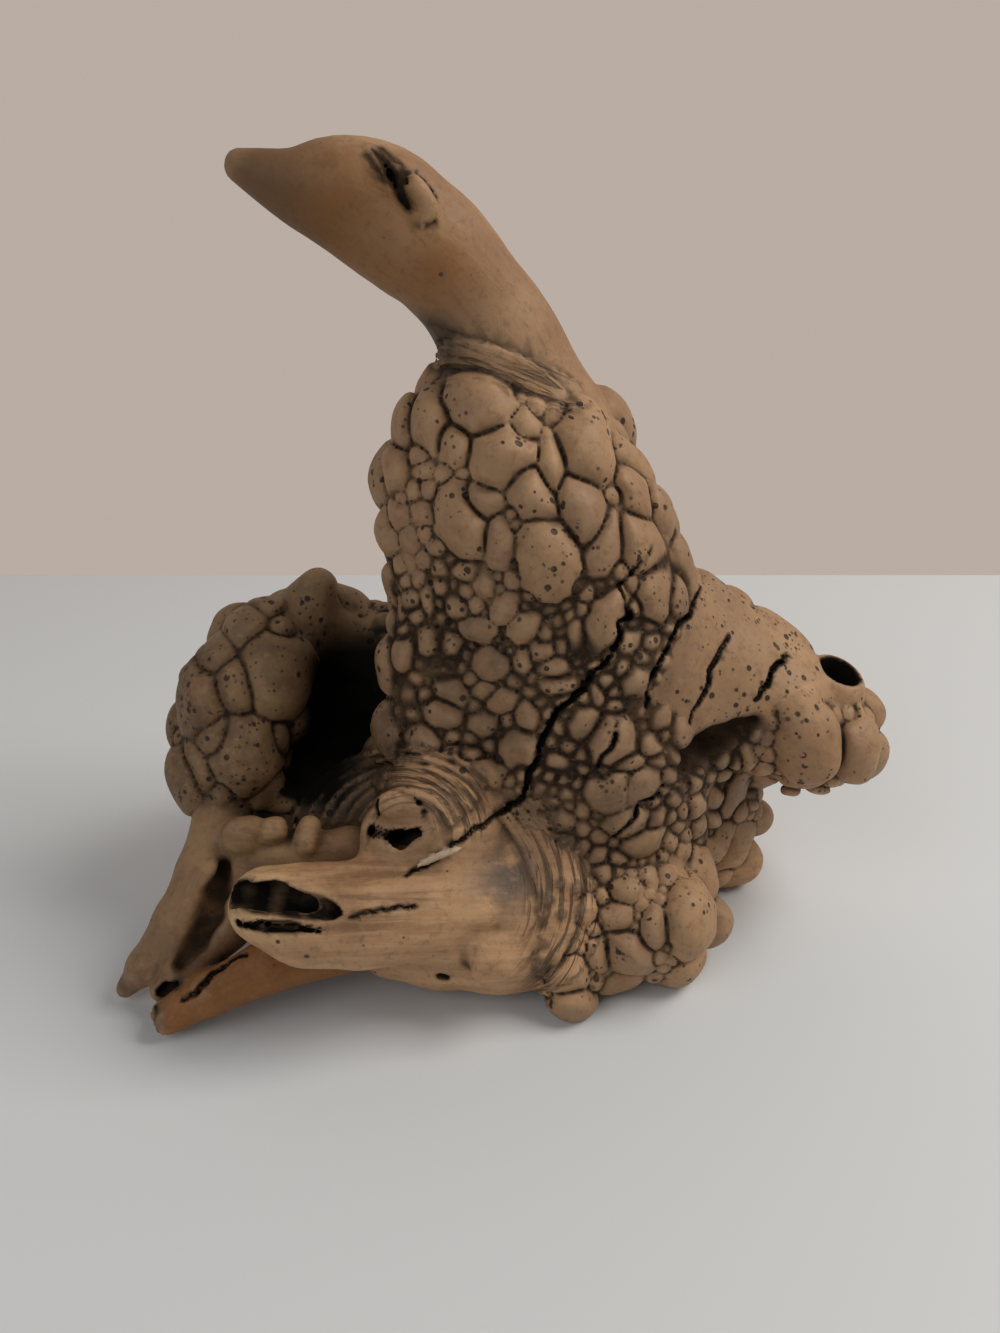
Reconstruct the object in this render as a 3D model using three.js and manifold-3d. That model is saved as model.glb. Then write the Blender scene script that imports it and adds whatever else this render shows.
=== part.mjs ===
// A burl wood sculpture: one piece of burl that grew as it is, a pebbled cone of a trunk drawn out into a
// smooth bent neck and head, a stub of a tail, a hollow lobe at the left and a split root at the front.
// It is one solid.
// Millimetres. X runs to the object's right, Y to its back, Z up, the floor is z = 0.
import * as THREE from "three";
import { mergeVertices } from "three/addons/utils/BufferGeometryUtils.js";
import Module from "manifold-3d";

// Driving dimensions.
const FLOOR_Z = 0; // the feet are worn flat on this plane
const FACET_GAIN = 1.02; // facets cut inside the round, so radii are let out by this much
const TRUNK_SIDES = 56; // points round the trunk
const TRUNK_RINGS = 36; // cross sections up the trunk
const TRUNK_FOOT_Z = -4; // lowest cross section, below the floor and cut off by it
const TRUNK_TOP_Z = 204; // highest cross section, inside the neck
const TRUNK_REACH = 95; // no point of the trunk is further than this from its middle line
const NODULE_RISE = 0.75; // how far a nodule stands out, as a share of its half height
const CAP_RINGS = 2; // cross sections in each rounded end of a limb
const CRACK_HALF_WIDTH = 1.6;
const MOUTH_HALF_HEIGHT = 4.6;
const SLIT_HALF_HEIGHT = 1.9;
const SPLIT_HALF_WIDTH = 2.2;
const KNOT_SWELL = [8.5, 12, 4.5]; // half sizes
const KNOT_PIT = [2.6, 8.5, 5.5]; // half sizes
const TAIL_RING_RADIUS = 8.6;
const TAIL_RING_THICK = 2.7;
const TAIL_PIT_DEPTH = 7;
const SOCKET_PIT = [10.5, 5.6, 8]; // half sizes

// The trunk's middle line at a height: [x, y] at the foot and at the top.
const TRUNK_LINE = { foot: [22, 2], top: [4, 0] };

// The swellings that make up the trunk and its foot: stations [x, y, z, radius] along each one.
// Blend is how softly it runs into its neighbours.
const TRUNK = {
  trunk: { blend: 10, stations: [[0, 0, 180.5, 26.4], [3.8, 0, 166.1, 33.3], [9.8, 0, 149.4, 38], [16.1, 0, 132, 41.5], [22.8, 0, 106.2, 44.9], [26.9, 0, 74.7, 49.5], [28.1, 2, 39.4, 50.6]] },
  trunkleft: { blend: 10, stations: [[-14.8, -6, 181.9, 16.1], [-18.8, -8, 165.1, 15.1], [-18.7, -10, 139.2, 14.9], [-17.2, -14, 112.6, 17.2], [-16.3, -18, 84.6, 19.7], [-10.3, -22, 63.3, 20.7]] },
  under: { blend: 10, stations: [[-15, -20, -3.9, 20.2], [26.8, -10, -5.1, 29.1], [59.5, 10, 3.5, 19.8]] },
  back3: { blend: 12, stations: [[20, 20, 110, 36], [25, 38, 80, 24]] },
};

// Limbs that grow out of the trunk, described in the same way.
const LIMBS = {
  neck: { blend: 5, stations: [[-69, -18, 253.5, 5.4], [-56.8, -15, 249, 9.3], [-41.7, -11, 245.6, 15], [-28.4, -7, 239.5, 15.3], [-17.4, -4, 229.4, 15.4], [-8.9, -1, 218.9, 15.5], [-3, 2, 207.8, 17.4], [2.5, 4, 194.3, 20.6], [8.3, 4, 178, 23.6]] },
  tail: { blend: 10, stations: [[52.6, 2, 97.6, 33.7], [71.1, 4, 90.7, 29.1], [92.1, 4, 79.9, 25.2], [113, 2, 70.3, 19.6], [124.3, 4, 66.2, 12.4]] },
  undertail: { blend: 8, stations: [[58.9, 0, 51.6, 22.8], [81.4, 6, 39, 13.6], [94.3, 12, 24.5, 6.6]] },
  flange: { blend: 7, stations: [[52.7, -4, 23.2, 13.6], [78.2, 8, 13.2, 10.6], [93.9, 14, 8.8, 6.4]] },
  footlobe: { blend: 8, stations: [[31.4, -30, 35.5, 21], [48.2, -42, 22.4, 20.7], [61.6, -38, 17.9, 13.3]] },
  foot: { blend: 5, stations: [[34, -48, 19.6, 13.6], [22.7, -62, 8.2, 7.3]] },
  jaw: { blend: 9, stations: [[6.8, -45, 27.9, 25.1], [-16.2, -58, 37.1, 18.2], [-37.9, -66, 40.8, 15.8], [-59.2, -70, 44.1, 14.9], [-71.3, -72, 49.6, 12.3]] },
  root: { blend: 9, stations: [[-36, -56, 20.5, 11.3], [-20.1, -54, 18.7, 13.4], [-1.7, -54, 21.3, 16.1], [13.7, -42, 25.5, 22.7]] },
  collar: { blend: 9, stations: [[16.7, -20, 57.9, 21.6], [12, -34, 44.7, 20.5], [4.1, -46, 30.8, 18.9]] },
  socket: { blend: 8, stations: [[-19.7, -42, 62.4, 20.3], [-32.4, -48, 58.7, 13]] },
  lobe: { blend: 8, stations: [[-84.9, 10, 99.7, 15], [-92.4, 0, 82.8, 18.5], [-95.2, -10, 68.2, 15.5], [-96.7, -20, 53.8, 9.8]] },
  peak: { blend: 6, stations: [[-77.4, 22, 96.2, 15.5], [-66.2, 26, 115.2, 7.3]] },
  ridge: { blend: 8, stations: [[-74.9, 28, 93.4, 14.2], [-59.1, 34, 90.7, 13], [-34.6, 34, 82.2, 19.2]] },
  backwall: { blend: 8, stations: [[-80, 24, 70.1, 15.2], [-66, 38, 53.7, 21.6], [-50.4, 32, 34, 24.2]] },
  cupfloor: { blend: 8, stations: [[-75.1, 4, 42.5, 16.5], [-56.8, -8, 39.4, 18.3], [-36.1, -10, 47.2, 21.7]] },
  cupleft: { blend: 8, stations: [[-90, 14, 56.2, 12.1], [-84.3, 8, 39.9, 15.2], [-77.6, -8, 31.9, 14]] },
  stem: { blend: 8, stations: [[-96.7, -20, 53.8, 9.8], [-90.9, -34, 42.6, 11.7], [-77.8, -44, 33.4, 13.5], [-53.6, -48, 32.4, 15.4], [-24.1, -40, 26, 20.7]] },
  leg1: { blend: 6, stations: [[-94, -32, 49.5, 8.9], [-97.9, -48, 40.7, 10], [-107.7, -58, 28.1, 8.2], [-120.6, -60, 12.8, 6], [-128.1, -58, 3.1, 2.7]] },
  leg2: { blend: 6, stations: [[-53, -58, 21.8, 9.9], [-74.7, -66, 20.4, 8.4], [-93.4, -72, 14.5, 7.1], [-106.7, -76, 8.2, 5.8]] },
  midleg: { blend: 6, stations: [[-86.1, -50, 38.1, 9.9], [-89.9, -60, 27.7, 9.2], [-102.9, -66, 16.2, 6.5], [-111.9, -66, 9.7, 3.3]] },
  back1: { blend: 12, stations: [[30, 20, 60, 40], [34, 48, 26, 27]] },
  back2: { blend: 12, stations: [[-10, 25, 60, 34], [-22, 50, 24, 25]] },
};

// Rounded burl nodules: [x, y, z, half length, half width, half height, yaw, pitch, roll], angles in degrees.
// Yaw and pitch give the direction into the wood and roll turns the nodule about it.
const NODULES = [
  [-6.8, -21.2, 190.8, 11.1, 7.2, 7.2, -1.3, -12.1, 20],
  [-19.7, -19.5, 187.5, 8.8, 5.9, 5.7, -3.6, -12.6, 80],
  [-28.5, -14.8, 185, 8.5, 3.5, 4, -5.2, -12.8, 95],
  [-13.6, -25.4, 181.1, 6.3, 4.4, 4.2, -2.6, -14, 75],
  [-31.9, -16.8, 171.8, 6.6, 4, 4.1, -5.8, -15.1, 80],
  [1, -29, 179, 9.6, 8.8, 7.4, 0.2, -14.5, 0],
  [6.3, -26.8, 185.3, 5.8, 4.3, 4, 1.2, -13.3, 70],
  [14.5, -30.2, 174.9, 8.2, 3.7, 4.2, 2.8, -15.3, 85],
  [25.7, -21.4, 178.6, 11.3, 7.4, 7.3, 4.8, -14.2, 80],
  [24.6, -31.6, 162.3, 9.8, 6.3, 6.3, 4.7, -17.6, 65],
  [9.2, -33.2, 168.3, 10.1, 5.8, 6.1, 1.8, -16.6, 62],
  [14.3, -37.2, 149.2, 11.2, 6.8, 7, 2.8, -20.2, 70],
  [-11.4, -30, 159.7, 9.8, 6.4, 6.3, -2.2, -18, 70],
  [-5.9, -32.7, 165.7, 5.8, 3.9, 3.8, -1.1, -17.1, 20],
  [-0.5, -35.7, 154.4, 7, 3.9, 4.2, -0.1, -19.2, 85],
  [30.7, -33.2, 153, 8.4, 4.4, 4.9, 5.9, -19.2, 105],
  [40.7, -18, 165.4, 7.9, 4.3, 4.7, 7.4, -16.2, 80],
  [39.5, -11.8, 172.5, 6.1, 3.6, 3.8, 7.1, -14.8, 60],
  [50.1, -9.3, 156.8, 7.4, 4.4, 4.6, 8.9, -17.1, 70],
  [42.1, -26.8, 150.2, 8.6, 5.5, 5.5, 7.9, -19.2, 60],
  [58.7, -8.9, 137.6, 9.2, 3.5, 4, 10.4, -20.1, 80],
  [47.4, -28.5, 135.1, 8.4, 5.1, 5.2, 8.9, -21.8, 80],
  [55.9, -21.9, 130.2, 6.8, 2.9, 3.4, 10.3, -22.1, 95],
  [-9, -33.7, 144.2, 5, 2.8, 3, -1.7, -20.8, 10],
  [-5.5, -35.6, 141.7, 5, 3, 3.1, -1.1, -21.4, 75],
  [-13.1, -31.3, 131.6, 3.9, 3.5, 2.9, -2.5, -22.8, 45],
  [-6.7, -34.7, 126, 6.3, 3.9, 4, -1.3, -23.9, 0],
  [1.5, -38.6, 134.9, 6, 3.6, 3.7, 0.3, -22.7, -45],
  [-22, -29.6, 118.6, 4.7, 4.7, 3.8, -4.2, -24.7, 0],
  [-16.2, -31.4, 118.9, 4.2, 4.4, 3.4, -3.1, -24.8, 0],
  [-31, -25.1, 113, 6.6, 3.8, 4, -5.8, -25.2, -50],
  [-3.1, -36.5, 114.9, 5.4, 4.7, 4, -0.6, -25.8, 20],
  [6.5, -40.5, 129.1, 6.2, 3.8, 3.9, 1.3, -23.8, -45],
  [13.1, -42.5, 122.3, 4, 3.6, 3, 2.6, -25.1, 0],
  [17.2, -43.3, 117.1, 5, 4, 3.6, 3.4, -26, 0],
  [18.3, -44, 112.4, 6.1, 3.6, 3.8, 3.7, -26.8, 0],
  [25.1, -41.7, 126.4, 5.5, 4, 3.8, 5, -24.3, 70],
  [31.2, -38.9, 129.5, 11, 5, 5.8, 6.1, -23.5, -65],
  [-15.9, -32.8, 104.3, 5.8, 3.8, 3.8, -3.1, -27.2, 40],
  [-18.7, -34.3, 96.1, 6.6, 4.2, 4.2, -3.6, -28.5, 20],
  [-42.1, 15.7, 75.9, 6.2, 3.7, 3.8, -6.9, -27.5, 80],
  [-40.6, 8.3, 65.9, 6.8, 3.9, 4.1, -6.8, -29.3, 80],
  [-24.2, -36, 86.6, 6.4, 4.5, 4.3, -4.7, -30, 55],
  [-4.8, -37.3, 94.1, 5.3, 4, 3.7, -0.9, -29.1, 10],
  [1, -39.9, 103.3, 5.2, 3.3, 3.3, 0.2, -27.9, -30],
  [8.3, -42.8, 100.1, 4.7, 3.6, 3.3, 1.7, -28.6, 50],
  [6.8, -43, 88.3, 6.3, 6.1, 4.9, 1.4, -30.4, -20],
  [-4.3, -41.3, 79.2, 6.4, 3.6, 3.9, -0.9, -31.6, 10],
  [26.8, -45.6, 98.7, 4.9, 5.1, 4, 5.4, -29, 0],
  [34.4, -45, 92.4, 7.8, 7.2, 6, 6.9, -29.8, -40],
  [46.8, -43.5, 89.1, 5, 3.4, 3.3, 9.3, -30, 40],
  [39.8, -46.9, 85.7, 6.8, 2.7, 3.1, 8, -30.9, 0],
  [57.8, -36.9, 89, 4.8, 3, 3, 11.2, -29.4, 70],
  [35.9, -49, 74, 4.2, 3.7, 3.2, 7.3, -32.9, 0],
  [44.6, -46.1, 76.5, 7.9, 4.2, 4.6, 8.9, -32.1, -50],
  [42.3, -40.5, 109.5, 6.4, 4.1, 4.1, 8.3, -26.8, -60],
  [34.8, -48.2, 76, 7.9, 6.3, 5.6, 7, -32.5, 0],
  [39.8, -47.3, 64.6, 6.4, 4.8, 4.4, 8, -34, 0],
  [65.8, -31.7, 60.1, 4.5, 3.1, 3, 12.4, -32.8, 60],
  [46.1, -44.1, 53.9, 6.8, 4.2, 4.2, 9.2, -35, -15],
  [41, -52.6, 40.2, 5.4, 3.8, 3.6, 8.4, -37.7, 0],
  [37.7, -57.1, 32.1, 5.4, 4.9, 4.1, 7.9, -39.2, 0],
  [41.6, -61.3, 21.1, 8.2, 7.1, 6.1, 8.8, -40.9, 30],
  [33.4, -61.3, 21.1, 4.9, 5.5, 4.1, 7.1, -41.1, 0],
  [49.9, -60.3, 31.3, 7, 4.1, 4.3, 10.5, -39.4, 85],
  [63, -54.2, 28.4, 12.6, 7.9, 8, 12.9, -38.9, 85],
  [26.4, -59.6, 36.3, 5.9, 3.8, 3.8, 5.6, -39.1, -65],
  [21.8, -65.3, 15.5, 7.1, 5.4, 5, 4.7, -42.3, -20],
  [24.7, -67.6, 4.8, 7.9, 5.5, 5.3, 5.4, -43.7, 0],
  [105.3, -17.2, 75.7, 12.5, 9.6, 8.8, 18.6, -28.8, 80],
  [123.5, -14.4, 70.8, 10.4, 6.9, 6.8, 21.4, -28.8, 85],
  [99.3, -18.4, 66.4, 5.2, 3.2, 3.3, 17.7, -30.2, 80],
  [106, -15.5, 60.5, 8.2, 4.1, 4.6, 18.6, -30.6, -15],
  [103.3, -9.9, 50, 5.8, 3.1, 3.6, 17.9, -31.6, -20],
  [85.6, -6.1, 49, 8.5, 3.9, 4.4, 14.8, -31.8, -70],
  [84.6, -19.9, 71.4, 8.5, 2.5, 2.9, 15.3, -30, 85],
  [-76.7, -2.3, 93.2, 12.7, 10.9, 9.4, -13.2, -25.9, 60],
  [-90, -12.4, 95.1, 7.3, 6.2, 5.4, -15.8, -26.1, 80],
  [-103, -11.8, 91.6, 14.7, 5.7, 6.5, -17.9, -26.3, 95],
  [-86.8, -20.2, 71.5, 11.3, 9.6, 8.3, -15.7, -30, 30],
  [-78.2, -11.9, 72.7, 4.4, 4.2, 3.4, -13.8, -29.4, 0],
  [-97.1, -21.4, 78.8, 6.7, 5.1, 4.7, -17.5, -28.8, 60],
  [-100.1, -3.4, 100.2, 10.3, 5.1, 5.8, -17, -24.7, -40],
  [-89.6, 3.5, 110.4, 8.6, 5.2, 5.3, -15, -23, -50],
  [-84.2, 10.4, 114.3, 6.4, 3.5, 3.8, -13.9, -22.1, -15],
  [-101.3, -24.4, 70.1, 6.8, 2.8, 3.2, -18.3, -30.1, 75],
  [-20, 22.1, 146.6, 10.1, 8, 6.5, 126.4, 3.8, 72.5],
  [31.7, 37.5, 143.8, 8.9, 6.9, 5.6, -154.7, -28.5, 54.7],
  [100.4, 12.2, 102.1, 9.1, 8.4, 6.3, -122, -51.9, 128.1],
  [18.9, 54, 112.9, 9.2, 7.7, 6.1, 177, -10.2, 51.7],
  [45.3, 49.8, 89.3, 11.6, 8.9, 7.3, -139.6, -15.2, 137],
  [85.2, 23.8, 67.9, 11.9, 10.3, 7.9, 168.3, 33.7, 148.9],
  [-30.3, 2.3, 154.9, 11, 9.1, 7.2, 111.3, 8.1, 103.7],
  [68.1, -20.8, 23.6, 9.8, 8, 6.4, -71.6, 16.3, 8.4],
  [-33.3, -10.4, 89.3, 9.3, 8.3, 6.3, 113, -5.9, 126.7],
  [102.4, 25.4, 73.7, 10.1, 8.6, 6.7, -159.6, 12.5, 31.1],
  [97.4, 15, 9.5, 12, 9.1, 7.5, -105.1, -9.3, 115.8],
  [-103.8, 11.2, 91, 10.4, 8.5, 6.8, 127.5, -19.6, 175],
  [-75.6, 39.9, 90.7, 11.8, 8.7, 7.3, 164.1, 12.2, 103.5],
  [-2.6, 60.3, 19.3, 10.3, 10.3, 7.4, -123, 14.6, 139.6],
  [-39.7, 7.9, 33.3, 11.1, 10.2, 7.6, -75.4, 70.1, 15.4],
  [46.8, 41.9, 113.8, 11.7, 10.5, 8, -138.9, -9.3, 84.1],
  [8.7, 32.8, 169, 11.8, 9.4, 7.6, -176.7, -16.2, 29],
  [-13.6, 45.9, 85, 10.2, 8.1, 6.5, -173.6, -41.9, 82.7],
  [6.2, 56.4, 59.8, 9.3, 7.6, 6, 179.5, -7, 146.1],
  [-45.3, 52.3, 50, 9.8, 9.4, 6.9, -172.1, -21.6, 3.4],
  [39.5, 4.5, 171, 11, 9.6, 7.4, -98.5, -32.4, 59.7],
  [133.6, 7, 66.6, 11.3, 9.9, 7.6, -107.3, -0.4, 53.2],
  [24.5, 69.5, 18.6, 9.5, 9.2, 6.7, 156.3, 17.5, 71.8],
  [-9.9, 8.8, 10.7, 10.7, 10.3, 7.6, 105.6, 32.2, 127],
  [33.6, 59.4, 72.6, 11.4, 9.8, 7.6, -166.1, -0.5, 52],
  [-54.9, 20, 16.3, 9.6, 8.5, 6.5, 20.6, 54.2, 21.8],
  [54.1, 62.3, 30.3, 8.9, 6.6, 5.5, -125.6, -9.2, 111.6],
  [-40.3, 62.8, 25.6, 11.1, 10.5, 7.8, 129.4, -2.7, 22.3],
  [-95.7, 16, 69.8, 9.1, 7.2, 5.8, 119.2, -2.1, 74.7],
  [-11.1, 21.8, 191.6, 10.4, 7.6, 6.4, 146.6, -13.6, 111.3],
  [-20.8, 70.4, 34.5, 9.7, 7, 5.9, -178.2, -22.4, 34.8],
  [64.5, 30.6, 105.6, 11, 9.9, 7.5, -159, -19, 43.2],
  [50.3, 28.1, 132.5, 10.7, 7.9, 6.6, -123.7, -26.2, 33.3],
  [-84.3, 45.9, 48.5, 10.5, 9.2, 7.1, 113.3, 14.5, 10.2],
  [14.9, 61.2, 39.1, 12, 11, 8.3, 145.5, -8.7, 149.2],
  [-17.6, 23.3, 116, 10.8, 8.3, 6.8, 111.8, -0.3, 157.6],
  [49.1, 54.3, 62.9, 9.3, 8.4, 6.4, -147.1, -15.6, 95.8],
  [0, 41.4, 131.8, 9, 8.9, 6.4, 148.5, -19.5, 6.2],
  [-34, 31.9, 12.4, 10.3, 9.9, 7.3, 9.9, 56, 136.8],
  [-19.7, 12.3, 99.5, 11.6, 9.4, 7.5, 99.5, -2, 65.8],
  [68.5, 26.8, 29.1, 10.3, 9.5, 7.1, -115.2, 14.4, 37.1],
  [-23.4, 58.8, 57.1, 11.3, 9.7, 7.5, 160.2, -26, 118.1],
  [43.4, 68.1, 15.5, 10.2, 9.2, 7, -155, 25.3, 164],
  [-55.6, 42.9, 78.9, 11.2, 11.1, 8, 166.2, 16.8, 33.6],
  [26.5, 32, 159.5, 10.5, 7.8, 6.5, -154.5, -21.7, 147],
  [-45.4, 43.8, 12.3, 9.4, 7.3, 6, 114.1, 62.8, 78],
  [-68.3, 13.5, 29.5, 11.6, 9.1, 7.4, 160, 84, 138.5],
  [-80.4, 26.2, 39.4, 10.9, 9.5, 7.3, 121.4, 37, 157.2],
  [61.6, 44.4, 30.8, 10.6, 7.7, 6.5, -110.4, 9.1, 43.1],
  [-3.1, 44.9, 112.3, 11, 8.4, 6.9, 139.8, -3.3, 0.1],
  [55.3, 37.2, 11.9, 11.7, 8.5, 7.2, -107.9, 36, 113.2],
  [86, 16.3, 28.7, 9.3, 9.3, 6.7, 170.9, 23.4, 50.9],
  [-16.1, -7.4, 20.7, 9.6, 7.6, 6.2, 84, 10.7, 29.3],
  [-84.8, 39.7, 69, 10, 9, 6.8, 130.5, -23.1, 166.4],
  [-18, 70.4, 14.7, 10.2, 7.5, 6.3, -169, 24.1, 4.3],
  [17.2, 59, 80.5, 11.2, 8.8, 7.1, 162.7, -6.5, 40.1],
  [106.9, 11.7, 55.1, 9.9, 8.6, 6.6, 161.1, 58.9, 117.1],
  [74.6, 20.7, 47.5, 11.8, 10.4, 8, -134.2, -6.4, 4.3],
  [24.8, 24.5, 176.7, 10.2, 9.8, 7.2, -142.4, -20.4, 90.7],
  [65.3, 37.9, 56, 11, 8.7, 7, -119.9, -2.7, 116.6],
  [46.7, 19.8, 149.6, 11, 9, 7.2, -122.6, -24.4, 62.9],
  [37.1, 71.9, 31.9, 9.7, 7.6, 6.2, -172.7, -13.6, 172],
  [-31.6, -8.2, 120.2, 11.6, 9.1, 7.4, 107.2, -6.5, 58.7],
  [84.7, -1, 28.7, 10.6, 9.5, 7.2, -18, 43.6, 40.7],
  [11.7, 39.8, 9.3, 9, 8.5, 6.3, 123, 47.2, 179],
  [-62.6, 55.9, 42.2, 11.5, 9.5, 7.5, 179.4, 19.7, 26.6],
  [-109.2, -13.1, 64.8, 9.9, 8.4, 6.6, 78.7, 11.6, 116.6],
  [-82.2, -5.8, 61.5, 9.6, 9.6, 6.9, -93.5, 12.7, 144.4],
  [71.5, 32.5, 87.9, 9.7, 8, 6.3, -169.8, 3.4, 176],
  [122.4, 18.3, 72.6, 9.5, 6.9, 5.8, -150.2, -7, 150.7],
  [-32.3, 63.2, 9.1, 11.2, 8.9, 7.2, 142, 41.6, 140.5],
  [-22.5, 18.7, 21.4, 9.3, 7.6, 6, 31.1, 46.6, 62.8],
  [-22.5, 19.2, 166.8, 9.6, 8.2, 6.4, 125.8, -2.3, 151.9],
  [-30.1, 0.9, 137.1, 9.2, 8.2, 6.3, 116.4, 6.6, 12.7],
  [81.4, 13.1, 115.4, 10.7, 9.6, 7.3, -126.3, -56.5, 30.6],
  [20.5, 48.5, 129.5, 9.3, 8.1, 6.2, -178.6, -27.9, 96.3],
  [10.7, 38.8, 147.4, 10.3, 8.1, 6.6, 174.6, -18, 150],
  [63.8, 21.9, 120.6, 10.2, 9.4, 7, -135, -36.2, 135.7],
  [-61.2, 56.9, 60.1, 11, 9.7, 7.4, -165.9, -18.2, 122.8],
  [26.8, 57.1, 95.6, 9.9, 7.9, 6.4, -173.1, -13.2, 84.8],
  [-61.9, 38.5, 16.8, 10.9, 8.8, 7, 119.3, 52.6, 107.9],
  [-38.4, 50.1, 86.7, 9.4, 7.8, 6.2, 170.1, -14.1, 108],
  [-98.1, 4.1, 58.2, 11.1, 9.1, 7.2, 97.3, 24.5, 140.8],
  [69.2, -37.7, 10.5, 11.5, 9.8, 7.6, -92.1, 44.1, 72.1],
  [91.5, 25.9, 94.4, 10, 9.5, 7, -157.1, -21.8, 151.7],
  [57.9, 9.3, 133.6, 11.9, 11.7, 8.5, -106.8, -35.1, 15],
  [-24.2, 7, 187.3, 12, 10.8, 8.2, 119.6, -17.1, 139.5],
  [-8.6, 28.6, 12.4, 10.9, 10.9, 7.8, 51.8, 77.7, 177],
  [-61.7, 33.2, 104.5, 9.8, 8.9, 6.7, -136, -55.4, 14.7],
  [35.3, 64.8, 50.3, 9.3, 7.3, 5.9, -174.1, -22.6, 65.9],
  [-12.9, 30.2, 132.5, 9, 7.6, 6, 131.1, -4.8, 143.8],
  [115.6, 4.7, 91.4, 10, 8.3, 6.6, -97.3, -50.3, 21.1],
  [-7.4, 32.1, 157, 10.9, 9.5, 7.3, 153.8, -5.8, 40.1],
  [-5.8, 54.7, 71, 9.5, 7.5, 6, -175.4, -20.1, 166.8],
  [16.6, 56.9, 11.3, 10.5, 9.4, 7.2, 117, 37.1, 46],
  [-26.3, 41.6, 95.2, 9, 8.5, 6.3, -138.6, -52.4, 52.8],
  [-88.8, 28.2, 56, 11.7, 11.6, 8.4, 115.1, 19.8, 54.7],
  [-23.6, 8, 121.9, 9.2, 7.6, 6, 114.4, 7.9, 106.9],
  [-32.1, -29.3, 74, 9.6, 7.5, 6.1, 90.5, -7.7, 45.5],
  [-72.5, 45.9, 33.2, 10, 8.2, 6.5, 129.5, 39.9, 93.5],
  [-41.3, 38.8, 99.1, 9.3, 8.2, 6.3, -167.8, -70.8, 23.1],
  [-33.3, -13.2, 69.6, 9.6, 7, 5.9, 99.4, -34, 170.8],
  [-36.1, 49.1, 70.9, 9.2, 8.8, 6.5, 155.7, 13.5, 12.8],
  [57, 43.8, 75.6, 10.6, 10.6, 7.6, -135.7, -14.4, 159.5],
  [-7, 62.2, 47.5, 11.2, 10.4, 7.8, -158.4, -14.8, 82.4],
  [-108.4, 1.7, 76.1, 11.4, 10.9, 8.1, 102.4, 14.7, 105.1],
  [-72.4, 49.4, 70.1, 9.3, 8.5, 6.4, 155.5, -48.9, 19.3],
  [-61.5, 9.3, 43.9, 11.6, 10.5, 7.9, -143.5, -37, 58.7],
  [9.5, 53.4, 100.4, 9.4, 7.8, 6.2, 155.7, -5.1, 106],
  [58.1, -53.2, 9, 8.9, 7.5, 5.9, -40.8, 42.2, 107],
  [128.7, -1.3, 80.4, 9, 7.7, 6, -78, -32.3, 107.1],
  [54.8, 55, 46.8, 10.5, 9, 7, -130.3, -12.5, 80.2],
  [5.2, 27.9, 186.4, 9, 8.5, 6.3, -178.4, -20.9, 138.4],
  [-87.8, 29, 83.1, 9.6, 7.7, 6.2, 116.4, -5.2, 97.9],
  [-56.4, 45.5, 95.1, 9.3, 8.2, 6.3, -178.6, -24.5, 144.3],
  [-8.3, 29.1, 174.6, 9.8, 7.9, 6.4, 156.6, -13.7, 43.8],
  [36.3, 44, 129.3, 9.3, 8.3, 6.3, -150.3, -27.5, 52.2],
  [123.6, -2.9, 55.2, 9, 8.4, 6.3, -56, 55.9, 128.5],
  [76.5, 19.4, 14, 9.1, 8.5, 6.3, -161.1, -14.4, 144.8],
  [94.9, 10.9, 37.2, 9, 6.6, 5.5, -107.6, -14.7, 32.3],
  [60.5, -19.8, 8.7, 10.1, 8, 6.5, -61, 25.7, 133.8],
  [109.4, 19.8, 88.2, 9.2, 7.9, 6.2, -137.9, -23.8, 146.5],
  [-91.4, 18.5, 107.1, 9, 8.1, 6.2, 132.9, -37.5, 33.1],
  [-56.1, 51.4, 24.7, 9.3, 6.9, 5.8, 157.5, 23.6, 137.4],
  [-31.8, 0, 172.1, 9.2, 7.9, 6.2, 106.1, -12.1, 47.9],
  [-31.6, 64.1, 41.9, 7.3, 7.2, 5.2, 147.8, -26, 116.1],
  [-46.5, 32.8, 69.7, 8.1, 6.5, 5.2, 68.1, 32.1, 12.7],
  [48.6, 3.5, 157.8, 7.6, 7.4, 5.4, -95.7, -30.2, 155.2],
  [-76.5, 2.5, 74, 7.5, 6.1, 4.9, -93.2, 27.2, 59],
  [89.7, 9.7, 52.8, 7.7, 7.6, 5.5, -136.3, 17.6, 55.4],
  [122.2, 11.6, 55.8, 7.3, 6.1, 4.8, -146.8, 50.8, 32.7],
  [52.7, 55.7, 11.3, 8.3, 7.1, 5.5, -112.4, 36, 63.7],
  [67, -36.6, 30.6, 7.8, 7.4, 5.5, -95, -29.8, 70.9],
  [22.8, 60.4, 59.3, 8.8, 8.6, 6.2, 166.1, -9.1, 126.8],
  [-21.7, 53, 73.7, 7.3, 6.7, 5, 172.7, -15.7, 153.1],
  [-53.7, 5.7, 26.2, 7.4, 6.2, 4.9, -148.9, 74.9, 68.3],
  [36.4, -57.1, 8.8, 7.9, 6.2, 5.1, -32.1, 49, 85.7],
  [33.1, 51.4, 115.4, 7.5, 7.3, 5.3, -158.9, -11.6, 54.1],
  [-5, 50.5, 8.3, 8.4, 6.5, 5.4, -92.2, 43.8, 88.9],
  [-33.3, -17, 102.8, 8.5, 7, 5.6, 84.1, 2.6, 96.3],
  [-76.1, 56.6, 55.7, 7.3, 7, 5.1, 151.5, -5.5, 37],
  [-30.3, -4.8, 102.5, 6.7, 5.9, 4.5, 123.1, 9.1, 154.6],
  [-72.3, 33.8, 26.2, 6.5, 5.1, 4.1, 91.7, 32.9, 97.4],
  [-1.7, 47.2, 97.8, 6.2, 5.2, 4.1, 140.1, -2.2, 130.9],
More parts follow.
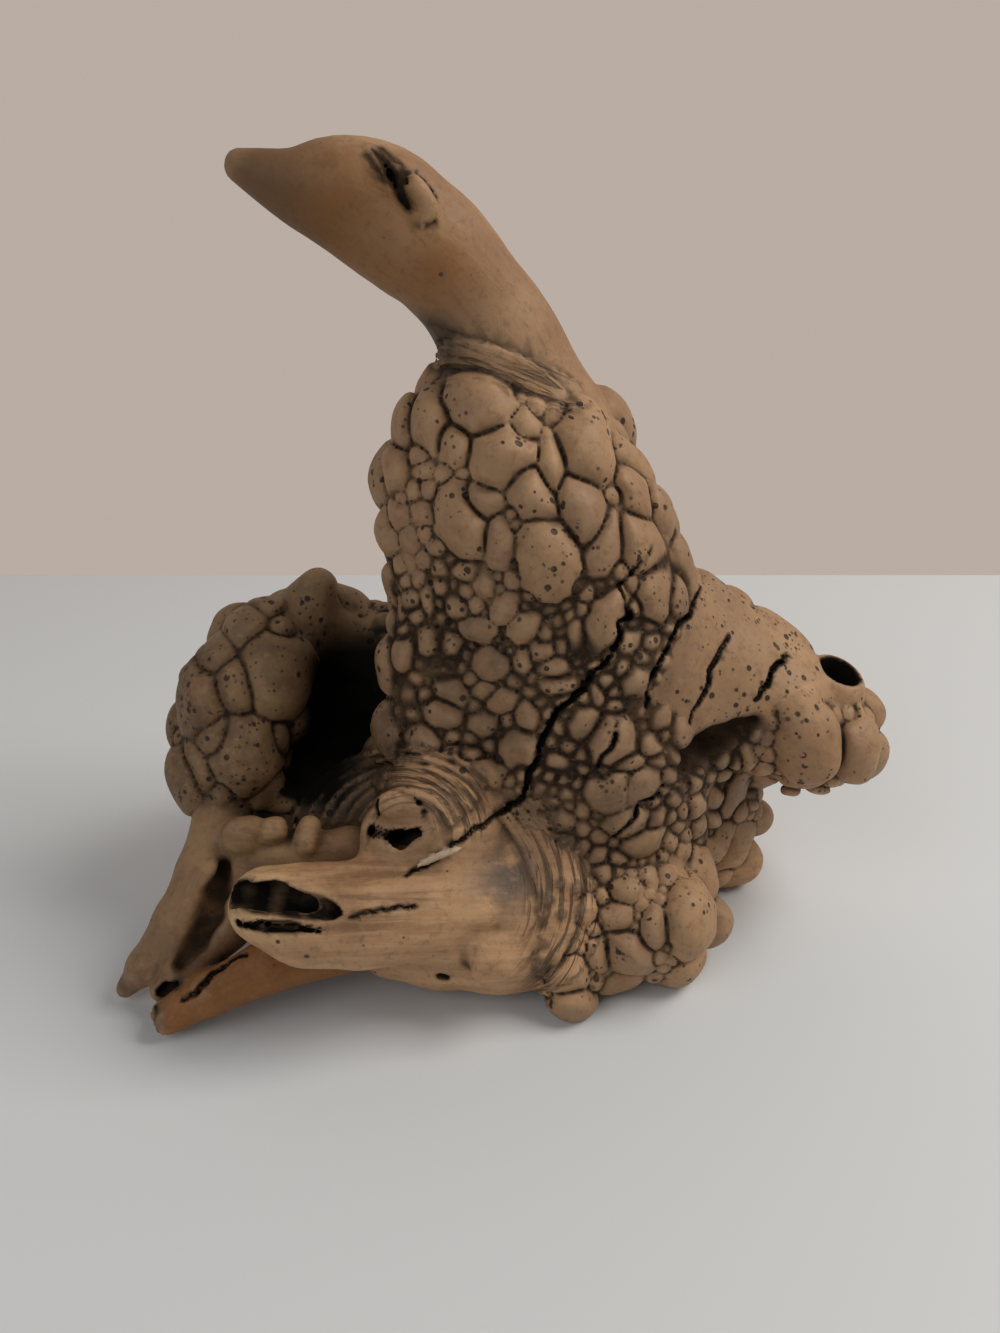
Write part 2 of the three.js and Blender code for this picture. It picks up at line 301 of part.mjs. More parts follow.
  [-21.7, 4.3, 28.5, 6.4, 5.4, 4.2, 76.1, 39.7, 106.1],
  [71, 6.8, 124.1, 6.3, 5.3, 4.2, -103.5, -51.9, 178.8],
  [95.3, -9.4, 58.1, 6.1, 5.6, 4.2, 7.1, 56.4, 165.5],
  [-29.7, -0.9, 78.7, 7.3, 6.6, 5, 96.1, -8.1, 177],
  [45.9, 66.1, 41.4, 6.1, 4.9, 3.9, -151.2, -20.3, 106.1],
  [-24, 14.1, 134.5, 6.9, 5, 4.2, 112.2, 7.4, 121.3],
  [-33.8, -10.5, 158.9, 6, 5.6, 4.2, 80.2, 6.9, 37.8],
  [-18.6, 30.2, 97.2, 6.7, 5.1, 4.2, 124.3, -55.3, 57.2],
  [-9.8, 69.8, 27.2, 6, 5.9, 4.3, -148.4, -7.5, 51.2],
  [36.6, 21.4, 165.2, 7.4, 7.1, 5.2, -129.5, -27.9, 137],
  [111.8, 20.6, 63.6, 6.3, 6.3, 4.5, -174.7, 23.5, 111.3],
  [-33.1, -12.2, 144.1, 6.9, 6.7, 4.9, 79.3, -5.2, 114.5],
  [8.5, 50.6, 122, 6.5, 4.8, 4, 160.7, -17.8, 76.1],
  [-50, 30.9, 11.4, 6.1, 5.5, 4.2, 2, 86.5, 56.6],
  [-29.6, 72.3, 23.9, 6.2, 4.8, 3.9, 161.1, 0.3, 149.1],
  [87.1, 29.9, 81.2, 6.2, 5.5, 4.2, -174.9, 5.4, 92.9],
  [98.3, 15.2, 25.3, 6.2, 5.4, 4.2, -128.9, -9.3, 155.3],
  [-2.1, 63.4, 33.4, 6.3, 4.8, 3.9, -141.7, -2.6, 34.7],
  [97.7, 0.7, 54, 6.2, 6.1, 4.4, 35.8, 79.6, 71.3],
  [32.2, 66.7, 8.8, 6.1, 6, 4.4, 174.6, 42.5, 46.5],
  [81.2, 27.6, 104.2, 6.6, 6.1, 4.6, -156.7, -27.5, 55.2],
  [3.3, 52.3, 87.1, 6.8, 5, 4.2, 148.5, -9.4, 147],
  [127.7, 10.3, 80.4, 5.5, 5.3, 3.9, -119.6, -31.4, 129.9],
  [-41.6, 19.4, 17, 5.8, 4.7, 3.8, -28.5, 48.8, 89.9],
  [71.8, 31.5, 74.9, 5.4, 4.6, 3.6, -145.5, 9.8, 125.5],
  [110.7, -1.4, 50.9, 5.1, 4.5, 3.4, 33.9, 78.2, 74.9],
  [-93.4, -6.2, 49.1, 6, 5, 3.9, 90.6, 36.3, 83.3],
  [25.2, 70.6, 34.5, 5.2, 5, 3.7, 159.2, -17.7, 172.2],
  [-74.2, 8.6, 82.2, 4.9, 4.6, 3.4, -89, 12.1, 130.3],
  [-13.3, 34.7, 105.9, 5, 4.9, 3.6, 121.9, -0.2, 119.4],
  [68.3, 35.1, 42.6, 4.9, 4.7, 3.4, -114.9, 2.1, 5.4],
  [-23.3, -1.8, 198.1, 5, 4, 3.2, 91, -32.8, 59.2],
  [-99, 10.3, 103.2, 4.8, 4, 3.2, 101, -29.6, 118.7],
  [54.2, -2.3, 148.6, 5.6, 5, 3.8, -86.6, -23.4, 144.2],
  [13.8, 63.6, 22.9, 5.5, 4.9, 3.7, 129.7, 7.5, 116.3],
  [-1.7, 37.5, 144.5, 4.7, 4.5, 3.3, 156.4, -10.3, 105.3],
  [36.8, 52.8, 104.4, 5.3, 4.8, 3.6, -152.7, -11.9, 120.1],
  [-9.9, 38, 121.6, 4.8, 3.6, 3, 130.1, -10.5, 157.4],
  [-19.4, 20.1, 180.1, 4.9, 4.9, 3.5, 131.1, -18.1, 159.8],
  [-19.9, -15, 32.9, 5.6, 5.3, 3.9, 41.6, 69, 37],
  [-104.5, -10.1, 53.2, 6, 5.3, 4.1, 123.2, 34.5, 173.9],
  [-44.1, 57.8, 38.6, 5, 4, 3.2, 155.5, -15.8, 28.8],
  [33.7, 12.2, 181.1, 4.8, 3.5, 2.9, -111.5, -25.2, 28.5],
  [-49.2, 49.6, 62.3, 5.2, 4, 3.3, -133, -29, 25.6],
  [-35.6, -21.9, 85.3, 6, 5.2, 4, 78.6, -1.9, 103.6],
  [-28, 1.1, 110.6, 4.9, 3.8, 3.1, 127.6, 5.5, 31.2],
  [74.9, -14.7, 33.3, 5.1, 3.9, 3.2, -58.8, 14.5, 26],
  [-76.2, 54.3, 43.5, 5.5, 5, 3.8, 147.7, 27.6, 158.5],
  [63.9, 44.3, 44.1, 4.4, 4.1, 3.1, -118.2, -1.6, 170.5],
  [-45.8, 54.4, 16.4, 4.5, 3.9, 3, 123.8, 30.7, 93.7],
  [-9.1, 62, 8, 4.8, 4.7, 3.4, -133, 42.3, 15.9],
  [93.4, 6.9, 110.3, 4.5, 4.1, 3.1, -98.7, -47.9, 134.4],
  [34.4, 0, 183.5, 4.4, 4.3, 3.1, -86.7, -28.5, 3.9],
  [130.7, -6.4, 63.6, 4.8, 3.6, 3, -51.1, 16.8, 81.4],
  [-46.8, 42.2, 67.5, 4.7, 4.2, 3.2, -179, -7.9, 134.1],
  [-45, 10.1, 46.5, 4.3, 3.9, 3, 138.3, -44.8, 52.7],
];

// Cracks and slots: points on the surface [x, y, z] and the outward direction there.
const MAIN_CRACK = [
  [46.90, -24.82, 148.56, 0.72, -0.58, 0.37],
  [41.99, -31.19, 146.05, 0.61, -0.73, 0.32],
  [35.27, -37.25, 141.32, 0.44, -0.87, 0.23],
  [38.62, -36.72, 135.61, 0.48, -0.85, 0.22],
  [39.04, -37.95, 130.89, 0.45, -0.86, 0.25],
  [33.59, -42.53, 121.67, 0.26, -0.94, 0.23],
  [28.77, -44.69, 116.67, 0.14, -0.97, 0.19],
  [25.55, -46.06, 110.56, 0.06, -0.99, 0.12],
  [16.60, -46.17, 102.67, -0.15, -0.99, 0.06],
  [12.16, -46.66, 91.23, -0.28, -0.95, 0.16],
  [8.87, -47.41, 77.77, -0.35, -0.93, 0.06],
  [7.35, -46.87, 72.54, -0.38, -0.93, 0.00],
  [-1.59, -50.69, 67.11, 0.76, -0.58, 0.29],
  [-11.81, -60.16, 66.11, 0.39, -0.90, 0.18],
  [-19.87, -62.33, 62.02, -0.01, -0.99, 0.17],
  [-25.17, -64.32, 57.41, 0.05, -0.68, 0.73],
];
const MOUTH = [
  [-79.81, -77.18, 56.75, -0.69, -0.42, 0.58],
  [-70.60, -80.27, 58.46, 0.05, -0.68, 0.73],
  [-62.38, -80.46, 57.13, 0.07, -0.66, 0.75],
  [-53.57, -80.88, 54.86, 0.27, -0.69, 0.68],
  [-44.95, -79.99, 51.88, 0.17, -0.77, 0.61],
];
const SLIT = [
  [-76.08, -83.21, 51.16, -0.39, -0.91, 0.13],
  [-65.10, -84.66, 51.24, -0.07, -0.94, 0.34],
  [-54.00, -84.41, 49.91, 0.25, -0.90, 0.37],
];
const LEG_SPLIT = [
  [-79.79, -70.19, 28.24, -0.17, -0.54, 0.83],
  [-100.32, -78.83, 16.39, -0.33, -0.79, 0.51],
  [-107.13, -78.32, 13.82, -0.35, -0.52, 0.78],
];

// Openings: where they are and the way they face.
const KNOT = { at: [-26.4, -17.9, 248.8], pit: [-28.5, -20.5, 250.5], out: [0.42, -0.72, 0.55], tall: [-0.35, 0.45, 0.85] };
const SOCKET = { at: [-31, -58.5, 65.5], out: [-0.3, -0.85, 0.42] };
const TAIL_RING = { at: [118.6, 0, 89.2], out: [0.55, -0.25, 0.8] };

const wasm = await Module();
wasm.setup();

const V = (x, y, z) => new THREE.Vector3(x, y, z);

function solid(geometry) {
  const g = geometry.clone();
  g.deleteAttribute("normal");
  g.deleteAttribute("uv");
  const m = mergeVertices(g, 1e-4);
  const make = (idx) =>
    new wasm.Manifold(
      new wasm.Mesh({
        numProp: 3,
        vertProperties: new Float32Array(m.attributes.position.array),
        triVerts: idx,
      }),
    );
  const idx = new Uint32Array(m.index.array);
  const s = make(idx);
  if (s.volume() > 0) return s;
  for (let i = 0; i < idx.length; i += 3) [idx[i + 1], idx[i + 2]] = [idx[i + 2], idx[i + 1]];
  return make(idx);
}

// Right-handed axes with the third one along out and the second as near as can be to up.
function axesAlong(out, up = [0, 0, 1], roll = 0) {
  const w = V(...out).normalize();
  const u = V(0, 0, 0).crossVectors(V(...up), w).normalize();
  const v = V(0, 0, 0).crossVectors(w, u);
  const c = Math.cos(roll);
  const s = Math.sin(roll);
  return [u.clone().multiplyScalar(c).addScaledVector(v, -s), u.clone().multiplyScalar(s).addScaledVector(v, c), w];
}

const nodules = NODULES.map(([x, y, z, a, b, h, yaw, pitch, roll]) => {
  const cy = THREE.MathUtils.degToRad(yaw);
  const cp = THREE.MathUtils.degToRad(pitch);
  const out = [-Math.sin(cy) * Math.cos(cp), -Math.cos(cy) * Math.cos(cp), -Math.sin(cp)];
  const axes = axesAlong(out, [0, 0, 1], THREE.MathUtils.degToRad(roll));
  return { at: V(x, y, z), axes, half: [a, b, h], reach: Math.max(a, b, h) };
});

// How far the nodules lift the wood's surface at a point: each one is a dome over its own oval.
function lift(p) {
  let up = 0;
  for (const n of nodules) {
    const o = p.clone().sub(n.at);
    const depth = Math.abs(o.dot(n.axes[2]));
    if (depth > n.half[2] * 1.6) continue;
    const u = o.dot(n.axes[0]) / (n.half[0] * 1.12);
    const v = o.dot(n.axes[1]) / (n.half[1] * 1.12);
    const q = 1 - u * u - v * v;
    if (q > 0) up = Math.max(up, NODULE_RISE * n.half[2] * Math.pow(q, 0.8));
  }
  return up;
}

// Distance to a swelling between two stations: a cone with a ball at each end.
function swelling(p, a, b) {
  const ba = V(b[0] - a[0], b[1] - a[1], b[2] - a[2]);
  const pa = V(p.x - a[0], p.y - a[1], p.z - a[2]);
  const l2 = ba.lengthSq();
  const rr = a[3] - b[3];
  const a2 = l2 - rr * rr;
  if (a2 <= 0) return Math.min(pa.length() - a[3], p.distanceTo(V(b[0], b[1], b[2])) - b[3]);
  const y = pa.dot(ba);
  const z = y - l2;
  const x2 = pa.multiplyScalar(l2).addScaledVector(ba, -y).lengthSq();
  const y2 = y * y * l2;
  const z2 = z * z * l2;
  const k = Math.sign(rr) * rr * rr * x2;
  if (Math.sign(z) * a2 * z2 > k) return Math.sqrt(x2 + z2) / l2 - b[3];
  if (Math.sign(y) * a2 * y2 < k) return Math.sqrt(x2 + y2) / l2 - a[3];
  return (Math.sqrt((x2 * a2) / l2) + y * rr) / l2 - a[3];
}

function trunkDistance(p) {
  let d = 1e3;
  for (const { blend, stations } of Object.values(TRUNK)) {
    let own = 1e3;
    for (let i = 0; i + 1 < stations.length; i++) own = Math.min(own, swelling(p, stations[i], stations[i + 1]));
    const h = Math.max(blend - Math.abs(d - own), 0) / blend;
    d = Math.min(d, own) - (h * h * blend) / 4;
  }
  return d;
}

// The trunk: a sphere drawn out so that each of its points lies on the outermost surface of the swellings and nodules.
function trunkGeometry() {
  const g = new THREE.SphereGeometry(1, TRUNK_SIDES, TRUNK_RINGS + 1);
  const pos = g.attributes.position;
  const rings = TRUNK_RINGS + 1;
  for (let j = 0; j <= rings; j++) {
    const s = THREE.MathUtils.clamp((j - 1) / (TRUNK_RINGS - 1), 0, 1);
    const z = TRUNK_TOP_Z + (TRUNK_FOOT_Z - TRUNK_TOP_Z) * s;
    const f = THREE.MathUtils.clamp(z / TRUNK_TOP_Z, 0, 1);
    const mid = V(
      TRUNK_LINE.foot[0] * (1 - f) + TRUNK_LINE.top[0] * f,
      TRUNK_LINE.foot[1] * (1 - f) + TRUNK_LINE.top[1] * f,
      z,
    );
    for (let k = 0; k <= TRUNK_SIDES; k++) {
      const az = ((k % TRUNK_SIDES) / TRUNK_SIDES) * Math.PI * 2;
      const dir = V(Math.cos(az), Math.sin(az), 0);
      let r = 0;
      if (j > 0 && j < rings) {
        r = TRUNK_REACH;
        for (let n = 0; n < 80 && r > 4; n++) {
          const d = trunkDistance(mid.clone().addScaledVector(dir, r));
          if (d < 0.02) break;
          r -= d;
        }
        r += lift(mid.clone().addScaledVector(dir, r));
      }
      pos.setXYZ(j * (TRUNK_SIDES + 1) + k, mid.x + dir.x * r, mid.y + dir.y * r, z + (j === 0 ? 2 : j === rings ? -2 : 0));
    }
  }
  return g;
}

// A sphere bent along a limb's stations and swollen to their radii, with rounded ends and any nodules on it.
function limbGeometry(stations, sides, spans, knobbly = false) {
  const curve = new THREE.CatmullRomCurve3(stations.map((s) => V(s[0], s[1], s[2])), false, "centripetal");
  const body = (stations.length - 1) * spans;
  const frames = curve.computeFrenetFrames(body, false);
  const rings = body + 2 * CAP_RINGS;
  const g = new THREE.SphereGeometry(1, sides, rings);
  const pos = g.attributes.position;
  for (let j = 0; j <= rings; j++) {
    const i = THREE.MathUtils.clamp(j - CAP_RINGS, 0, body);
    const t = i / body;
    const s = t * (stations.length - 1);
    const a = Math.min(Math.floor(s), stations.length - 2);
    const w = s - a;
    const r = (stations[a][3] * (1 - w) + stations[a + 1][3] * w) * FACET_GAIN;
    const p = curve.getPoint(t);
    const cap = j < CAP_RINGS ? CAP_RINGS - j : j > rings - CAP_RINGS ? j - (rings - CAP_RINGS) : 0;
    const lat = (cap / CAP_RINGS) * (Math.PI / 2);
    const end = j < CAP_RINGS ? -1 : 1;
    const T = curve.getTangent(t);
    const B = V(0, 0, 0).crossVectors(T, frames.normals[i]).normalize();
    const N = V(0, 0, 0).crossVectors(B, T).normalize();
    for (let k = 0; k <= sides; k++) {
      const az = ((k % sides) / sides) * Math.PI * 2;
      const side = cap === CAP_RINGS ? 0 : Math.cos(lat);
      const dir = V(0, 0, 0)
        .addScaledVector(T, cap ? end * Math.sin(lat) : 0)
        .addScaledVector(N, side * Math.cos(az))
        .addScaledVector(B, side * Math.sin(az))
        .normalize();
      const far = knobbly ? r + lift(p.clone().addScaledVector(dir, r)) : r;
      pos.setXYZ(j * (sides + 1) + k, p.x + dir.x * far, p.y + dir.y * far, p.z + dir.z * far);
    }
  }
  return g;
}

function ellipsoid(at, half, axes, detail) {
  const m = new THREE.Matrix4().makeBasis(...axes.map((a, i) => a.clone().multiplyScalar(half[i])));
  m.setPosition(...at);
  return solid(new THREE.IcosahedronGeometry(1, detail).applyMatrix4(m));
}

function ring(at, axes, wide, long, thick) {
  const m = new THREE.Matrix4().makeBasis(
    axes[0].clone().multiplyScalar(wide),
    axes[1].clone().multiplyScalar(long),
    axes[2].clone().multiplyScalar(wide),
  );
  m.setPosition(...at);
  return solid(new THREE.TorusGeometry(1, thick / wide, 6, 16).applyMatrix4(m));
}

// A round-bottomed groove along a line on the surface, its middle lift above the surface.
function groove(line, lift, radius, sides, taper) {
  const n = line.length - 1;
  return solid(
    limbGeometry(
      line.map(([x, y, z, nx, ny, nz], i) => [
        x + nx * lift,
        y + ny * lift,
        z + nz * lift,
        radius * (1 - taper * Math.pow(Math.abs((2 * i) / n - 1), 3)),
      ]),
      sides,
      1,
    ),
  );
}

let wood = solid(trunkGeometry());
const KNOBBLY = {
  tail: [22, 3],
  lobe: [20, 4],
  footlobe: [18, 4],
  back1: [18, 4],
  back2: [18, 4],
  undertail: [14, 3],
  flange: [10, 2],
  foot: [12, 3],
};
for (const [name, { stations }] of Object.entries(LIMBS)) {
  const big = Math.max(...stations.map((s) => s[3]));
  const [sides, spans] = KNOBBLY[name] ?? [big > 14 ? 14 : 11, stations.length > 3 ? 1 : 2];
  wood = wood.add(solid(limbGeometry(stations, sides, spans, name in KNOBBLY)));
}

// The head's knot: a low swelling with an open gouge in it.
const knotAxes = axesAlong(KNOT.out, KNOT.tall);
wood = wood.add(ellipsoid(KNOT.at, KNOT_SWELL, knotAxes, 2));
wood = wood.subtract(ellipsoid(KNOT.pit, KNOT_PIT, knotAxes, 1));

// The tail's broken end: a ring round an open pit.
const tailAxes = axesAlong(TAIL_RING.out);
wood = wood.add(ring(TAIL_RING.at, tailAxes, TAIL_RING_RADIUS, TAIL_RING_RADIUS, TAIL_RING_THICK));
const tailPit = [TAIL_RING_RADIUS - 1.6, TAIL_RING_RADIUS - 2.6, TAIL_PIT_DEPTH];
wood = wood.subtract(ellipsoid(TAIL_RING.at, tailPit, tailAxes, 1));

// The socket over the root, the splits in the root and legs, and the crack up the trunk.
wood = wood.subtract(ellipsoid(SOCKET.at, SOCKET_PIT, axesAlong(SOCKET.out), 1));
wood = wood.subtract(groove(MOUTH, -2.5, MOUTH_HALF_HEIGHT, 8, 0.45));
wood = wood.subtract(groove(SLIT, -1.2, SLIT_HALF_HEIGHT, 6, 0.4));
wood = wood.subtract(groove(LEG_SPLIT, -0.8, SPLIT_HALF_WIDTH, 6, 0.5));
wood = wood.subtract(groove(MAIN_CRACK, 0.6, CRACK_HALF_WIDTH + 1.6, 5, 0.6));

// The feet, worn flat.
const below = new THREE.BoxGeometry(400, 400, 100);
below.translate(0, 0, FLOOR_Z - 50);
wood = wood.subtract(solid(below));

// The one grown body; the origin is on the floor under the middle of its box.
const [body] = wood.decompose().sort((a, b) => b.volume() - a.volume());
const got = body.getMesh();
const geometry = new THREE.BufferGeometry();
geometry.setAttribute("position", new THREE.BufferAttribute(new Float32Array(got.vertProperties), 3));
geometry.setIndex(new THREE.BufferAttribute(new Uint32Array(got.triVerts), 1));
geometry.computeBoundingBox();
const box = geometry.boundingBox;
geometry.translate(-(box.min.x + box.max.x) / 2, -(box.min.y + box.max.y) / 2, -box.min.z);
geometry.computeVertexNormals();

const mesh = new THREE.Mesh(
  geometry,
  new THREE.MeshStandardMaterial({ name: "burl_wood", color: 0x8c6e50, roughness: 0.75, metalness: 0 }),
);
mesh.name = "burl_wood";

const group = new THREE.Group();
group.name = "burl_wood_sculpture";
group.add(mesh);
export default group;
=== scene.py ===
# The burl wood sculpture as it looks: one grown piece of wood, its pebbles, wrinkles, cracks, pores and colour.
# Lengths in the tables are millimetres in the measuring frame; ORIGIN is the part's origin in that frame.
import math
import time
import bpy
import numpy as np
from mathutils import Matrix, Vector


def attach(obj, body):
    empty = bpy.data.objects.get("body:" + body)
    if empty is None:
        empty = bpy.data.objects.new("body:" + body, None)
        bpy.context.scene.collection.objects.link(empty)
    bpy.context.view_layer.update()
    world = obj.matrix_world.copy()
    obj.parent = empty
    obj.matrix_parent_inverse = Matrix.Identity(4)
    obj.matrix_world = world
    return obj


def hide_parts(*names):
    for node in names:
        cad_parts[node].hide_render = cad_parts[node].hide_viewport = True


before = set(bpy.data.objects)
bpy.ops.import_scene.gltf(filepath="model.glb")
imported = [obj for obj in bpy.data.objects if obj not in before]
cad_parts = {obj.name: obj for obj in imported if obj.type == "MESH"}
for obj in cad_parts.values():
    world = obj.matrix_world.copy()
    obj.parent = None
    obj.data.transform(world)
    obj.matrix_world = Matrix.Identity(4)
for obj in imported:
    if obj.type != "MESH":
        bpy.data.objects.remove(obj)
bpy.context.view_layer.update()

ORIGIN = np.array([4.8516, -3.4494, 0.0])
VOXEL = 0.85
TRIANGLES = 192000
SEED = 5
f32 = np.float32
T0 = time.time()


def tick(what):
    print("%-12s %.1f s" % (what, time.time() - T0), flush=True)


# Limbs: name, blend with its neighbours, kind of wood, stations (x, y, z, radius).
LIMBS = [
    ("neck", 5, "neck", [(-69.5, -18, 254.2, 4.6), (-62.9, -17, 251.8, 7), (-54.6, -15, 249, 10.1), (-44.2, -12, 247.2, 14.6), (-34.3, -8, 242.9, 17.2), (-25.7, -6, 236.3, 17.2), (-17.4, -4, 230, 16.8), (-8.3, -1, 218.9, 16.4), (-0.6, 2, 206.6, 18.3), (3.7, 4, 194.3, 20.9), (9.6, 4, 178, 23.9)]),
    ("trunk", 10, "burl", [(2.6, 2, 170.8, 26.3), (4.5, 0, 162.2, 33.5), (9.8, 0, 149.4, 38), (16.1, 0, 132, 41.5), (22.8, 0, 106.2, 44.9), (26.9, 0, 74.7, 49.5), (28.1, 2, 39.4, 50.6)]),
    ("trunkleft", 10, "burl", [(-15.5, -6, 176.6, 14.9), (-18.9, -8, 163.5, 15.1), (-18.7, -10, 139.2, 14.9), (-17.2, -14, 112.6, 17.2), (-16.3, -18, 84.6, 19.7), (-10.3, -22, 63.3, 20.7)]),
    ("tail", 10, "burl", [(52.6, 2, 97.6, 33.7), (71.1, 4, 90.7, 29.1), (92.1, 4, 79.9, 25.2), (113, 2, 70.3, 19.6), (124.3, 4, 66.2, 12.4)]),
    ("undertail", 8, "burl", [(58.9, 0, 51.6, 22.8), (81.4, 6, 39, 13.6), (94.3, 12, 24.5, 6.6)]),
    ("flange", 5, "bare", [(52.2, -8, 23.8, 12.7), (76.7, 0, 15.2, 9.2), (91.9, 6, 12.7, 5.8)]),
    ("footlobe", 8, "burl", [(31.4, -30, 35.5, 21), (48.2, -42, 22.4, 20.7), (61.6, -38, 17.9, 13.3)]),
    ("foot", 5, "burl", [(34, -48, 19.6, 13.6), (22.7, -62, 8.2, 7.3)]),
    ("jaw", 9, "bare", [(6.8, -45, 27.9, 25.1), (-14.6, -58, 38.3, 17.2), (-31.7, -65, 41.6, 14.6), (-43.9, -68, 42.8, 15.7), (-59.2, -70, 44.1, 14.9), (-71.3, -72, 49.6, 12.3)]),
    ("root", 9, "bare", [(-36, -56, 20.5, 11.3), (-20.1, -54, 18.7, 13.4), (-1.7, -54, 21.3, 16.1), (13.7, -42, 25.5, 22.7)]),
    ("collar", 9, "bare", [(16.7, -20, 57.9, 21.6), (12, -34, 44.7, 20.5), (4.1, -46, 30.8, 18.9)]),
    ("socket", 8, "bare", [(-19.7, -42, 62.4, 20.3), (-32.4, -48, 58.7, 13)]),
    ("lobe", 8, "burl", [(-84.9, 10, 99.7, 15), (-92.4, 0, 82.8, 18.5), (-95.2, -10, 68.2, 15.5), (-96.7, -20, 53.8, 9.8)]),
    ("peak", 6, "hollow", [(-77.4, 22, 96.2, 15.5), (-66.2, 26, 115.2, 7.3)]),
    ("ridge", 8, "hollow", [(-74.9, 28, 93.4, 14.2), (-59.1, 34, 90.7, 13), (-34.6, 34, 82.2, 19.2)]),
    ("backwall", 8, "hollow", [(-80, 24, 70.1, 15.2), (-66, 38, 53.7, 21.6), (-50.4, 32, 34, 24.2)]),
    ("cupfloor", 8, "hollow", [(-75.1, 4, 42.5, 16.5), (-56.8, -8, 39.4, 18.3), (-36.1, -10, 47.2, 21.7)]),
    ("cupleft", 8, "hollow", [(-90, 14, 56.2, 12.1), (-84.3, 8, 39.9, 15.2), (-77.6, -8, 31.9, 14)]),
    ("stem", 2.5, "bare", [(-97.3, -18, 52.5, 9.2), (-95.1, -26, 36.8, 8.5), (-84.5, -30, 21.6, 9.9), (-59.2, -38, 22.2, 13.9), (-24.3, -38, 24.4, 20.8)]),
    ("leg1", 3, "bare", [(-97.7, -26, 50.3, 7.6), (-99.2, -42, 39.4, 9.1), (-106.2, -54, 28.1, 8.3), (-117.6, -60, 14.6, 6), (-125.8, -60, 5, 3.4)]),
    ("leg2", 2.5, "bare", [(-53, -58, 21.8, 9.9), (-74.7, -66, 20.4, 8.4), (-93.4, -72, 14.5, 7.1), (-106.7, -76, 8.2, 5.8)]),
    ("midleg", 3, "bare", [(-88.9, -40, 32.4, 10.3), (-92.8, -52, 27.2, 10.4), (-103.6, -62, 16.4, 7.9), (-110.9, -67, 10.7, 3.9)]),
    ("ledge", 3, "bare", [(-91.5, -34, 46, 8.5), (-77, -38, 46.3, 7.4), (-60.8, -42, 46.8, 6.7), (-50.4, -40, 47, 8.1)]),
    ("under", 10, "burl", [(-15, -20, -3.9, 20.2), (26.8, -10, -5.1, 29.1), (59.5, 10, 3.5, 19.8)]),
    ("back1", 12, "burl", [(30, 20, 60, 40), (34, 48, 26, 27)]),
    ("back2", 12, "burl", [(-10, 25, 60, 34), (-22, 50, 24, 25)]),
    ("back3", 12, "burl", [(20, 20, 110, 36), (25, 38, 80, 24)]),
]

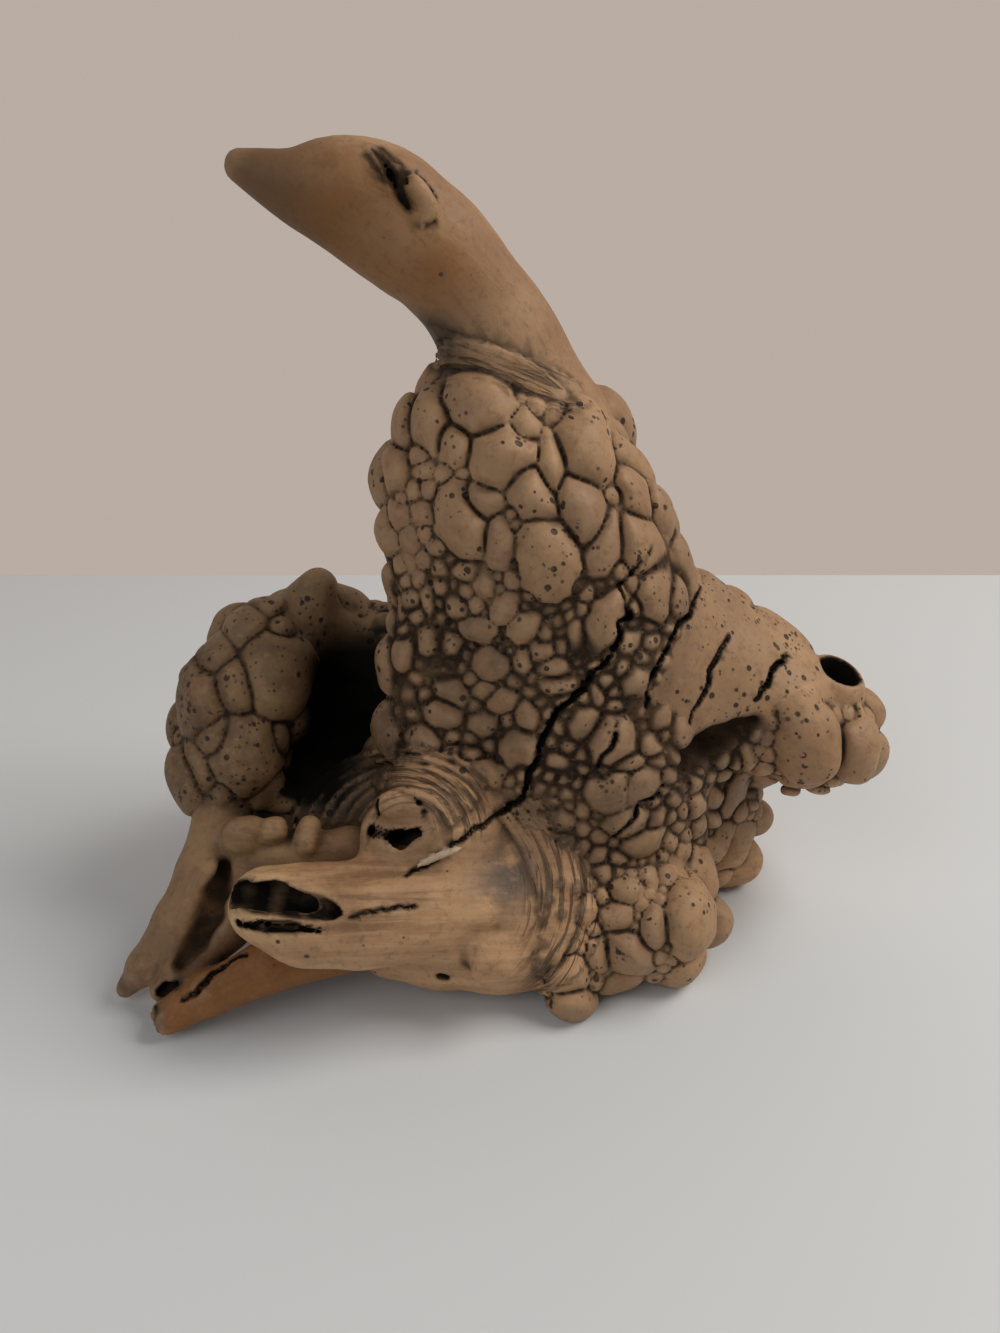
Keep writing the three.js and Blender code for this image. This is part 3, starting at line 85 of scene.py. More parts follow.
# Nodules: x, y, z, half length, half width, half height, yaw, pitch, roll.
NODULES = [
    (-6.8, -19.8, 190.5, 13.1, 8.6, 6.4, -1.3, -12.1, 20),
    (-19.8, -17.6, 187.1, 10.4, 6.9, 5.1, -3.6, -12.6, 80),
    (-29.1, -7.9, 183.4, 10.1, 4.2, 4.9, -5.2, -12.8, 95),
    (-13.7, -24.5, 180.8, 7.4, 5.1, 3.7, -2.6, -14, 75),
    (-32.1, -14.9, 171.2, 7.7, 4.8, 4.5, -5.8, -15.1, 80),
    (1, -29.6, 179.2, 11.3, 10.4, 6.5, 0.2, -14.5, 0),
    (6.3, -26.3, 185.2, 6.8, 5.1, 3.5, 1.2, -13.3, 70),
    (14.5, -31.1, 175.2, 9.6, 4.3, 3.9, 2.8, -15.3, 85),
    (25.6, -23, 179, 13.2, 8.6, 6.4, 4.8, -14.2, 80),
    (24.4, -33.7, 163, 11.4, 7.4, 5.5, 4.7, -17.6, 65),
    (9.2, -34.8, 168.8, 11.8, 6.8, 5.4, 1.8, -16.6, 62),
    (14.2, -39.6, 150.1, 13.1, 8, 6.2, 2.8, -20.2, 70),
    (-11.3, -32.2, 160.4, 11.5, 7.5, 5.6, -2.2, -18, 70),
    (-5.8, -33.6, 165.9, 6.8, 4.5, 3.3, -1.1, -17.1, 20),
    (-0.5, -37.6, 155.1, 8.2, 4.6, 3.7, -0.1, -19.2, 85),
    (30.6, -34.9, 153.6, 9.8, 5.2, 4.3, 5.9, -19.2, 105),
    (40.7, -18, 165.3, 9.3, 5, 5.1, 7.4, -16.2, 80),
    (39.5, -11.8, 172.5, 7.2, 4.2, 4.1, 7.1, -14.8, 60),
    (50.1, -9.2, 156.8, 8.6, 5.2, 5, 8.9, -17.1, 70),
    (41.8, -28.6, 150.9, 10, 6.5, 4.8, 7.9, -19.2, 60),
    (58.7, -8.7, 137.6, 10.7, 4, 4.9, 10.4, -20.1, 80),
    (47.1, -30.3, 135.8, 9.8, 6, 4.6, 8.9, -21.8, 80),
    (55.8, -23, 130.6, 8, 3.4, 3.1, 10.3, -22.1, 95),
    (-25.5, -24.1, 166.1, 2.8, 1.9, 1.6, -4.8, -16.5, 90),
    (-30.8, -19.7, 156.4, 4.8, 3.6, 2.5, -5.7, -17.9, 70),
    (-28.2, -22.4, 150.8, 5, 2.9, 2.3, -5.2, -19, 70),
    (-22.7, -26.4, 153.6, 2.8, 1.9, 1.6, -4.3, -18.8, 100),
    (-18.7, -29.1, 149.4, 3.3, 2.6, 1.8, -3.5, -19.6, 0),
    (-23, -26.6, 145.3, 2.9, 2.4, 1.6, -4.3, -20.2, 0),
    (-32, -19.4, 140.5, 3.1, 1.7, 1.7, -5.9, -20.5, 90),
    (-24.8, -26.3, 138.1, 2.7, 2.4, 1.6, -4.7, -21.3, 0),
    (-22.8, -27.3, 132.4, 7.3, 2.2, 2.4, -4.3, -22.3, 87),
    (-17.9, -29.9, 137.3, 3.3, 2.9, 1.9, -3.4, -21.7, 80),
    (-9, -34.7, 144.6, 5.8, 3.3, 2.6, -1.7, -20.8, 10),
    (-5.5, -36.6, 142.1, 5.8, 3.5, 2.7, -1.1, -21.4, 75),
    (-13.1, -32.3, 132, 4.5, 4.1, 2.6, -2.5, -22.8, 45),
    (-6.6, -36, 126.6, 7.4, 4.5, 3.5, -1.3, -23.9, 0),
    (1.5, -39.8, 135.4, 7, 4.2, 3.3, 0.3, -22.7, -45),
    (-22, -30.8, 119.2, 5.5, 5.5, 3.3, -4.2, -24.7, 0),
    (-16.1, -32.5, 119.4, 4.9, 5.1, 3, -3.1, -24.8, 0),
    (-30.9, -26.4, 113.6, 7.7, 4.5, 3.5, -5.8, -25.2, -50),
    (-3.1, -37.8, 115.6, 6.3, 5.5, 3.5, -0.6, -25.8, 20),
    (6.5, -41.8, 129.7, 7.2, 4.4, 3.4, 1.3, -23.8, -45),
    (2.5, -40.8, 124.6, 2.4, 1.9, 1.6, 0.5, -24.6, 0),
    (13.5, -43.1, 128.7, 4.4, 2.3, 1.9, 2.7, -24.1, 95),
    (13.1, -43.5, 122.8, 4.7, 4.2, 2.7, 2.6, -25.1, 0),
    (17.1, -44.5, 117.7, 5.9, 4.7, 3.2, 3.4, -26, 0),
    (18.2, -45.2, 113, 7.1, 4.3, 3.3, 3.7, -26.8, 0),
    (6.6, -42.1, 118.2, 5.3, 3, 2.4, 1.3, -25.7, 95),
    (25, -42.9, 126.9, 6.4, 4.7, 3.3, 5, -24.3, 70),
    (31, -40.8, 130.4, 12.9, 5.9, 5.2, 6.1, -23.5, -65),
    (39.6, -39.6, 123.2, 5.3, 3.3, 2.5, 7.8, -24.5, -60),
    (-5.2, -37.1, 105.9, 4.6, 3.2, 2.3, -1, -27.3, 0),
    (-15.8, -34, 104.9, 6.8, 4.4, 3.3, -3.1, -27.2, 40),
    (-17.9, -33.3, 109.9, 4.9, 2.5, 2.1, -3.4, -26.3, 0),
    (-18.6, -35.6, 96.8, 7.7, 5, 3.7, -3.6, -28.5, 20),
    (-29, -29.3, 100.7, 4.5, 2.8, 2.1, -5.5, -27.4, 70),
    (-42, 14.5, 76.5, 7.2, 4.3, 3.4, -6.9, -27.5, 80),
    (-40.6, 8.3, 65.9, 7.9, 4.6, 4.5, -6.8, -29.3, 80),
    (-24.1, -37.3, 87.4, 7.5, 5.3, 3.8, -4.7, -30, 55),
    (-4.8, -38.5, 94.8, 6.2, 4.7, 3.2, -0.9, -29.1, 10),
    (1, -40.9, 103.8, 6.1, 3.9, 2.9, 0.2, -27.9, -30),
    (8.3, -43.9, 100.7, 5.4, 4.2, 2.9, 1.7, -28.6, 50),
    (6.8, -44.5, 89.1, 7.4, 7.1, 4.3, 1.4, -30.4, -20),
    (-8, -40.8, 83.9, 4.5, 3.5, 2.4, -1.6, -30.9, 40),
    (-4.3, -42.5, 79.9, 7.5, 4.2, 3.4, -0.9, -31.6, 10),
    (6.9, -45.7, 82.5, 4.9, 2.5, 2.1, 1.4, -31.5, 80),
    (17.7, -48.4, 86.6, 4.4, 3.4, 2.3, 3.6, -31.1, 10),
    (26.7, -46.8, 99.4, 5.8, 6, 3.5, 5.4, -29, 0),
    (34.2, -46.8, 93.5, 9.1, 8.5, 5.3, 6.9, -29.8, -40),
    (46.6, -44.5, 89.7, 5.9, 3.9, 2.9, 9.3, -30, 40),
    (39.6, -47.9, 86.3, 7.9, 3.2, 3, 8, -30.9, 0),
    (49, -44.6, 84.3, 4.9, 3, 2.3, 9.8, -30.8, 0),
    (57.6, -37.9, 89.5, 5.6, 3.5, 2.7, 11.2, -29.4, 70),
    (32.3, -49.5, 83, 4.9, 2.9, 2.3, 6.6, -31.6, 90),
    (35.8, -49.9, 74.6, 4.9, 4.3, 2.8, 7.3, -32.9, 0),
    (44.4, -47.5, 77.4, 9.3, 4.9, 4.1, 8.9, -32.1, -50),
    (42.1, -41.8, 110.1, 7.4, 4.8, 3.6, 8.3, -26.8, -60),
    (30, -45.7, 108.7, 4.2, 2.1, 1.8, 6, -27.4, 70),
    (40.7, -43, 105.5, 4.1, 2.4, 1.9, 8.1, -27.6, 90),
    (20.2, -50, 65.9, 4.7, 3.7, 2.5, 4.1, -34.2, 40),
    (34.6, -49.8, 77.1, 9.2, 7.4, 4.9, 7, -32.5, 0),
    (39.6, -48.6, 65.5, 7.5, 5.6, 3.9, 8, -34, 0),
    (54.7, -41.7, 61.5, 3.8, 2.3, 1.8, 10.7, -33.7, 0),
    (65.8, -31.6, 60.1, 5.3, 3.7, 3.3, 12.4, -32.8, 60),
    (67.9, -28.8, 47.9, 3.8, 3.4, 2.7, 12.7, -34.1, 0),
    (75.1, -19, 44.7, 5.5, 2.8, 2.9, 13.6, -33.6, 20),
    (45.9, -45.3, 54.8, 7.9, 4.9, 3.7, 9.2, -35, -15),
    (55, -40.7, 51.5, 4.4, 3.1, 2.2, 10.8, -34.9, 30),
    (49.8, -44.8, 63.6, 4.4, 3.8, 2.5, 9.9, -33.7, 0),
    (40.8, -53.6, 41, 6.4, 4.5, 3.2, 8.4, -37.7, 0),
    (37.5, -58.2, 33, 6.4, 5.7, 3.6, 7.9, -39.2, 0),
    (41.4, -62.9, 22.6, 9.5, 8.3, 5.3, 8.8, -40.9, 30),
    (33.3, -62.4, 22.1, 5.7, 6.4, 3.6, 7.1, -41.1, 0),
    (49.6, -61.4, 32.3, 8.2, 4.8, 3.8, 10.5, -39.4, 85),
    (62.5, -56.4, 30.2, 14.7, 9.2, 7, 12.9, -38.9, 85),
    (26.3, -60.7, 37.1, 6.9, 4.4, 3.3, 5.6, -39.1, -65),
    (24.1, -63.6, 34.2, 4.4, 3.5, 2.4, 5.2, -39.8, 100),
    (18, -67, 34.3, 3.1, 2.5, 1.7, 3.9, -40.2, 0),
    (21.7, -66.6, 16.7, 8.3, 6.3, 4.3, 4.7, -42.3, -20),
    (17.6, -68.6, 25.5, 2.7, 2.2, 1.6, 3.9, -41.5, 0),
    (24.7, -67.6, 4.7, 9.2, 6.4, 5.8, 5.4, -43.7, 0),
    (104.4, -19.8, 77.2, 14.6, 11.3, 8.5, 18.6, -28.8, 80),
    (122.8, -16.3, 71.9, 12.1, 8.1, 8.5, 21.4, -28.8, 85),
    (99.3, -18.4, 66.4, 6.1, 3.8, 3.6, 17.7, -30.2, 80),
    (106, -15.4, 60.5, 9.6, 4.8, 5.1, 18.6, -30.6, -15),
    (103.3, -9.9, 50, 6.7, 3.7, 4.5, 17.9, -31.6, -20),
    (114.5, -10.1, 51.6, 5.6, 2.5, 3.4, 19.7, -31.2, 0),
    (85.2, -7.4, 49.9, 9.9, 4.5, 4, 14.8, -31.8, -70),
    (84.4, -20.8, 71.9, 10, 2.9, 3.2, 15.3, -30, 85),
    (81.9, -19.8, 69.9, 3.3, 4, 2.7, 14.8, -30.2, 0),
    (71.5, -25, 67.2, 3.2, 1.9, 1.8, 13.2, -31.2, 90),
    (94.2, -1.7, 39.6, 3.6, 2.2, 2.1, 16, -32.5, 0),
    (-76, -5.3, 94.7, 14.8, 12.8, 7, -13.2, -25.9, 60),
    (-89.5, -14.1, 96, 8.6, 7.2, 4.7, -15.8, -26.1, 80),
    (-102.4, -13.8, 92.6, 17.2, 6.6, 6.4, -17.9, -26.3, 95),
    (-86.1, -22.7, 73, 13.2, 11.3, 7, -15.7, -30, 30),
    (-78, -13, 73.3, 5.2, 4.9, 3, -13.8, -29.4, 0),
    (-96.6, -22.8, 79.6, 7.9, 5.9, 4.1, -17.5, -28.8, 60),
    (-99.5, -5.2, 101.1, 12, 6, 5.1, -17, -24.7, -40),
    (-89.1, 1.8, 111.1, 10.1, 6, 4.7, -15, -23, -50),
    (-84.2, 10.4, 114.3, 7.5, 4.1, 4.2, -13.9, -22.1, -15),
    (-101, -25.3, 70.7, 7.9, 3.3, 3.1, -18.3, -30.1, 75),
    (-101, 9, 63.4, 12.3, 11.5, 6, 108.5, 5.2, 140.5),
    (-89.6, 33.9, 75.8, 12.5, 12.3, 6, 134.3, -21.9, 129.3),
    (-30.4, -0.4, 124, 13.2, 9.6, 6, 118.4, 3.4, 16.3),
    (-23.1, 54.2, 73.9, 13.4, 12.2, 6, 172.4, -13.8, 172.9),
    (-36.5, -22.4, 82.6, 12.9, 10.4, 6, 77.7, 5.5, 148.5),
    (-12.9, 68.8, 40.7, 13.6, 11.1, 6, -165.6, -18.1, 71.9),
    (36.7, 72.8, 35.4, 10.5, 9.8, 5.9, -173.7, -20.4, 158.1),
    (-72.5, 43.8, 76.1, 11.4, 9.5, 6, 161.8, -55.1, 146.6),
    (93.3, 29.8, 88.1, 11.9, 10.3, 3, -166.6, -12, 21.8),
    (59.2, 31, 119.8, 12.1, 9, 3, -133.8, -24.4, 152.1),
    (-59.5, 40.2, 103.4, 10.3, 8.9, 5.5, -178.4, -62.7, 155.5),
    (-34.3, 70.5, 17.8, 10.6, 9.9, 5.9, 149.1, 14.6, 28.1),
    (-51.9, 38.1, 10.9, 12.5, 11.9, 6, 144.5, 75.2, 2),
    (-39.6, 9, 30.1, 13.6, 13.4, 6, -36.2, 48.9, 86.5),
    (18.1, 38.7, 153.8, 10.5, 9.7, 5.8, -171.4, -16.5, 85.8),
    (41.6, 49, 115.1, 11.9, 10.9, 3, -146.7, -10.1, 45.7),
    (100.2, 14.2, 24, 10.9, 9.3, 5.9, -109.9, 4.5, 59.5),
    (55.8, 52.7, 59.9, 10.9, 8.3, 5.5, -137.5, -13.4, 46.1),
    (-21.2, 20.7, 172.8, 12.6, 9.4, 6, 128.9, -17.8, 177.9),
    (3.3, 47.2, 13.3, 11.7, 9.6, 6, -136, 64.7, 38.6),
    (74.4, -38.9, 16.3, 11.4, 10.2, 6, -86, 7, 48.6),
    (45.6, 16.3, 160, 10.9, 9.6, 3, -116.8, -29.1, 94.1),
    (2.7, 57, 69.5, 13.1, 10.1, 6, 172.3, -7.2, 9.4),
    (-25, 3.8, 98, 12.4, 9.1, 6, 120.9, 2.6, 128.6),
    (-100.8, 17.9, 84.7, 11.1, 10.9, 6, 151.4, -0.4, 51.5),
    (76.1, 13.4, 20.3, 13.3, 11.8, 6, -125.1, -4.4, 140),
    (-32.4, 45.3, 97.2, 13.4, 10.8, 6, -169, -52.4, 55.5),
    (38.8, 60.1, 73.7, 10.8, 9.2, 5.8, -157.9, -2.8, 133.1),
    (5.3, 53.2, 103.8, 12.5, 11.3, 6, 152, -3, 24),
    (-68.7, 31.6, 18.7, 13, 12.7, 6, 88.7, 39.9, 69.4),
    (-109.6, -16.4, 61.1, 11.5, 11.1, 6, 73, 15.4, 98.1),
    (22.5, 49.7, 131, 12.1, 11.9, 6, -175.2, -28.6, 139.6),
    (-55.5, 51.6, 68.7, 11.3, 9.9, 6, -142.3, -41.2, 49.9),
    (57.1, 58.2, 38.9, 12.2, 11.7, 6, -124.7, -10, 85.2),
    (109.5, 21.5, 90.1, 10.4, 9, 2.8, -138.6, -25.1, 95.6),
    (-38.3, 59.9, 43.9, 11.9, 8.6, 5.9, 143.7, -24.3, 55.7),
    (-8.2, 34.8, 152.3, 13.3, 11, 6, 153.3, -2.8, 43.3),
    (82.9, 14.7, 116.9, 10.3, 7.9, 2.6, -128.3, -55.3, 54.7),
    (59.2, 51.6, 18, 10.6, 8.9, 5.6, -98.7, 17.6, 51.7),
    (-12.2, 44.7, 89.2, 10.7, 9.6, 5.9, 171.7, -41.7, 126.7),
    (78, 28.7, 72.3, 11.6, 9.9, 6, -169.6, 25.8, 31.1),
    (-33.1, -7.7, 71, 11.5, 11.4, 6, 98, -34.4, 23.9),
    (-61.8, 47.8, 88.9, 10.6, 10.1, 6, 165.8, 6.2, 159.2),
    (-50.8, 56.3, 26.2, 12.5, 10.6, 6, 151.2, 12.1, 21.1),
    (64.6, 34, 21, 11.7, 9.3, 6, -114.8, 22.2, 82.7),
    (103.7, 24.7, 66.7, 11.7, 9.3, 6, -164.4, 25.6, 152.4),
    (-19.7, 19, 17.2, 10.3, 9.4, 5.7, 45.4, 50.7, 96.5),
    (-62.8, 59.4, 45.5, 13.6, 11.3, 6, -176.6, 14.7, 22),
    (129, 16.1, 66.1, 12.9, 10.7, 6, -145.3, 5.8, 18.2),
    (5.4, 35.8, 166.5, 11.1, 9.8, 6, 176.4, -18.2, 21.8),
    (59.8, 14.6, 133.4, 12.5, 10.2, 3, -113.5, -36, 170.6),
    (14.4, 62.5, 45.9, 12, 10, 6, 151.1, -11.8, 39.4),
    (-55.3, 18.9, 14.7, 12.4, 9.7, 6, 20.4, 54, 2.4),
    (-8.6, 38.3, 128.6, 12.6, 11.4, 6, 135.7, -12.8, 43.2),
    (33.7, 69.8, 10.6, 12.3, 9, 6, 179.1, 35.3, 14.8),
    (-68.4, 14.6, 27.2, 10.8, 8.2, 5.5, 87.3, 80.2, 112.5),
    (-17.9, -11.1, 23.2, 13.7, 10, 6, 75.7, 13.4, 27.9),
    (-18.5, 26.6, 112.6, 11.4, 9.4, 6, 112.9, 0.1, 39.8),
    (23.7, 29.9, 172.3, 11.2, 9.3, 5.9, -152.4, -21.5, 116.6),
    (84.6, 15.9, 51.7, 12.2, 10.4, 6, -149.8, -20, 45),
    (-79.3, 26.7, 35.1, 13.1, 10.4, 6, 113.8, 45.6, 87.4),
    (-13.3, 4.7, 9.4, 10.7, 10.1, 6, 110.8, 20.9, 122.1),
    (-34, 28.3, 12, 11, 9.5, 5.9, 0.1, 56.6, 25.3),
    (69.9, 33.9, 48.3, 11, 9.3, 5.9, -114.7, 0.2, 168.8),
    (64.1, -21, 11.4, 12.3, 11.8, 6, -72.5, 32, 144),
    (66.3, 34.2, 101.2, 12.8, 9.7, 3, -165.8, -14.4, 176.3),
    (-86.3, 46.7, 48, 10.9, 7.8, 5.3, 113.3, 14.5, 60.3),
    (-70.1, 46.5, 27.8, 10.5, 8.7, 5.5, 130.6, 33.2, 3.5),
    (35, 66.2, 51.6, 12.2, 12, 6, -174.9, -22.6, 101.1),
    (-80, 39.6, 101.3, 10.6, 7.7, 5.2, 162.1, -26.1, 141.2),
    (133.2, -3.1, 61.2, 12.6, 11.8, 6, -57.5, 24.1, 67.6),
    (36.8, 37.3, 143.1, 11.6, 11.5, 6, -147.3, -27.9, 42.6),
    (-35, -13.9, 103.1, 13.4, 9.6, 6, 93.8, 5, 157.5),
    (22.4, 62.1, 68.5, 10.4, 7.8, 5.2, 171.3, 3.7, 171.6),
    (-31.4, 3.7, 143.3, 12.6, 9.6, 6, 115.7, 3.3, 83.7),
    (93.4, 2.6, 8.6, 11.9, 9.3, 6, -33.2, 48.2, 150),
    (-6.6, 27.9, 9.5, 13, 10.2, 6, 104.5, 72.1, 78),
    (98.6, 13.2, 105.6, 13.7, 11.1, 3, -121, -50.1, 111.7),
    (-43, 51.2, 81.1, 10.4, 9.1, 5.6, 162.5, 6.9, 60.4),
    (1.7, 61.9, 30.3, 10.4, 7.9, 5.3, -146.3, 4.6, 2.4),
    (16.1, 65.3, 16.5, 11.1, 8.8, 5.7, 134, 20.9, 75.7),
    (-6, 66.7, 15.4, 12.9, 9.5, 6, -136.2, 20.4, 5),
    (47.8, 52.3, 85.4, 10.8, 8.9, 2.8, -139.7, -15.3, 111.7),
    (76.2, -12.7, 30.7, 12, 9.5, 6, -58.8, 19.5, 6.7),
    (-86.5, -1.6, 58.6, 11.9, 10.7, 6, -105.9, 22.7, 154.3),
    (111.7, 8.8, 50.7, 11.3, 10.3, 6, 169.1, 70.6, 150.7),
    (62.9, 40.9, 76.7, 12.1, 11.5, 6, -134.6, -12, 157.1),
    (37.2, 11.9, 176.7, 13.7, 10.2, 6, -110.2, -26.6, 67.7),
    (68.1, -32.4, 31.4, 11.3, 8.4, 5.7, -88.7, -20.2, 115.9),
    (54.4, 37.8, 7.6, 10.7, 8.3, 5.5, -107.3, 43.8, 65.9),
    (-34.6, -0.5, 163.7, 13.3, 12.8, 6, 106.6, -2, 49),
    (25, 56.9, 106.7, 10.3, 8.4, 5.4, -174.2, -11.5, 123.4),
    (-40.2, 49.5, 59.4, 11.9, 8.8, 5.9, 155, -26.3, 137.5),
    (-75.2, 2.6, 73.3, 10.8, 8.5, 5.6, -93.2, 27.2, 2.5),
    (-23.4, 17.1, 130.5, 12.5, 10.8, 6, 114.2, 7.8, 112.8),
    (-97.2, 17.4, 102.8, 11, 9.2, 5.9, 122, -15.2, 69.4),
    (-4.3, 29.2, 180.4, 11.9, 8.6, 5.9, 160.1, -21.7, 29.8),
    (-22.9, 22.3, 155.6, 10.7, 10.1, 6, 126.3, -0.7, 54.3),
    (49.6, 25.4, 142.2, 10.5, 7.6, 2.6, -124.2, -21.9, 78.5),
    (-75.1, 56.7, 63, 13.5, 11.4, 6, 153.9, -24, 125.5),
    (-24.1, 62.3, 55.1, 11, 10.3, 6, 161.9, -25.9, 59.8),
    (-8.7, 42.5, 109.7, 11.2, 9.8, 6, 132.1, 0.1, 164.7),
    (-90.8, 31.6, 56.5, 11.1, 9.1, 5.8, 103.1, 15.4, 147.9),
    (7.1, 43.4, 139.5, 11.7, 10.7, 6, 163.7, -23.6, 171.1),
    (-111.1, -1.7, 73.2, 11.3, 11.2, 6, 101, 7, 17.9),
    (55.1, 4, 149.2, 11.1, 8.2, 2.8, -95.9, -23.5, 133.2),
    (-39.1, 58.2, 8.2, 10.4, 10.3, 6, 115.6, 39.9, 113),
    (18.1, 60.7, 85.5, 12, 11.6, 6, 165.7, -10.5, 33.9),
    (-60.3, 10.9, 45.4, 13.3, 12.1, 6, -143.5, -37, 142.1),
    (35.2, 29.6, 158.6, 10.3, 8.4, 5.4, -142.6, -24.4, 21.4),
    (6.4, 50.8, 122.9, 11.4, 10.8, 6, 157.9, -18.3, 5.8),
    (84.8, 27.9, 103.6, 11.2, 9.3, 3, -151.2, -25.8, 22.7),
    (61, -52, 7.7, 13.6, 10.9, 6, -46.5, 42.9, 66.3),
    (51.3, 67.7, 21.2, 11.4, 9.2, 5.9, -138.7, 10.4, 83.1),
    (-47.7, 32.4, 68.9, 11.9, 11, 6, 68.1, 32.1, 114.8),
    (76.2, 22.6, 36.9, 11, 9.4, 5.9, -146.3, 9.8, 100.2),
    (88, -0.3, 26, 10.9, 9.1, 5.8, -25.1, 41, 27.1),
    (64.7, 43.3, 33.4, 8.4, 7.7, 4.7, -112.8, 7.7, 100.4),
    (94.9, 13.6, 39.2, 9.6, 9.3, 5.5, -120.5, -15.3, 41.1),
    (-28.3, 72.8, 31.4, 8.8, 6.5, 4.4, 164.6, -17.3, 23.1),
    (-18.7, 31.4, 98.1, 8.6, 7.2, 4.6, 128.6, -53.3, 69.7),
    (38, -58.2, 8.4, 8.6, 7.5, 4.7, -21.8, 45.7, 95.6),
    (47, 38.1, 129.9, 8.9, 7.9, 2.4, -133.5, -25.6, 68.9),
    (-100.4, -3.9, 52.8, 8.4, 6.3, 4.2, 131.9, 54.2, 71.1),
    (45.6, 0.9, 166.5, 8.3, 7.1, 2.2, -91.4, -31.9, 128.1),
    (-7.9, 61.9, 57.5, 8.6, 8, 4.8, -167.5, -18.8, 51.3),
    (2.7, 53.3, 87.3, 9.7, 8.6, 5.3, 148.5, -9.4, 51.3),
    (72.6, 6.3, 124.7, 9.8, 8.6, 2.7, -102, -53.5, 104.6),
    (-19, 13, 187.8, 8.6, 7.6, 4.7, 121.1, -19.9, 164.3),
    (-23.5, 68.1, 7.2, 8.4, 6.9, 4.4, 175.3, 42.7, 38.3),
    (116.7, 22.1, 76.5, 8.4, 8.3, 4.8, -158.5, -11.7, 21.5),
    (-33.2, -5.8, 86.8, 9, 7.8, 4.9, 124.5, -2.2, 49.9),
    (32.5, 58.7, 92.8, 8.7, 6.3, 4.3, -163.3, -14.5, 166.2),
    (-22.5, 6.3, 26.7, 8.9, 8.6, 5.1, 72.4, 35.4, 11.7),
    (-34.2, -11.9, 150.3, 8.5, 8.2, 4.8, 78.6, -1.6, 6),
    (18.9, 69.4, 31.6, 8.4, 7.8, 4.7, 145.1, -11.4, 104.4),
    (133.8, 3.7, 75.6, 9, 8.5, 5.1, -92.4, -26.4, 59.4),
    (95.1, 3.8, 52.1, 8.4, 8.1, 4.8, -81.7, 71.1, 121.1),
    (70.4, 18.4, 121.5, 7.2, 6.9, 2, -132.7, -45.5, 144.2),
    (48.6, 62, 8.4, 7.2, 6, 3.8, -133.8, 41, 114.5),
    (-21.4, 0.9, 192.8, 6.9, 5.1, 3.5, 99.1, -34.3, 80.3),
    (-19.3, 74.2, 19.3, 7.5, 6.2, 3.9, -173.7, 10.8, 66.1),
    (78.3, 33.7, 90.6, 7.6, 6.7, 2.1, -167.6, -0.3, 154.6),
    (-26.9, 5.8, 181.6, 7, 6.9, 4, 118.9, -23.1, 161.3),
    (11.5, 31.8, 178.4, 7.1, 5.9, 3.7, -171.9, -19.3, 157.6),
    (-34.7, -26, 67.7, 7, 6.5, 3.9, 92.7, -19.5, 86.6),
    (-109.7, 6.7, 89.6, 7, 6.2, 3.8, 111, -20, 2.2),
    (-56.1, 6.8, 24.7, 8.2, 7.1, 4.4, -179.8, 80.3, 158.9),
    (-87.5, 43.6, 62.5, 7.6, 7.1, 4.3, 117.1, -12.9, 58.5),
    (43.2, 51.4, 99.5, 8.2, 6.7, 2.1, -143.1, -12.5, 135.5),
    (-24, 9.6, 112.8, 7.7, 7.3, 4.4, 111.4, 4.7, 81.1),
    (-34.5, -12.2, 133, 6.9, 5.4, 3.6, 83.8, 6.4, 83.9),
    (68.6, 36.2, 63.8, 7, 5.9, 3.7, -122.4, -1.1, 117.8),
    (-18.7, 26.8, 143.4, 7.5, 5.6, 3.7, 132, 3.1, 47),
    (-48.7, 46.3, 96.7, 8, 6.6, 4.2, -176.4, -37, 56.2),
    (73.2, 26.3, 113, 7.7, 6.6, 2.1, -159, -38.7, 154.4),
    (74.8, 24.6, 58.6, 7.2, 6.1, 3.9, -121, 6.9, 76),
    (37.2, 45.6, 130.2, 6.8, 5.9, 3.7, -150.3, -27.5, 57.8),
    (50.5, 53.7, 71.8, 6, 5.9, 3.5, -143.7, -8.8, 102.8),
    (46.5, 67.1, 41.8, 6.7, 5.5, 3.5, -151.2, -20.3, 80.2),
    (89.6, 18.9, 29.2, 6, 5.8, 3.4, -176.4, 7.2, 92.5),
    (-77.4, 55.3, 44, 6.3, 5.3, 3.3, 146.6, 25.1, 131.9),
    (-8.3, 52.9, 79.4, 5.5, 5.3, 3.1, 179.2, -31.9, 138.2),
    (104.6, 27.6, 80.1, 5.9, 5.9, 1.7, -154.9, -1.8, 13.9),
    (-95.6, 23.3, 68.2, 6, 6, 3.5, 102.4, -7.2, 85.6),
    (99.1, 15.2, 55.7, 6.3, 6.3, 3.6, 176.8, 59.9, 134.4),
    (14.2, 54.1, 8.9, 5.9, 4.5, 3, 109, 39.8, 165.5),
    (30.8, 61.9, 82.7, 5.5, 5.2, 3.1, -169.4, -10.4, 113.1),
    (-21.1, 18.5, 100.9, 5.6, 5.5, 3.2, 101.4, -5, 38.1),
    (-73.4, 43.2, 91.1, 6.3, 5.3, 3.4, 159, 5.4, 38.3),
    (0.9, 62, 44.1, 5.4, 4.1, 2.7, -156.5, -6.9, 12.3),
    (-53.6, 57.2, 56.4, 5.7, 5.7, 3.3, -150.1, -10, 118.5),
    (26.9, 73.9, 26.7, 5.5, 5.2, 3.1, 164.7, -1.4, 61.6),
    (120.5, -1.9, 51.2, 5.9, 4.8, 3.1, -60.6, 66.9, 107.4),
    (111.6, 19.1, 58.2, 5.5, 4, 2.7, -179.8, 37, 126.9),
    (24.5, 42.6, 143, 5.9, 4.3, 2.9, -168.3, -29.2, 138.9),
    (63.6, 45.4, 53.5, 5.7, 4.6, 3, -123.5, -5.8, 49.3),
    (-83, -15.8, 57.2, 7.3, 7.2, 4.2, -74.9, 29.3, 127.6),
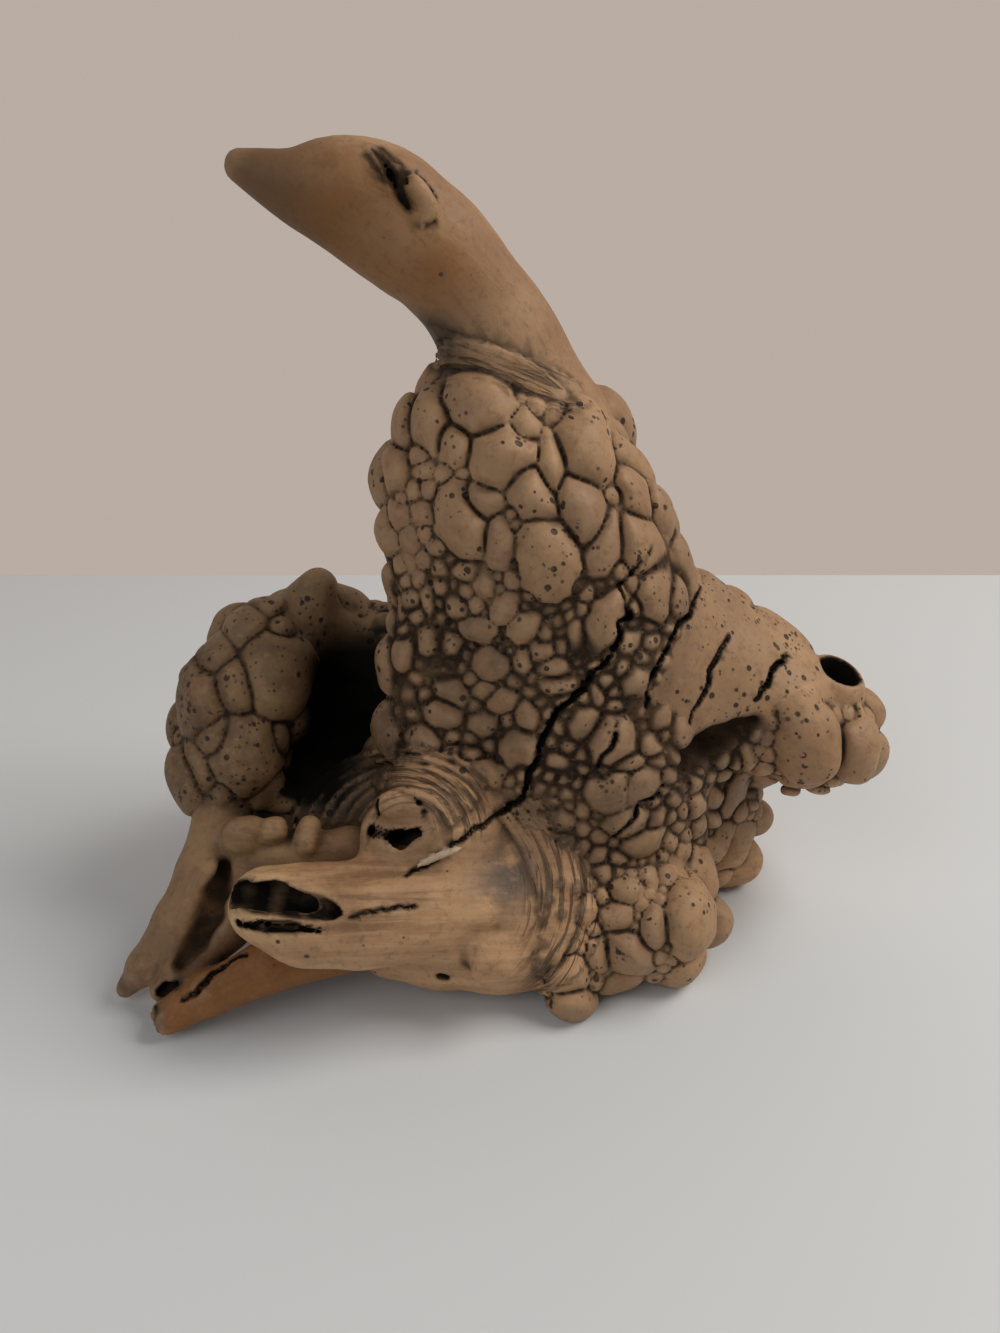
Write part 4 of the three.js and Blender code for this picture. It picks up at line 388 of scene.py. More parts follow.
    (-80.2, 43.2, 36, 6.5, 6.2, 3.7, 110, 41, 141.9),
    (83.4, -6, 9.8, 5.6, 4.4, 2.9, -38.7, 30.2, 119.4),
    (49.2, 61.8, 50.5, 5.5, 5.4, 3.1, -146.3, -19.1, 50),
    (-61.1, 46.6, 18.3, 6, 5.4, 3.3, 143.6, 41, 0.2),
    (-60.3, 35.9, 77.8, 6.2, 4.6, 3.1, 128.2, 61.1, 153.9),
    (-40.6, 65.1, 30.9, 6.1, 4.5, 3, 132.8, -15.4, 177.4),
    (-35, -13.6, 119.8, 5.5, 4, 2.7, 89.3, -9.8, 33.2),
    (-28.8, 12.3, 160, 5.7, 4.8, 3, 118.2, 0.5, 101.5),
    (126.1, 6.7, 53.5, 6.3, 6.3, 3.6, -119, 63.7, 144.4),
    (-108.6, -3.6, 60.1, 5.6, 4.2, 2.8, 115.7, 28.5, 46.7),
    (92.6, 29.8, 73.7, 6.3, 6.1, 3.6, -177.8, 14.2, 49.6),
    (87.7, 24.9, 64.2, 5.7, 5.4, 3.2, 169.6, 36.9, 131.8),
    (-10.3, 31.4, 167.7, 5.4, 5.2, 3.1, 153.1, -13.2, 46.7),
    (18.9, 55.1, 117.7, 6, 5.2, 3.2, 178.1, -12.1, 131.6),
    (39.8, 74, 22.6, 5.8, 5.7, 3.3, -167.3, 7.3, 60.3),
    (13.6, 59.6, 60.2, 4.8, 4.2, 2.6, 164, -1.9, 120.1),
    (-80.9, 39.1, 86, 4.9, 4.6, 2.8, 156.5, 23.5, 133.5),
    (30.6, 52.6, 121.4, 5.3, 4.7, 2.9, -163.2, -17.3, 96.4),
    (-68.3, 44, 97.8, 4.5, 4.2, 2.5, 158.4, -26.3, 85.8),
    (42, 60.7, 62, 4.6, 4, 2.5, -159.7, -16.6, 13.9),
    (69.4, -24.1, 22.6, 4.2, 3.9, 2.3, -88, 9.8, 149.2),
    (-73.7, 52.9, 37.3, 4.1, 3.6, 2.2, 147.3, 35.6, 65.4),
    (62.2, 48.8, 46.7, 4.2, 3.2, 2.1, -122, -5.5, 176.3),
    (-43.7, 39, 101.4, 4.2, 3.7, 2.3, -165.5, -71.9, 36.5),
    (-77.4, -7.2, 68.3, 4.1, 3.3, 2.1, -86.8, 17.5, 99.9),
    (-62, 59.9, 59.3, 4.3, 3.2, 2.1, -169.7, -14, 94),
    (-60.1, 44.6, 77.2, 4.2, 3.7, 2.3, 174.9, -12.5, 137.5),
    (-49.4, 56, 50, 4.5, 3.4, 2.3, -157.6, -8.6, 120.7),
    (-16.6, 73.8, 28.8, 4.1, 3.6, 2.2, -167.1, -11.1, 140.5),
    (-86.7, 34.1, 44.6, 4.4, 4.2, 2.5, 81.6, 25.8, 155),
    (-41.2, 18.7, 16.1, 4.8, 3.9, 2.5, -28.5, 48.8, 21.8),
    (-49.8, 57.2, 40.4, 4.4, 3.5, 2.3, 177.5, -5.2, 95.5),
    (24.7, 69.8, 40.1, 5.1, 3.9, 2.6, 161.4, -18.7, 13.9),
    (71.2, 34.6, 84.5, 4.8, 4.4, 1.3, -163.6, 4.7, 178.7),
    (-16.9, 28.7, 128.1, 4.3, 4, 2.4, 124, -2.8, 3.5),
    (96.5, 2.9, 34.2, 4.9, 4, 2.6, -66.4, 2.4, 111.9),
    (1.3, 60.5, 52.3, 4.4, 4.4, 2.5, -163.5, -10.3, 151.5),
    (-25.5, 16.8, 144, 4.7, 3.8, 2.5, 115.4, 7.1, 81.4),
    (96.2, -9.7, 56.6, 4.9, 4.4, 2.7, 9.4, 57, 23.8),
    (36.1, 22.7, 168, 4.3, 4.1, 2.4, -130.6, -27.1, 34.1),
    (69.4, 33.7, 35.5, 4.6, 3.8, 2.4, -114.6, 8.2, 173.7),
    (-63.9, 54.2, 32.5, 4.1, 3.1, 2.1, 160.4, 24.9, 85.3),
    (-87.7, 18.9, 111.7, 4.1, 3.1, 2.1, 145.2, -58.1, 31.8),
    (63.5, 43.6, 63.6, 4.6, 4.2, 2.6, -128.1, -6.5, 140.5),
    (-26.8, 68.5, 41.6, 5, 4, 2.6, 163.4, -25.8, 39.3),
    (6, 39.2, 153.1, 4.9, 4.2, 2.6, 172.9, -9.9, 48.8),
    (90.7, 11.1, 17, 4.6, 4.5, 2.7, 161.1, 7, 121.8),
    (8, 58.3, 21.5, 4.6, 4, 2.5, 144.8, 23.2, 57.5),
    (120.2, 15.5, 55.9, 4.3, 3.8, 2.3, -155.3, 43.7, 144.1),
    (-10.4, 58, 68.9, 4.3, 3.3, 2.2, -178.4, -22.5, 47.5),
    (-107.4, 11.1, 76.1, 4.5, 4.4, 2.6, 126.4, 19.8, 173.1),
    (115.8, 21.9, 64.4, 4.7, 4.4, 2.6, -169.4, 17.3, 40.9),
    (-15.9, 60.3, 63.1, 4.4, 4.3, 2.5, 174.6, -24.2, 126.6),
    (49.7, 68.3, 34, 4.3, 3.5, 2.2, -142.5, -16.7, 145.8),
    (-48.1, 50.6, 14.4, 5, 3.8, 2.5, 129, 43.6, 121.9),
    (81.3, 10.8, 7.4, 5.4, 4.4, 2.8, -128.5, 17.7, 52.4),
    (-16, 28.7, 163.6, 4.3, 4.2, 2.5, 142.5, -8.3, 105.3),
    (44.1, 25.7, 152.2, 4.5, 4.3, 1.3, -131.7, -24.5, 67.9),
    (-36.8, 51.5, 72, 4.2, 3.1, 2.1, 159.5, 13.4, 45.2),
    (24.9, 72.5, 19.7, 4.2, 4.1, 2.4, 159.7, 13.5, 85.1),
    (-104.5, 7.7, 97.9, 4.3, 4, 2.4, 109, -34.3, 132.8),
    (-41, 46.8, 7.5, 4.2, 4.2, 2.4, 89.2, 51.9, 33.6),
    (50.2, 40.9, 119.4, 4.4, 3.6, 1.2, -135.4, -16.2, 1.5),
    (64.6, 2, 132, 4.5, 3.6, 1.2, -91.9, -46, 78.7),
    (-4.1, 46.9, 97.7, 4.3, 3.5, 2.2, 138.4, -2.5, 150.6),
    (-13.8, 21.8, 184.6, 4.7, 3.6, 2.4, 137.1, -20, 125.9),
    (53.3, 52.2, 7.8, 4.2, 4.2, 2.5, -102.3, 42.6, 67.7),
    (89.9, 6.2, 114.7, 4.5, 3.3, 1.1, -96.7, -52.4, 129.7),
    (-7.4, 69.7, 28.4, 4.2, 4.1, 2.4, -145.2, -7.3, 140.1),
    (53.1, 29.2, 131.6, 4.9, 4.5, 1.4, -123.9, -27.3, 26.3),
    (-81.1, 24.6, 49, 4.9, 3.6, 2.4, 66.9, 34.8, 12.4),
    (-32.1, -2.8, 110.7, 4.8, 3.6, 2.4, 122.7, 4.2, 53.4),
    (-28.8, 11.2, 168.1, 4.2, 3.4, 2.2, 119.6, -9.4, 139.2),
    (-98.8, 16.6, 73.2, 4.5, 3.7, 2.4, 142.4, 20.8, 104.9),
    (-87.5, 27, 45.7, 4.3, 4, 2.4, 126, 24, 129.1),
    (38.2, -2.2, 178.3, 4.5, 3.3, 1.1, -83.3, -29.9, 27.7),
    (8.2, 37, 7.3, 4.3, 3.7, 2.3, 134.6, 48.1, 159.1),
    (17.1, 58.3, 98.3, 4.2, 3.8, 2.3, 169, -9.5, 28.4),
    (-45.4, 10.6, 47.2, 4.8, 4.8, 2.8, 138.3, -44.8, 159.1),
    (-32, 52.9, 84.9, 5.1, 5.1, 3, -176.4, -11.2, 103.4),
    (-29.8, 3.1, 83, 4.1, 3.6, 2.2, 91.8, -23.1, 111.5),
    (36.5, 54, 105.7, 3.4, 2.6, 1.7, -154.1, -11.8, 48.4),
    (-8.7, 42.4, 98.9, 3.2, 2.4, 1.6, 134.3, -3.1, 78),
    (54, 15.9, 144.5, 3.4, 3.2, 0.9, -112.9, -19, 165),
    (-23.1, 49.1, 88.9, 3.9, 3.4, 2.1, -156.8, -30.2, 16.4),
    (69.8, 25.4, 14.3, 3.3, 3.3, 1.9, -134.9, -6.6, 16.5),
    (-30.2, 55.2, 63.1, 3.2, 3, 1.8, 148.2, -20.9, 74),
    (-14.6, 31, 136.6, 3.3, 3.1, 1.9, 134.3, -2.4, 139.5),
    (-112.1, 0.8, 84.5, 3.7, 3.4, 2.1, 92.2, -5, 64.3),
    (25.3, 34.8, 160.2, 3.4, 3.3, 1.9, -157.6, -20.4, 163.3),
    (37.1, 59.6, 84.5, 3.4, 3.3, 1.9, -156.6, -14.1, 110.9),
    (69.3, -31.9, 9.2, 3.3, 3.1, 1.8, -128.4, 41.5, 155.8),
    (62.9, 30.7, 10.2, 3.4, 2.9, 1.8, -146.6, 10.1, 105.4),
    (-30.6, 8.1, 154.9, 3.4, 3.3, 1.9, 115.3, 5.7, 10.8),
    (47.8, 57, 65.5, 3.2, 2.9, 1.8, -149.6, -12.7, 42.7),
    (71.7, 24.1, 26.3, 3.4, 2.7, 1.7, -115.9, 14.1, 127.6),
    (-4.8, 56.7, 7.4, 4.1, 3.2, 2.1, -111.3, 41.9, 113.1),
    (124, -11.7, 58.9, 3.7, 3.3, 2, -38.6, 33.1, 11.4),
    (47.3, 60.1, 57.6, 3.4, 2.9, 1.8, -151.2, -20.2, 27.2),
    (-19.4, 28.2, 10.3, 3.7, 3.1, 2, 0.6, 49.5, 23.3),
    (-84, 37.4, 39.4, 3.3, 2.4, 1.7, 89.2, 35.4, 42.8),
    (-18, 27.1, 134.7, 3.7, 3.1, 2, 128.1, 1.2, 140.6),
    (-79.2, 49.8, 39, 3.3, 3.1, 1.9, 130.7, 36.2, 83.7),
    (-45, 26.5, 11.1, 3.6, 2.9, 1.9, -30.1, 71.8, 171.4),
    (-3.9, 38.5, 140.8, 3.5, 2.5, 1.7, 150.9, -12.4, 52.8),
    (-54.5, 48.4, 16.5, 3.4, 3.2, 1.9, 151.6, 45.2, 179.4),
    (54.4, 49.3, 77.1, 3.3, 2.7, 1.7, -137.5, -13.1, 71.4),
    (-11.9, 72.7, 25.4, 3.3, 3, 1.8, -156, -3.2, 22),
    (-35.2, -9.8, 141.3, 3.7, 3.5, 2.1, 88.3, -1.3, 25),
    (-34.4, 67.9, 36.1, 3.3, 3.2, 1.9, 145.7, -25.8, 157.8),
    (-73, 7.8, 82.9, 3.9, 3.7, 2.2, -93.3, 13.8, 178.5),
    (-82.9, 43.9, 71, 3.6, 3.3, 2, 134.9, -34, 46.2),
    (18.1, 35.8, 164.2, 3.3, 2.5, 1.7, -166, -19.7, 101.9),
    (49.5, 44.3, 107.7, 3.2, 3.1, 0.9, -138.5, -7.5, 23.1),
    (32.3, 74.5, 21.6, 3.2, 3.1, 1.8, 176.4, 9.5, 82.7),
    (65.8, 36.6, 87.4, 3.3, 2.6, 0.8, -155, -7.2, 109.7),
    (6, 59, 56, 3.7, 3.3, 2, -176.6, -9.6, 27.1),
    (12.2, 63.7, 31.8, 3.2, 2.5, 1.6, 138.3, -3.4, 15.2),
    (22.6, 63.8, 54.7, 3.3, 3, 1.8, 163, -18.4, 73.2),
    (-22.4, 13, 105.1, 3.3, 2.7, 1.7, 103, 4.7, 109.7),
    (50.2, 3.6, 158.8, 3.2, 2.4, 0.8, -95.7, -30.2, 138.9),
    (65.2, 43.9, 44.8, 3.4, 2.6, 1.7, -118.1, -1.5, 115.4),
    (70.7, -17.7, 20.6, 3.2, 3, 1.8, -62.9, 20.3, 10.9),
    (-5.4, 41.6, 7.2, 3.8, 3.4, 2.1, -66, 49.9, 53),
    (-29.1, 8.1, 173.3, 3.7, 3.2, 2, 118.2, -16.1, 66.2),
    (106.1, -1.5, 50.7, 3.5, 3.2, 1.9, 55.6, 72.2, 73.5),
    (57.9, 60.3, 25.8, 3.2, 3.1, 1.8, -117.3, 0.5, 46.3),
    (122, -8.6, 54.6, 3.5, 2.9, 1.9, -40.1, 48.5, 129.5),
    (-27.9, 13.3, 151.6, 3.4, 2.6, 1.7, 114, 4.1, 32.1),
    (-110.9, -13.3, 74.1, 3.8, 3.4, 2.1, 74, -13.5, 81.4),
    (-94.9, 22.7, 75.4, 3.6, 3, 1.9, 107.1, -11.1, 11.7),
    (-9.5, 15.2, 8.3, 4.1, 4, 2.4, 107.6, 39.9, 13.6),
]

# Small pebbles between them, in the same form.
PEBBLES = [
    (24.8, -42, 134.6, 3, 2.7, 1.8, 4.9, -23, 42.4),
    (56.5, -41, 68.4, 3.1, 2.6, 1.8, 11.1, -32.6, 49.9),
    (15.2, -45.9, 102.7, 2.8, 2, 1.5, 3.1, -28.5, 152.3),
    (46.6, -36.2, 122, 3.4, 3.1, 2.1, 9, -24.4, 140.6),
    (-18.4, -30.3, 127.2, 2.9, 2.5, 1.7, -3.5, -23.4, 41.7),
    (-9.5, -35.4, 108.8, 3.2, 2.9, 1.9, -1.8, -26.7, 52.3),
    (-19.3, -44, 82.8, 3.7, 3.3, 2.2, -3.9, -31.3, 162.3),
    (-26.8, -30.4, 106.9, 3.3, 2.8, 1.9, -5.1, -26.5, 153.4),
    (21.5, -50.5, 75.6, 3, 2.1, 1.6, 4.4, -32.9, 12.2),
    (69.4, -27.1, 39.2, 3.8, 3.4, 2.3, 12.9, -35, 67.2),
    (21.4, -48.1, 91.9, 2.9, 2.6, 1.7, 4.3, -30.3, 8.8),
    (49.5, -40.7, 97.2, 3.7, 3.5, 2.3, 9.7, -28.6, 75.8),
    (32.4, -44.8, 112.5, 2.9, 2.7, 1.8, 6.5, -26.7, 99.6),
    (14.8, -42.6, 136.1, 2.9, 2.3, 1.6, 3, -22.8, 171.7),
    (32, -49.7, 53, 3.1, 3, 2, 6.5, -35.9, 139),
    (4.2, -42, 111.6, 3.2, 3, 2, 0.8, -26.8, 145.1),
    (25.6, -40.8, 140.4, 2.7, 2.1, 1.5, 5.1, -21.9, 55.2),
    (2.5, -41.9, 97.8, 3, 2.5, 1.7, 0.5, -28.9, 109.2),
    (-22.6, -24.2, 172, 3.2, 2.8, 1.9, -4.2, -15.5, 176.4),
    (-22.9, -26.4, 159.7, 3.5, 3.5, 2.2, -4.3, -17.7, 67.2),
    (28.8, -44.5, 117.4, 3.4, 2.7, 1.9, 5.8, -25.9, 16.5),
    (35.1, -36.2, 144.2, 2.8, 2.5, 1.7, 6.8, -20.9, 80.1),
    (75.6, -18.5, 53.9, 3.9, 3.8, 2.5, 13.6, -32.4, 136.2),
    (38.9, -35.2, 140.4, 2.9, 2.6, 1.7, 7.5, -21.4, 114.2),
    (9.5, -44.2, 108.7, 2.8, 2.3, 1.6, 1.9, -27.4, 18.1),
    (26.3, -50.2, 63.1, 3.1, 3, 2, 5.4, -34.6, 159.2),
    (24.1, -44.5, 120, 2.9, 2.5, 1.7, 4.8, -25.6, 121.1),
    (-7.3, -36, 134.9, 3.3, 2.7, 1.9, -1.4, -22.5, 91),
    (31.8, -49.6, 59.6, 3.2, 3, 2, 6.5, -35, 3),
    (18.7, -43.9, 124.5, 2.8, 2.7, 1.7, 3.7, -24.8, 96.8),
    (-9.9, -34.5, 138.3, 2.8, 2.6, 1.7, -1.9, -21.9, 7.6),
    (16, -49.2, 81.8, 3, 2.3, 1.7, 3.3, -31.9, 153.3),
    (37.3, -42.6, 116.8, 3.4, 2.5, 1.9, 7.4, -25.8, 81.1),
    (-27.3, -33.3, 95, 3.5, 3.3, 2.2, -5.3, -28.5, 35.7),
    (53.3, -30.1, 124, 3.2, 3.1, 2, 10.1, -23.6, 127.1),
    (-41.4, 27.5, 100.5, 4.3, 4.3, 2.7, -6.6, -23.5, 144.6),
    (35.4, -45, 104, 3.5, 3, 2.1, 7.1, -28, 5.4),
    (20.7, -42.6, 133.7, 2.7, 1.9, 1.4, 4.1, -23.2, 139.2),
    (-28, -24.1, 130.6, 3.4, 3.1, 2, -5.2, -22.4, 102.7),
    (25.6, -49.8, 84.7, 3, 2.2, 1.7, 5.2, -31.5, 55.7),
    (53.8, -43, 78.6, 3.5, 3.4, 2.2, 10.6, -31.4, 125.9),
    (-2.4, -40.6, 88.4, 3, 2.8, 1.8, -0.5, -30.2, 171.7),
    (-14.7, -40.4, 85.5, 3.4, 2.5, 1.9, -2.9, -30.6, 178.2),
    (-33.2, -23.8, 103.5, 3.9, 2.8, 2.1, -6.2, -26.5, 8.2),
    (10.8, -21.5, 191, 3.1, 2.3, 1.7, 2, -12.1, 42.3),
    (62.1, -35.8, 44.5, 3.1, 3.1, 2, 11.9, -35.3, 118.9),
    (38.7, -48.5, 50.6, 3.7, 2.9, 2.1, 7.8, -36, 5),
    (18.8, -46.8, 98.3, 2.8, 2, 1.5, 3.8, -29.2, 33.4),
    (50.1, -35.8, 116.3, 3.2, 2.8, 1.9, 9.7, -25.2, 21.8),
    (13.3, -48.9, 76.9, 3.1, 2.4, 1.7, 2.7, -32.6, 155),
    (15.4, -46.9, 93.3, 2.8, 2.2, 1.6, 3.1, -30, 28.1),
    (3.5, -40, 144.2, 3, 2.7, 1.8, 0.7, -21.3, 88.6),
    (-27.1, -40.4, 82, 3.3, 3.2, 2.1, -5.3, -31, 9.2),
    (25.3, -46.2, 108.4, 3, 2.4, 1.7, 5.1, -27.5, 26.9),
    (64.6, -34.2, 70, 3.4, 2.9, 2, 12.3, -31.7, 121.2),
    (-8.4, -36.8, 100.2, 3, 2.2, 1.6, -1.6, -28.1, 66.9),
    (-25.9, -26.8, 125.8, 3.5, 2.9, 2, -4.9, -23.3, 13),
    (-10.5, -34.6, 116.8, 2.9, 2.2, 1.6, -2, -25.4, 68.3),
    (-14.9, -38.4, 89.8, 3.3, 3, 2, -2.9, -29.8, 97),
    (40.3, -36.6, 132.9, 3.4, 2.9, 2, 7.8, -22.7, 148.5),
    (26.7, -50.7, 56, 3, 2.4, 1.7, 5.5, -35.6, 156.2),
    (20.4, -51.6, 58.7, 3.3, 2.5, 1.8, 4.2, -35.4, 178.4),
    (26.1, -50.7, 70.4, 3.4, 2.7, 1.9, 5.3, -33.6, 89.7),
    (9.4, -41.6, 140, 2.8, 2, 1.5, 1.9, -22.1, 155.1),
    (55.8, -40.7, 84, 3.8, 3.2, 2.2, 10.9, -30.4, 44.8),
    (45.7, -35, 126.9, 3.1, 2.2, 1.6, 8.8, -23.5, 55.8),
    (16.1, -20.9, 189.2, 3.3, 2.8, 1.9, 3, -12.4, 149.2),
    (33.4, -42.7, 120.3, 2.9, 2.6, 1.7, 6.6, -25.3, 28.2),
    (25.3, -48.8, 89.8, 3.3, 2.6, 1.9, 5.1, -30.6, 116.6),
    (20.3, -46.2, 106.9, 3.5, 3.3, 2.2, 4.1, -27.8, 176.1),
    (-24, -32.6, 101.7, 3.2, 2.6, 1.9, -4.6, -27.5, 132.4),
    (-18.1, -29.5, 143.6, 3.5, 2.5, 1.9, -3.4, -20.6, 82.9),
    (48.7, -45.8, 70.5, 3, 2.3, 1.7, 9.7, -32.9, 94.2),
    (8.5, -47.4, 76.2, 2.9, 2.2, 1.6, 1.7, -32.6, 157.7),
    (-16.7, -27.2, 172.3, 2.8, 2.3, 1.6, -3.2, -15.6, 91.3),
    (19, -42.2, 137.7, 2.7, 2.2, 1.6, 3.8, -22.5, 84.5),
    (56.4, -62.2, 19.1, 3, 2.1, 1.6, 11.9, -41, 44.9),
    (52.7, -58.4, 8.1, 3.4, 3.3, 2.1, 11, -42, 20.1),
    (32, -64.8, 11.7, 3.3, 3.1, 2, 6.9, -42.6, 105.2),
    (18.8, -59.5, 46.7, 3.1, 2.2, 1.7, 4, -37.8, 123),
    (19.1, -64.7, 39.3, 3.4, 3.4, 2.2, 4.1, -39.3, 154),
    (24.2, -57.9, 44.4, 3.3, 3, 2, 5.1, -37.9, 4.7),
    (13.9, -67.2, 38.7, 2.9, 2.8, 1.8, 3, -39.7, 69.5),
    (53.1, -26.4, -23.4, 4.1, 3.9, 2.5, 9.9, -42.3, 108.1),
    (45.9, -57.2, 38.3, 3.1, 2.8, 1.9, 9.6, -38.3, 64.4),
    (43.7, -35.6, -14.7, 4.4, 4, 2.7, 8.4, -42.4, 127.6),
    (33.9, -51.4, 45.1, 3.7, 3.7, 2.3, 6.9, -37.1, 166.8),
    (52, -56, 38.8, 3.1, 2.3, 1.7, 10.7, -38, 17.2),
    (23.2, -65.8, 28.4, 3.3, 2.4, 1.8, 5, -40.8, 110.5),
    (13.6, -69.4, 32.3, 3.4, 2.8, 2, 3, -40.7, 138),
    (55.6, -48.6, 42, 3.7, 3.4, 2.3, 11.2, -36.9, 50.1),
    (29.5, -54.6, 43.7, 3.2, 2.2, 1.7, 6.1, -37.6, 157.7),
    (15, -63.5, 44.1, 3.6, 3.3, 2.2, 3.2, -38.6, 15.5),
    (40.3, -37.6, -21.6, 3.3, 2.9, 2, 7.9, -43.3, 16.2),
    (48.9, -50.6, 43.2, 3.8, 3.3, 2.2, 9.9, -37, 77.6),
    (13, -70.3, 25.2, 3.3, 2.7, 1.9, 2.9, -41.7, 102.9),
    (33.3, -54.5, 39.7, 3.5, 3.5, 2.2, 6.9, -38.1, 130.6),
    (30.9, -60.8, 30.9, 3.3, 2.8, 1.9, 6.5, -39.8, 57.6),
    (51.4, -63.8, 22.2, 2.9, 2.9, 1.9, 10.9, -40.9, 112.1),
    (75.3, -23.2, 71.9, 3.3, 2.8, 1.9, 13.8, -30.4, 153.7),
    (114.1, -15.4, 83.7, 3.4, 3.2, 2.1, 19.9, -27.4, 116),
    (92, -21.6, 73.1, 3.4, 2.7, 1.9, 16.6, -29.7, 53.1),
    (94.1, 0.6, 44.9, 3.9, 3.5, 2.3, 15.9, -31.7, 35.8),
    (118, -13.6, 57.1, 3.4, 3, 2, 20.4, -30.6, 12),
    (90.4, -22.9, 80.4, 3.5, 2.8, 2, 16.4, -28.9, 123),
    (88.5, -7.2, 40.4, 3.4, 2.8, 2, 15.3, -32.9, 79.1),
    (128.6, -8.7, 79.5, 3.5, 3.4, 2.2, 21.8, -27.2, 111.2),
    (91.5, -18.3, 65.4, 4, 3.1, 2.2, 16.4, -30.5, 169.6),
    (77.4, -17.3, 62.8, 3.3, 2.8, 1.9, 13.9, -31.1, 16.4),
    (-75.4, 4.7, 109.5, 3.5, 3.1, 2.1, -12.7, -23.3, 158.4),
    (-76.9, 8.2, 67.6, 3.6, 2.7, 2, -12.8, -28.6, 163.8),
    (-94.7, -27.9, 62.4, 3.5, 3.2, 2.1, -17.4, -31.6, 5.7),
    (59, -38.1, 55.5, 2.5, 2.3, 1.5, 11.4, -34.1, 21.3),
    (31.6, -50.3, 68.8, 2.5, 2.1, 1.5, 6.4, -33.8, 11),
    (-30.3, -25, 120.8, 2.9, 2.7, 1.8, -5.7, -24, 121.1),
    (-40.5, 21.3, 96.3, 3.7, 3.6, 2.3, -6.6, -24.4, 39.7),
    (35.2, -44.7, 109, 2.5, 2.4, 1.6, 7, -27.2, 146.4),
    (16.6, -42.9, 132.5, 2.6, 2.4, 1.6, 3.3, -23.4, 86.3),
    (53.5, -42.9, 47.9, 2.5, 2, 1.5, 10.6, -35.6, 53.7),
    (16.5, -49.8, 72.6, 2.7, 1.9, 1.4, 3.4, -33.3, 37),
    (43.5, -42.9, 100.5, 2.9, 2.7, 1.8, 8.6, -28.3, 93.9),
    (-37.3, -13.6, 69, 3, 2.4, 1.7, -6.7, -30.5, 130.9),
    (43.6, -39.5, 118.1, 2.9, 2.4, 1.7, 8.5, -25.3, 18.9),
    (24.5, -50.4, 79.9, 2.8, 2.1, 1.6, 5, -32.2, 109.3),
    (51.9, -33, 120.6, 2.4, 2.1, 1.4, 9.9, -24.3, 107.1),
    (10.1, -43.9, 113.7, 2.5, 2.2, 1.5, 2, -26.6, 124.5),
    (-12.2, -34.6, 112.4, 2.5, 2.1, 1.4, -2.4, -26.1, 95.2),
    (12.2, -45.1, 106.1, 2.4, 2, 1.4, 2.5, -27.9, 174.2),
    (-25.2, -30.9, 112.5, 2.4, 1.9, 1.4, -4.8, -25.7, 125.8),
    (-21, -26.5, 167.5, 2.9, 2.3, 1.7, -4, -16.4, 75.8),
    (-9, -39, 89.5, 3.2, 2.7, 1.9, -1.8, -29.9, 100.6),
    (-33.1, -28.4, 93.1, 2.5, 2.1, 1.5, -6.3, -28.4, 41.9),
    (12.3, -47.8, 83.2, 2.8, 2.3, 1.6, 2.5, -31.6, 164.7),
    (-24.6, -21.3, 175.9, 2.6, 2.5, 1.6, -4.6, -14.7, 33.7),
    (19.8, -50, 80.9, 2.4, 1.9, 1.3, 4, -32.1, 124.1),
    (-18.4, -29.8, 132.2, 2.4, 2, 1.4, -3.5, -22.5, 29.6),
    (60.9, -46.4, 39.9, 2.5, 2, 1.4, 12.1, -36.8, 168.8),
    (19.9, -62, 42.9, 2.5, 1.8, 1.3, 4.2, -38.5, 24.9),
    (43.7, -61.4, 32, 2.8, 2.2, 1.6, 9.2, -39.6, 133.7),
    (19.3, -67.6, 29.8, 2.5, 2.1, 1.4, 4.2, -40.8, 28.5),
    (26.7, -64.4, 25.4, 2.4, 2, 1.4, 5.7, -40.9, 173.2),
    (16.6, -66.9, 8.7, 2.5, 2.5, 1.6, 3.6, -43.3, 94.6),
    (68.6, -37.6, 31.8, 2.8, 2.3, 1.6, 13.2, -36.9, 13.4),
    (86, -23.2, 81.2, 2.8, 2.2, 1.6, 15.7, -28.9, 164.8),
    (119.5, -12.9, 83.6, 2.7, 2.6, 1.7, 20.7, -27.1, 146),
    (92.1, -22.6, 84.9, 2.6, 2.5, 1.6, 16.7, -28.2, 79.2),
    (20.9, -46.7, 102.5, 2.1, 2, 1.3, 4.2, -28.5, 7.7),
    (59.9, -38.6, 70.6, 2.1, 1.8, 1.2, 11.6, -32.1, 79.4),
    (-30.1, -22.2, 136.6, 2.3, 2, 1.4, -5.6, -21.3, 44.3),
    (51, -41.5, 91.7, 2.2, 2, 1.3, 10, -29.4, 124.1),
    (3.3, -44.9, 78.1, 2.3, 1.8, 1.3, 0.7, -32.1, 134.2),
    (32.8, -38.1, 141.5, 2.3, 1.8, 1.3, 6.4, -21.5, 114.5),
    (75.6, -17.4, 38, 2.3, 2.1, 1.4, 13.6, -34.2, 27.5),
    (13.6, -46, 97.4, 2, 2, 1.3, 2.7, -29.3, 148.4),
    (11.6, -42.2, 137.5, 2, 1.5, 1.1, 2.3, -22.5, 165.9),
    (43.9, -43.8, 96.3, 2.1, 2.1, 1.3, 8.7, -29, 115.6),
    (36.8, -48.5, 56.9, 2, 1.8, 1.2, 7.5, -35.2, 70.5),
    (4.5, -37.6, 160.1, 1.9, 1.5, 1.1, 0.9, -18.3, 140.2),
    (-0.6, -38.8, 144.8, 1.8, 1.4, 1, -0.1, -21.1, 2.8),
    (60.7, -37.2, 60.9, 2.6, 2.6, 1.7, 11.7, -33.3, 120.1),
    (17.5, -49.9, 76.6, 2.3, 1.8, 1.3, 3.6, -32.7, 133.7),
    (0.4, -42.7, 84.1, 1.9, 1.5, 1.1, 0.1, -31, 120.4),
    (59.4, -39.1, 77.7, 2, 2, 1.3, 11.5, -31.1, 157.1),
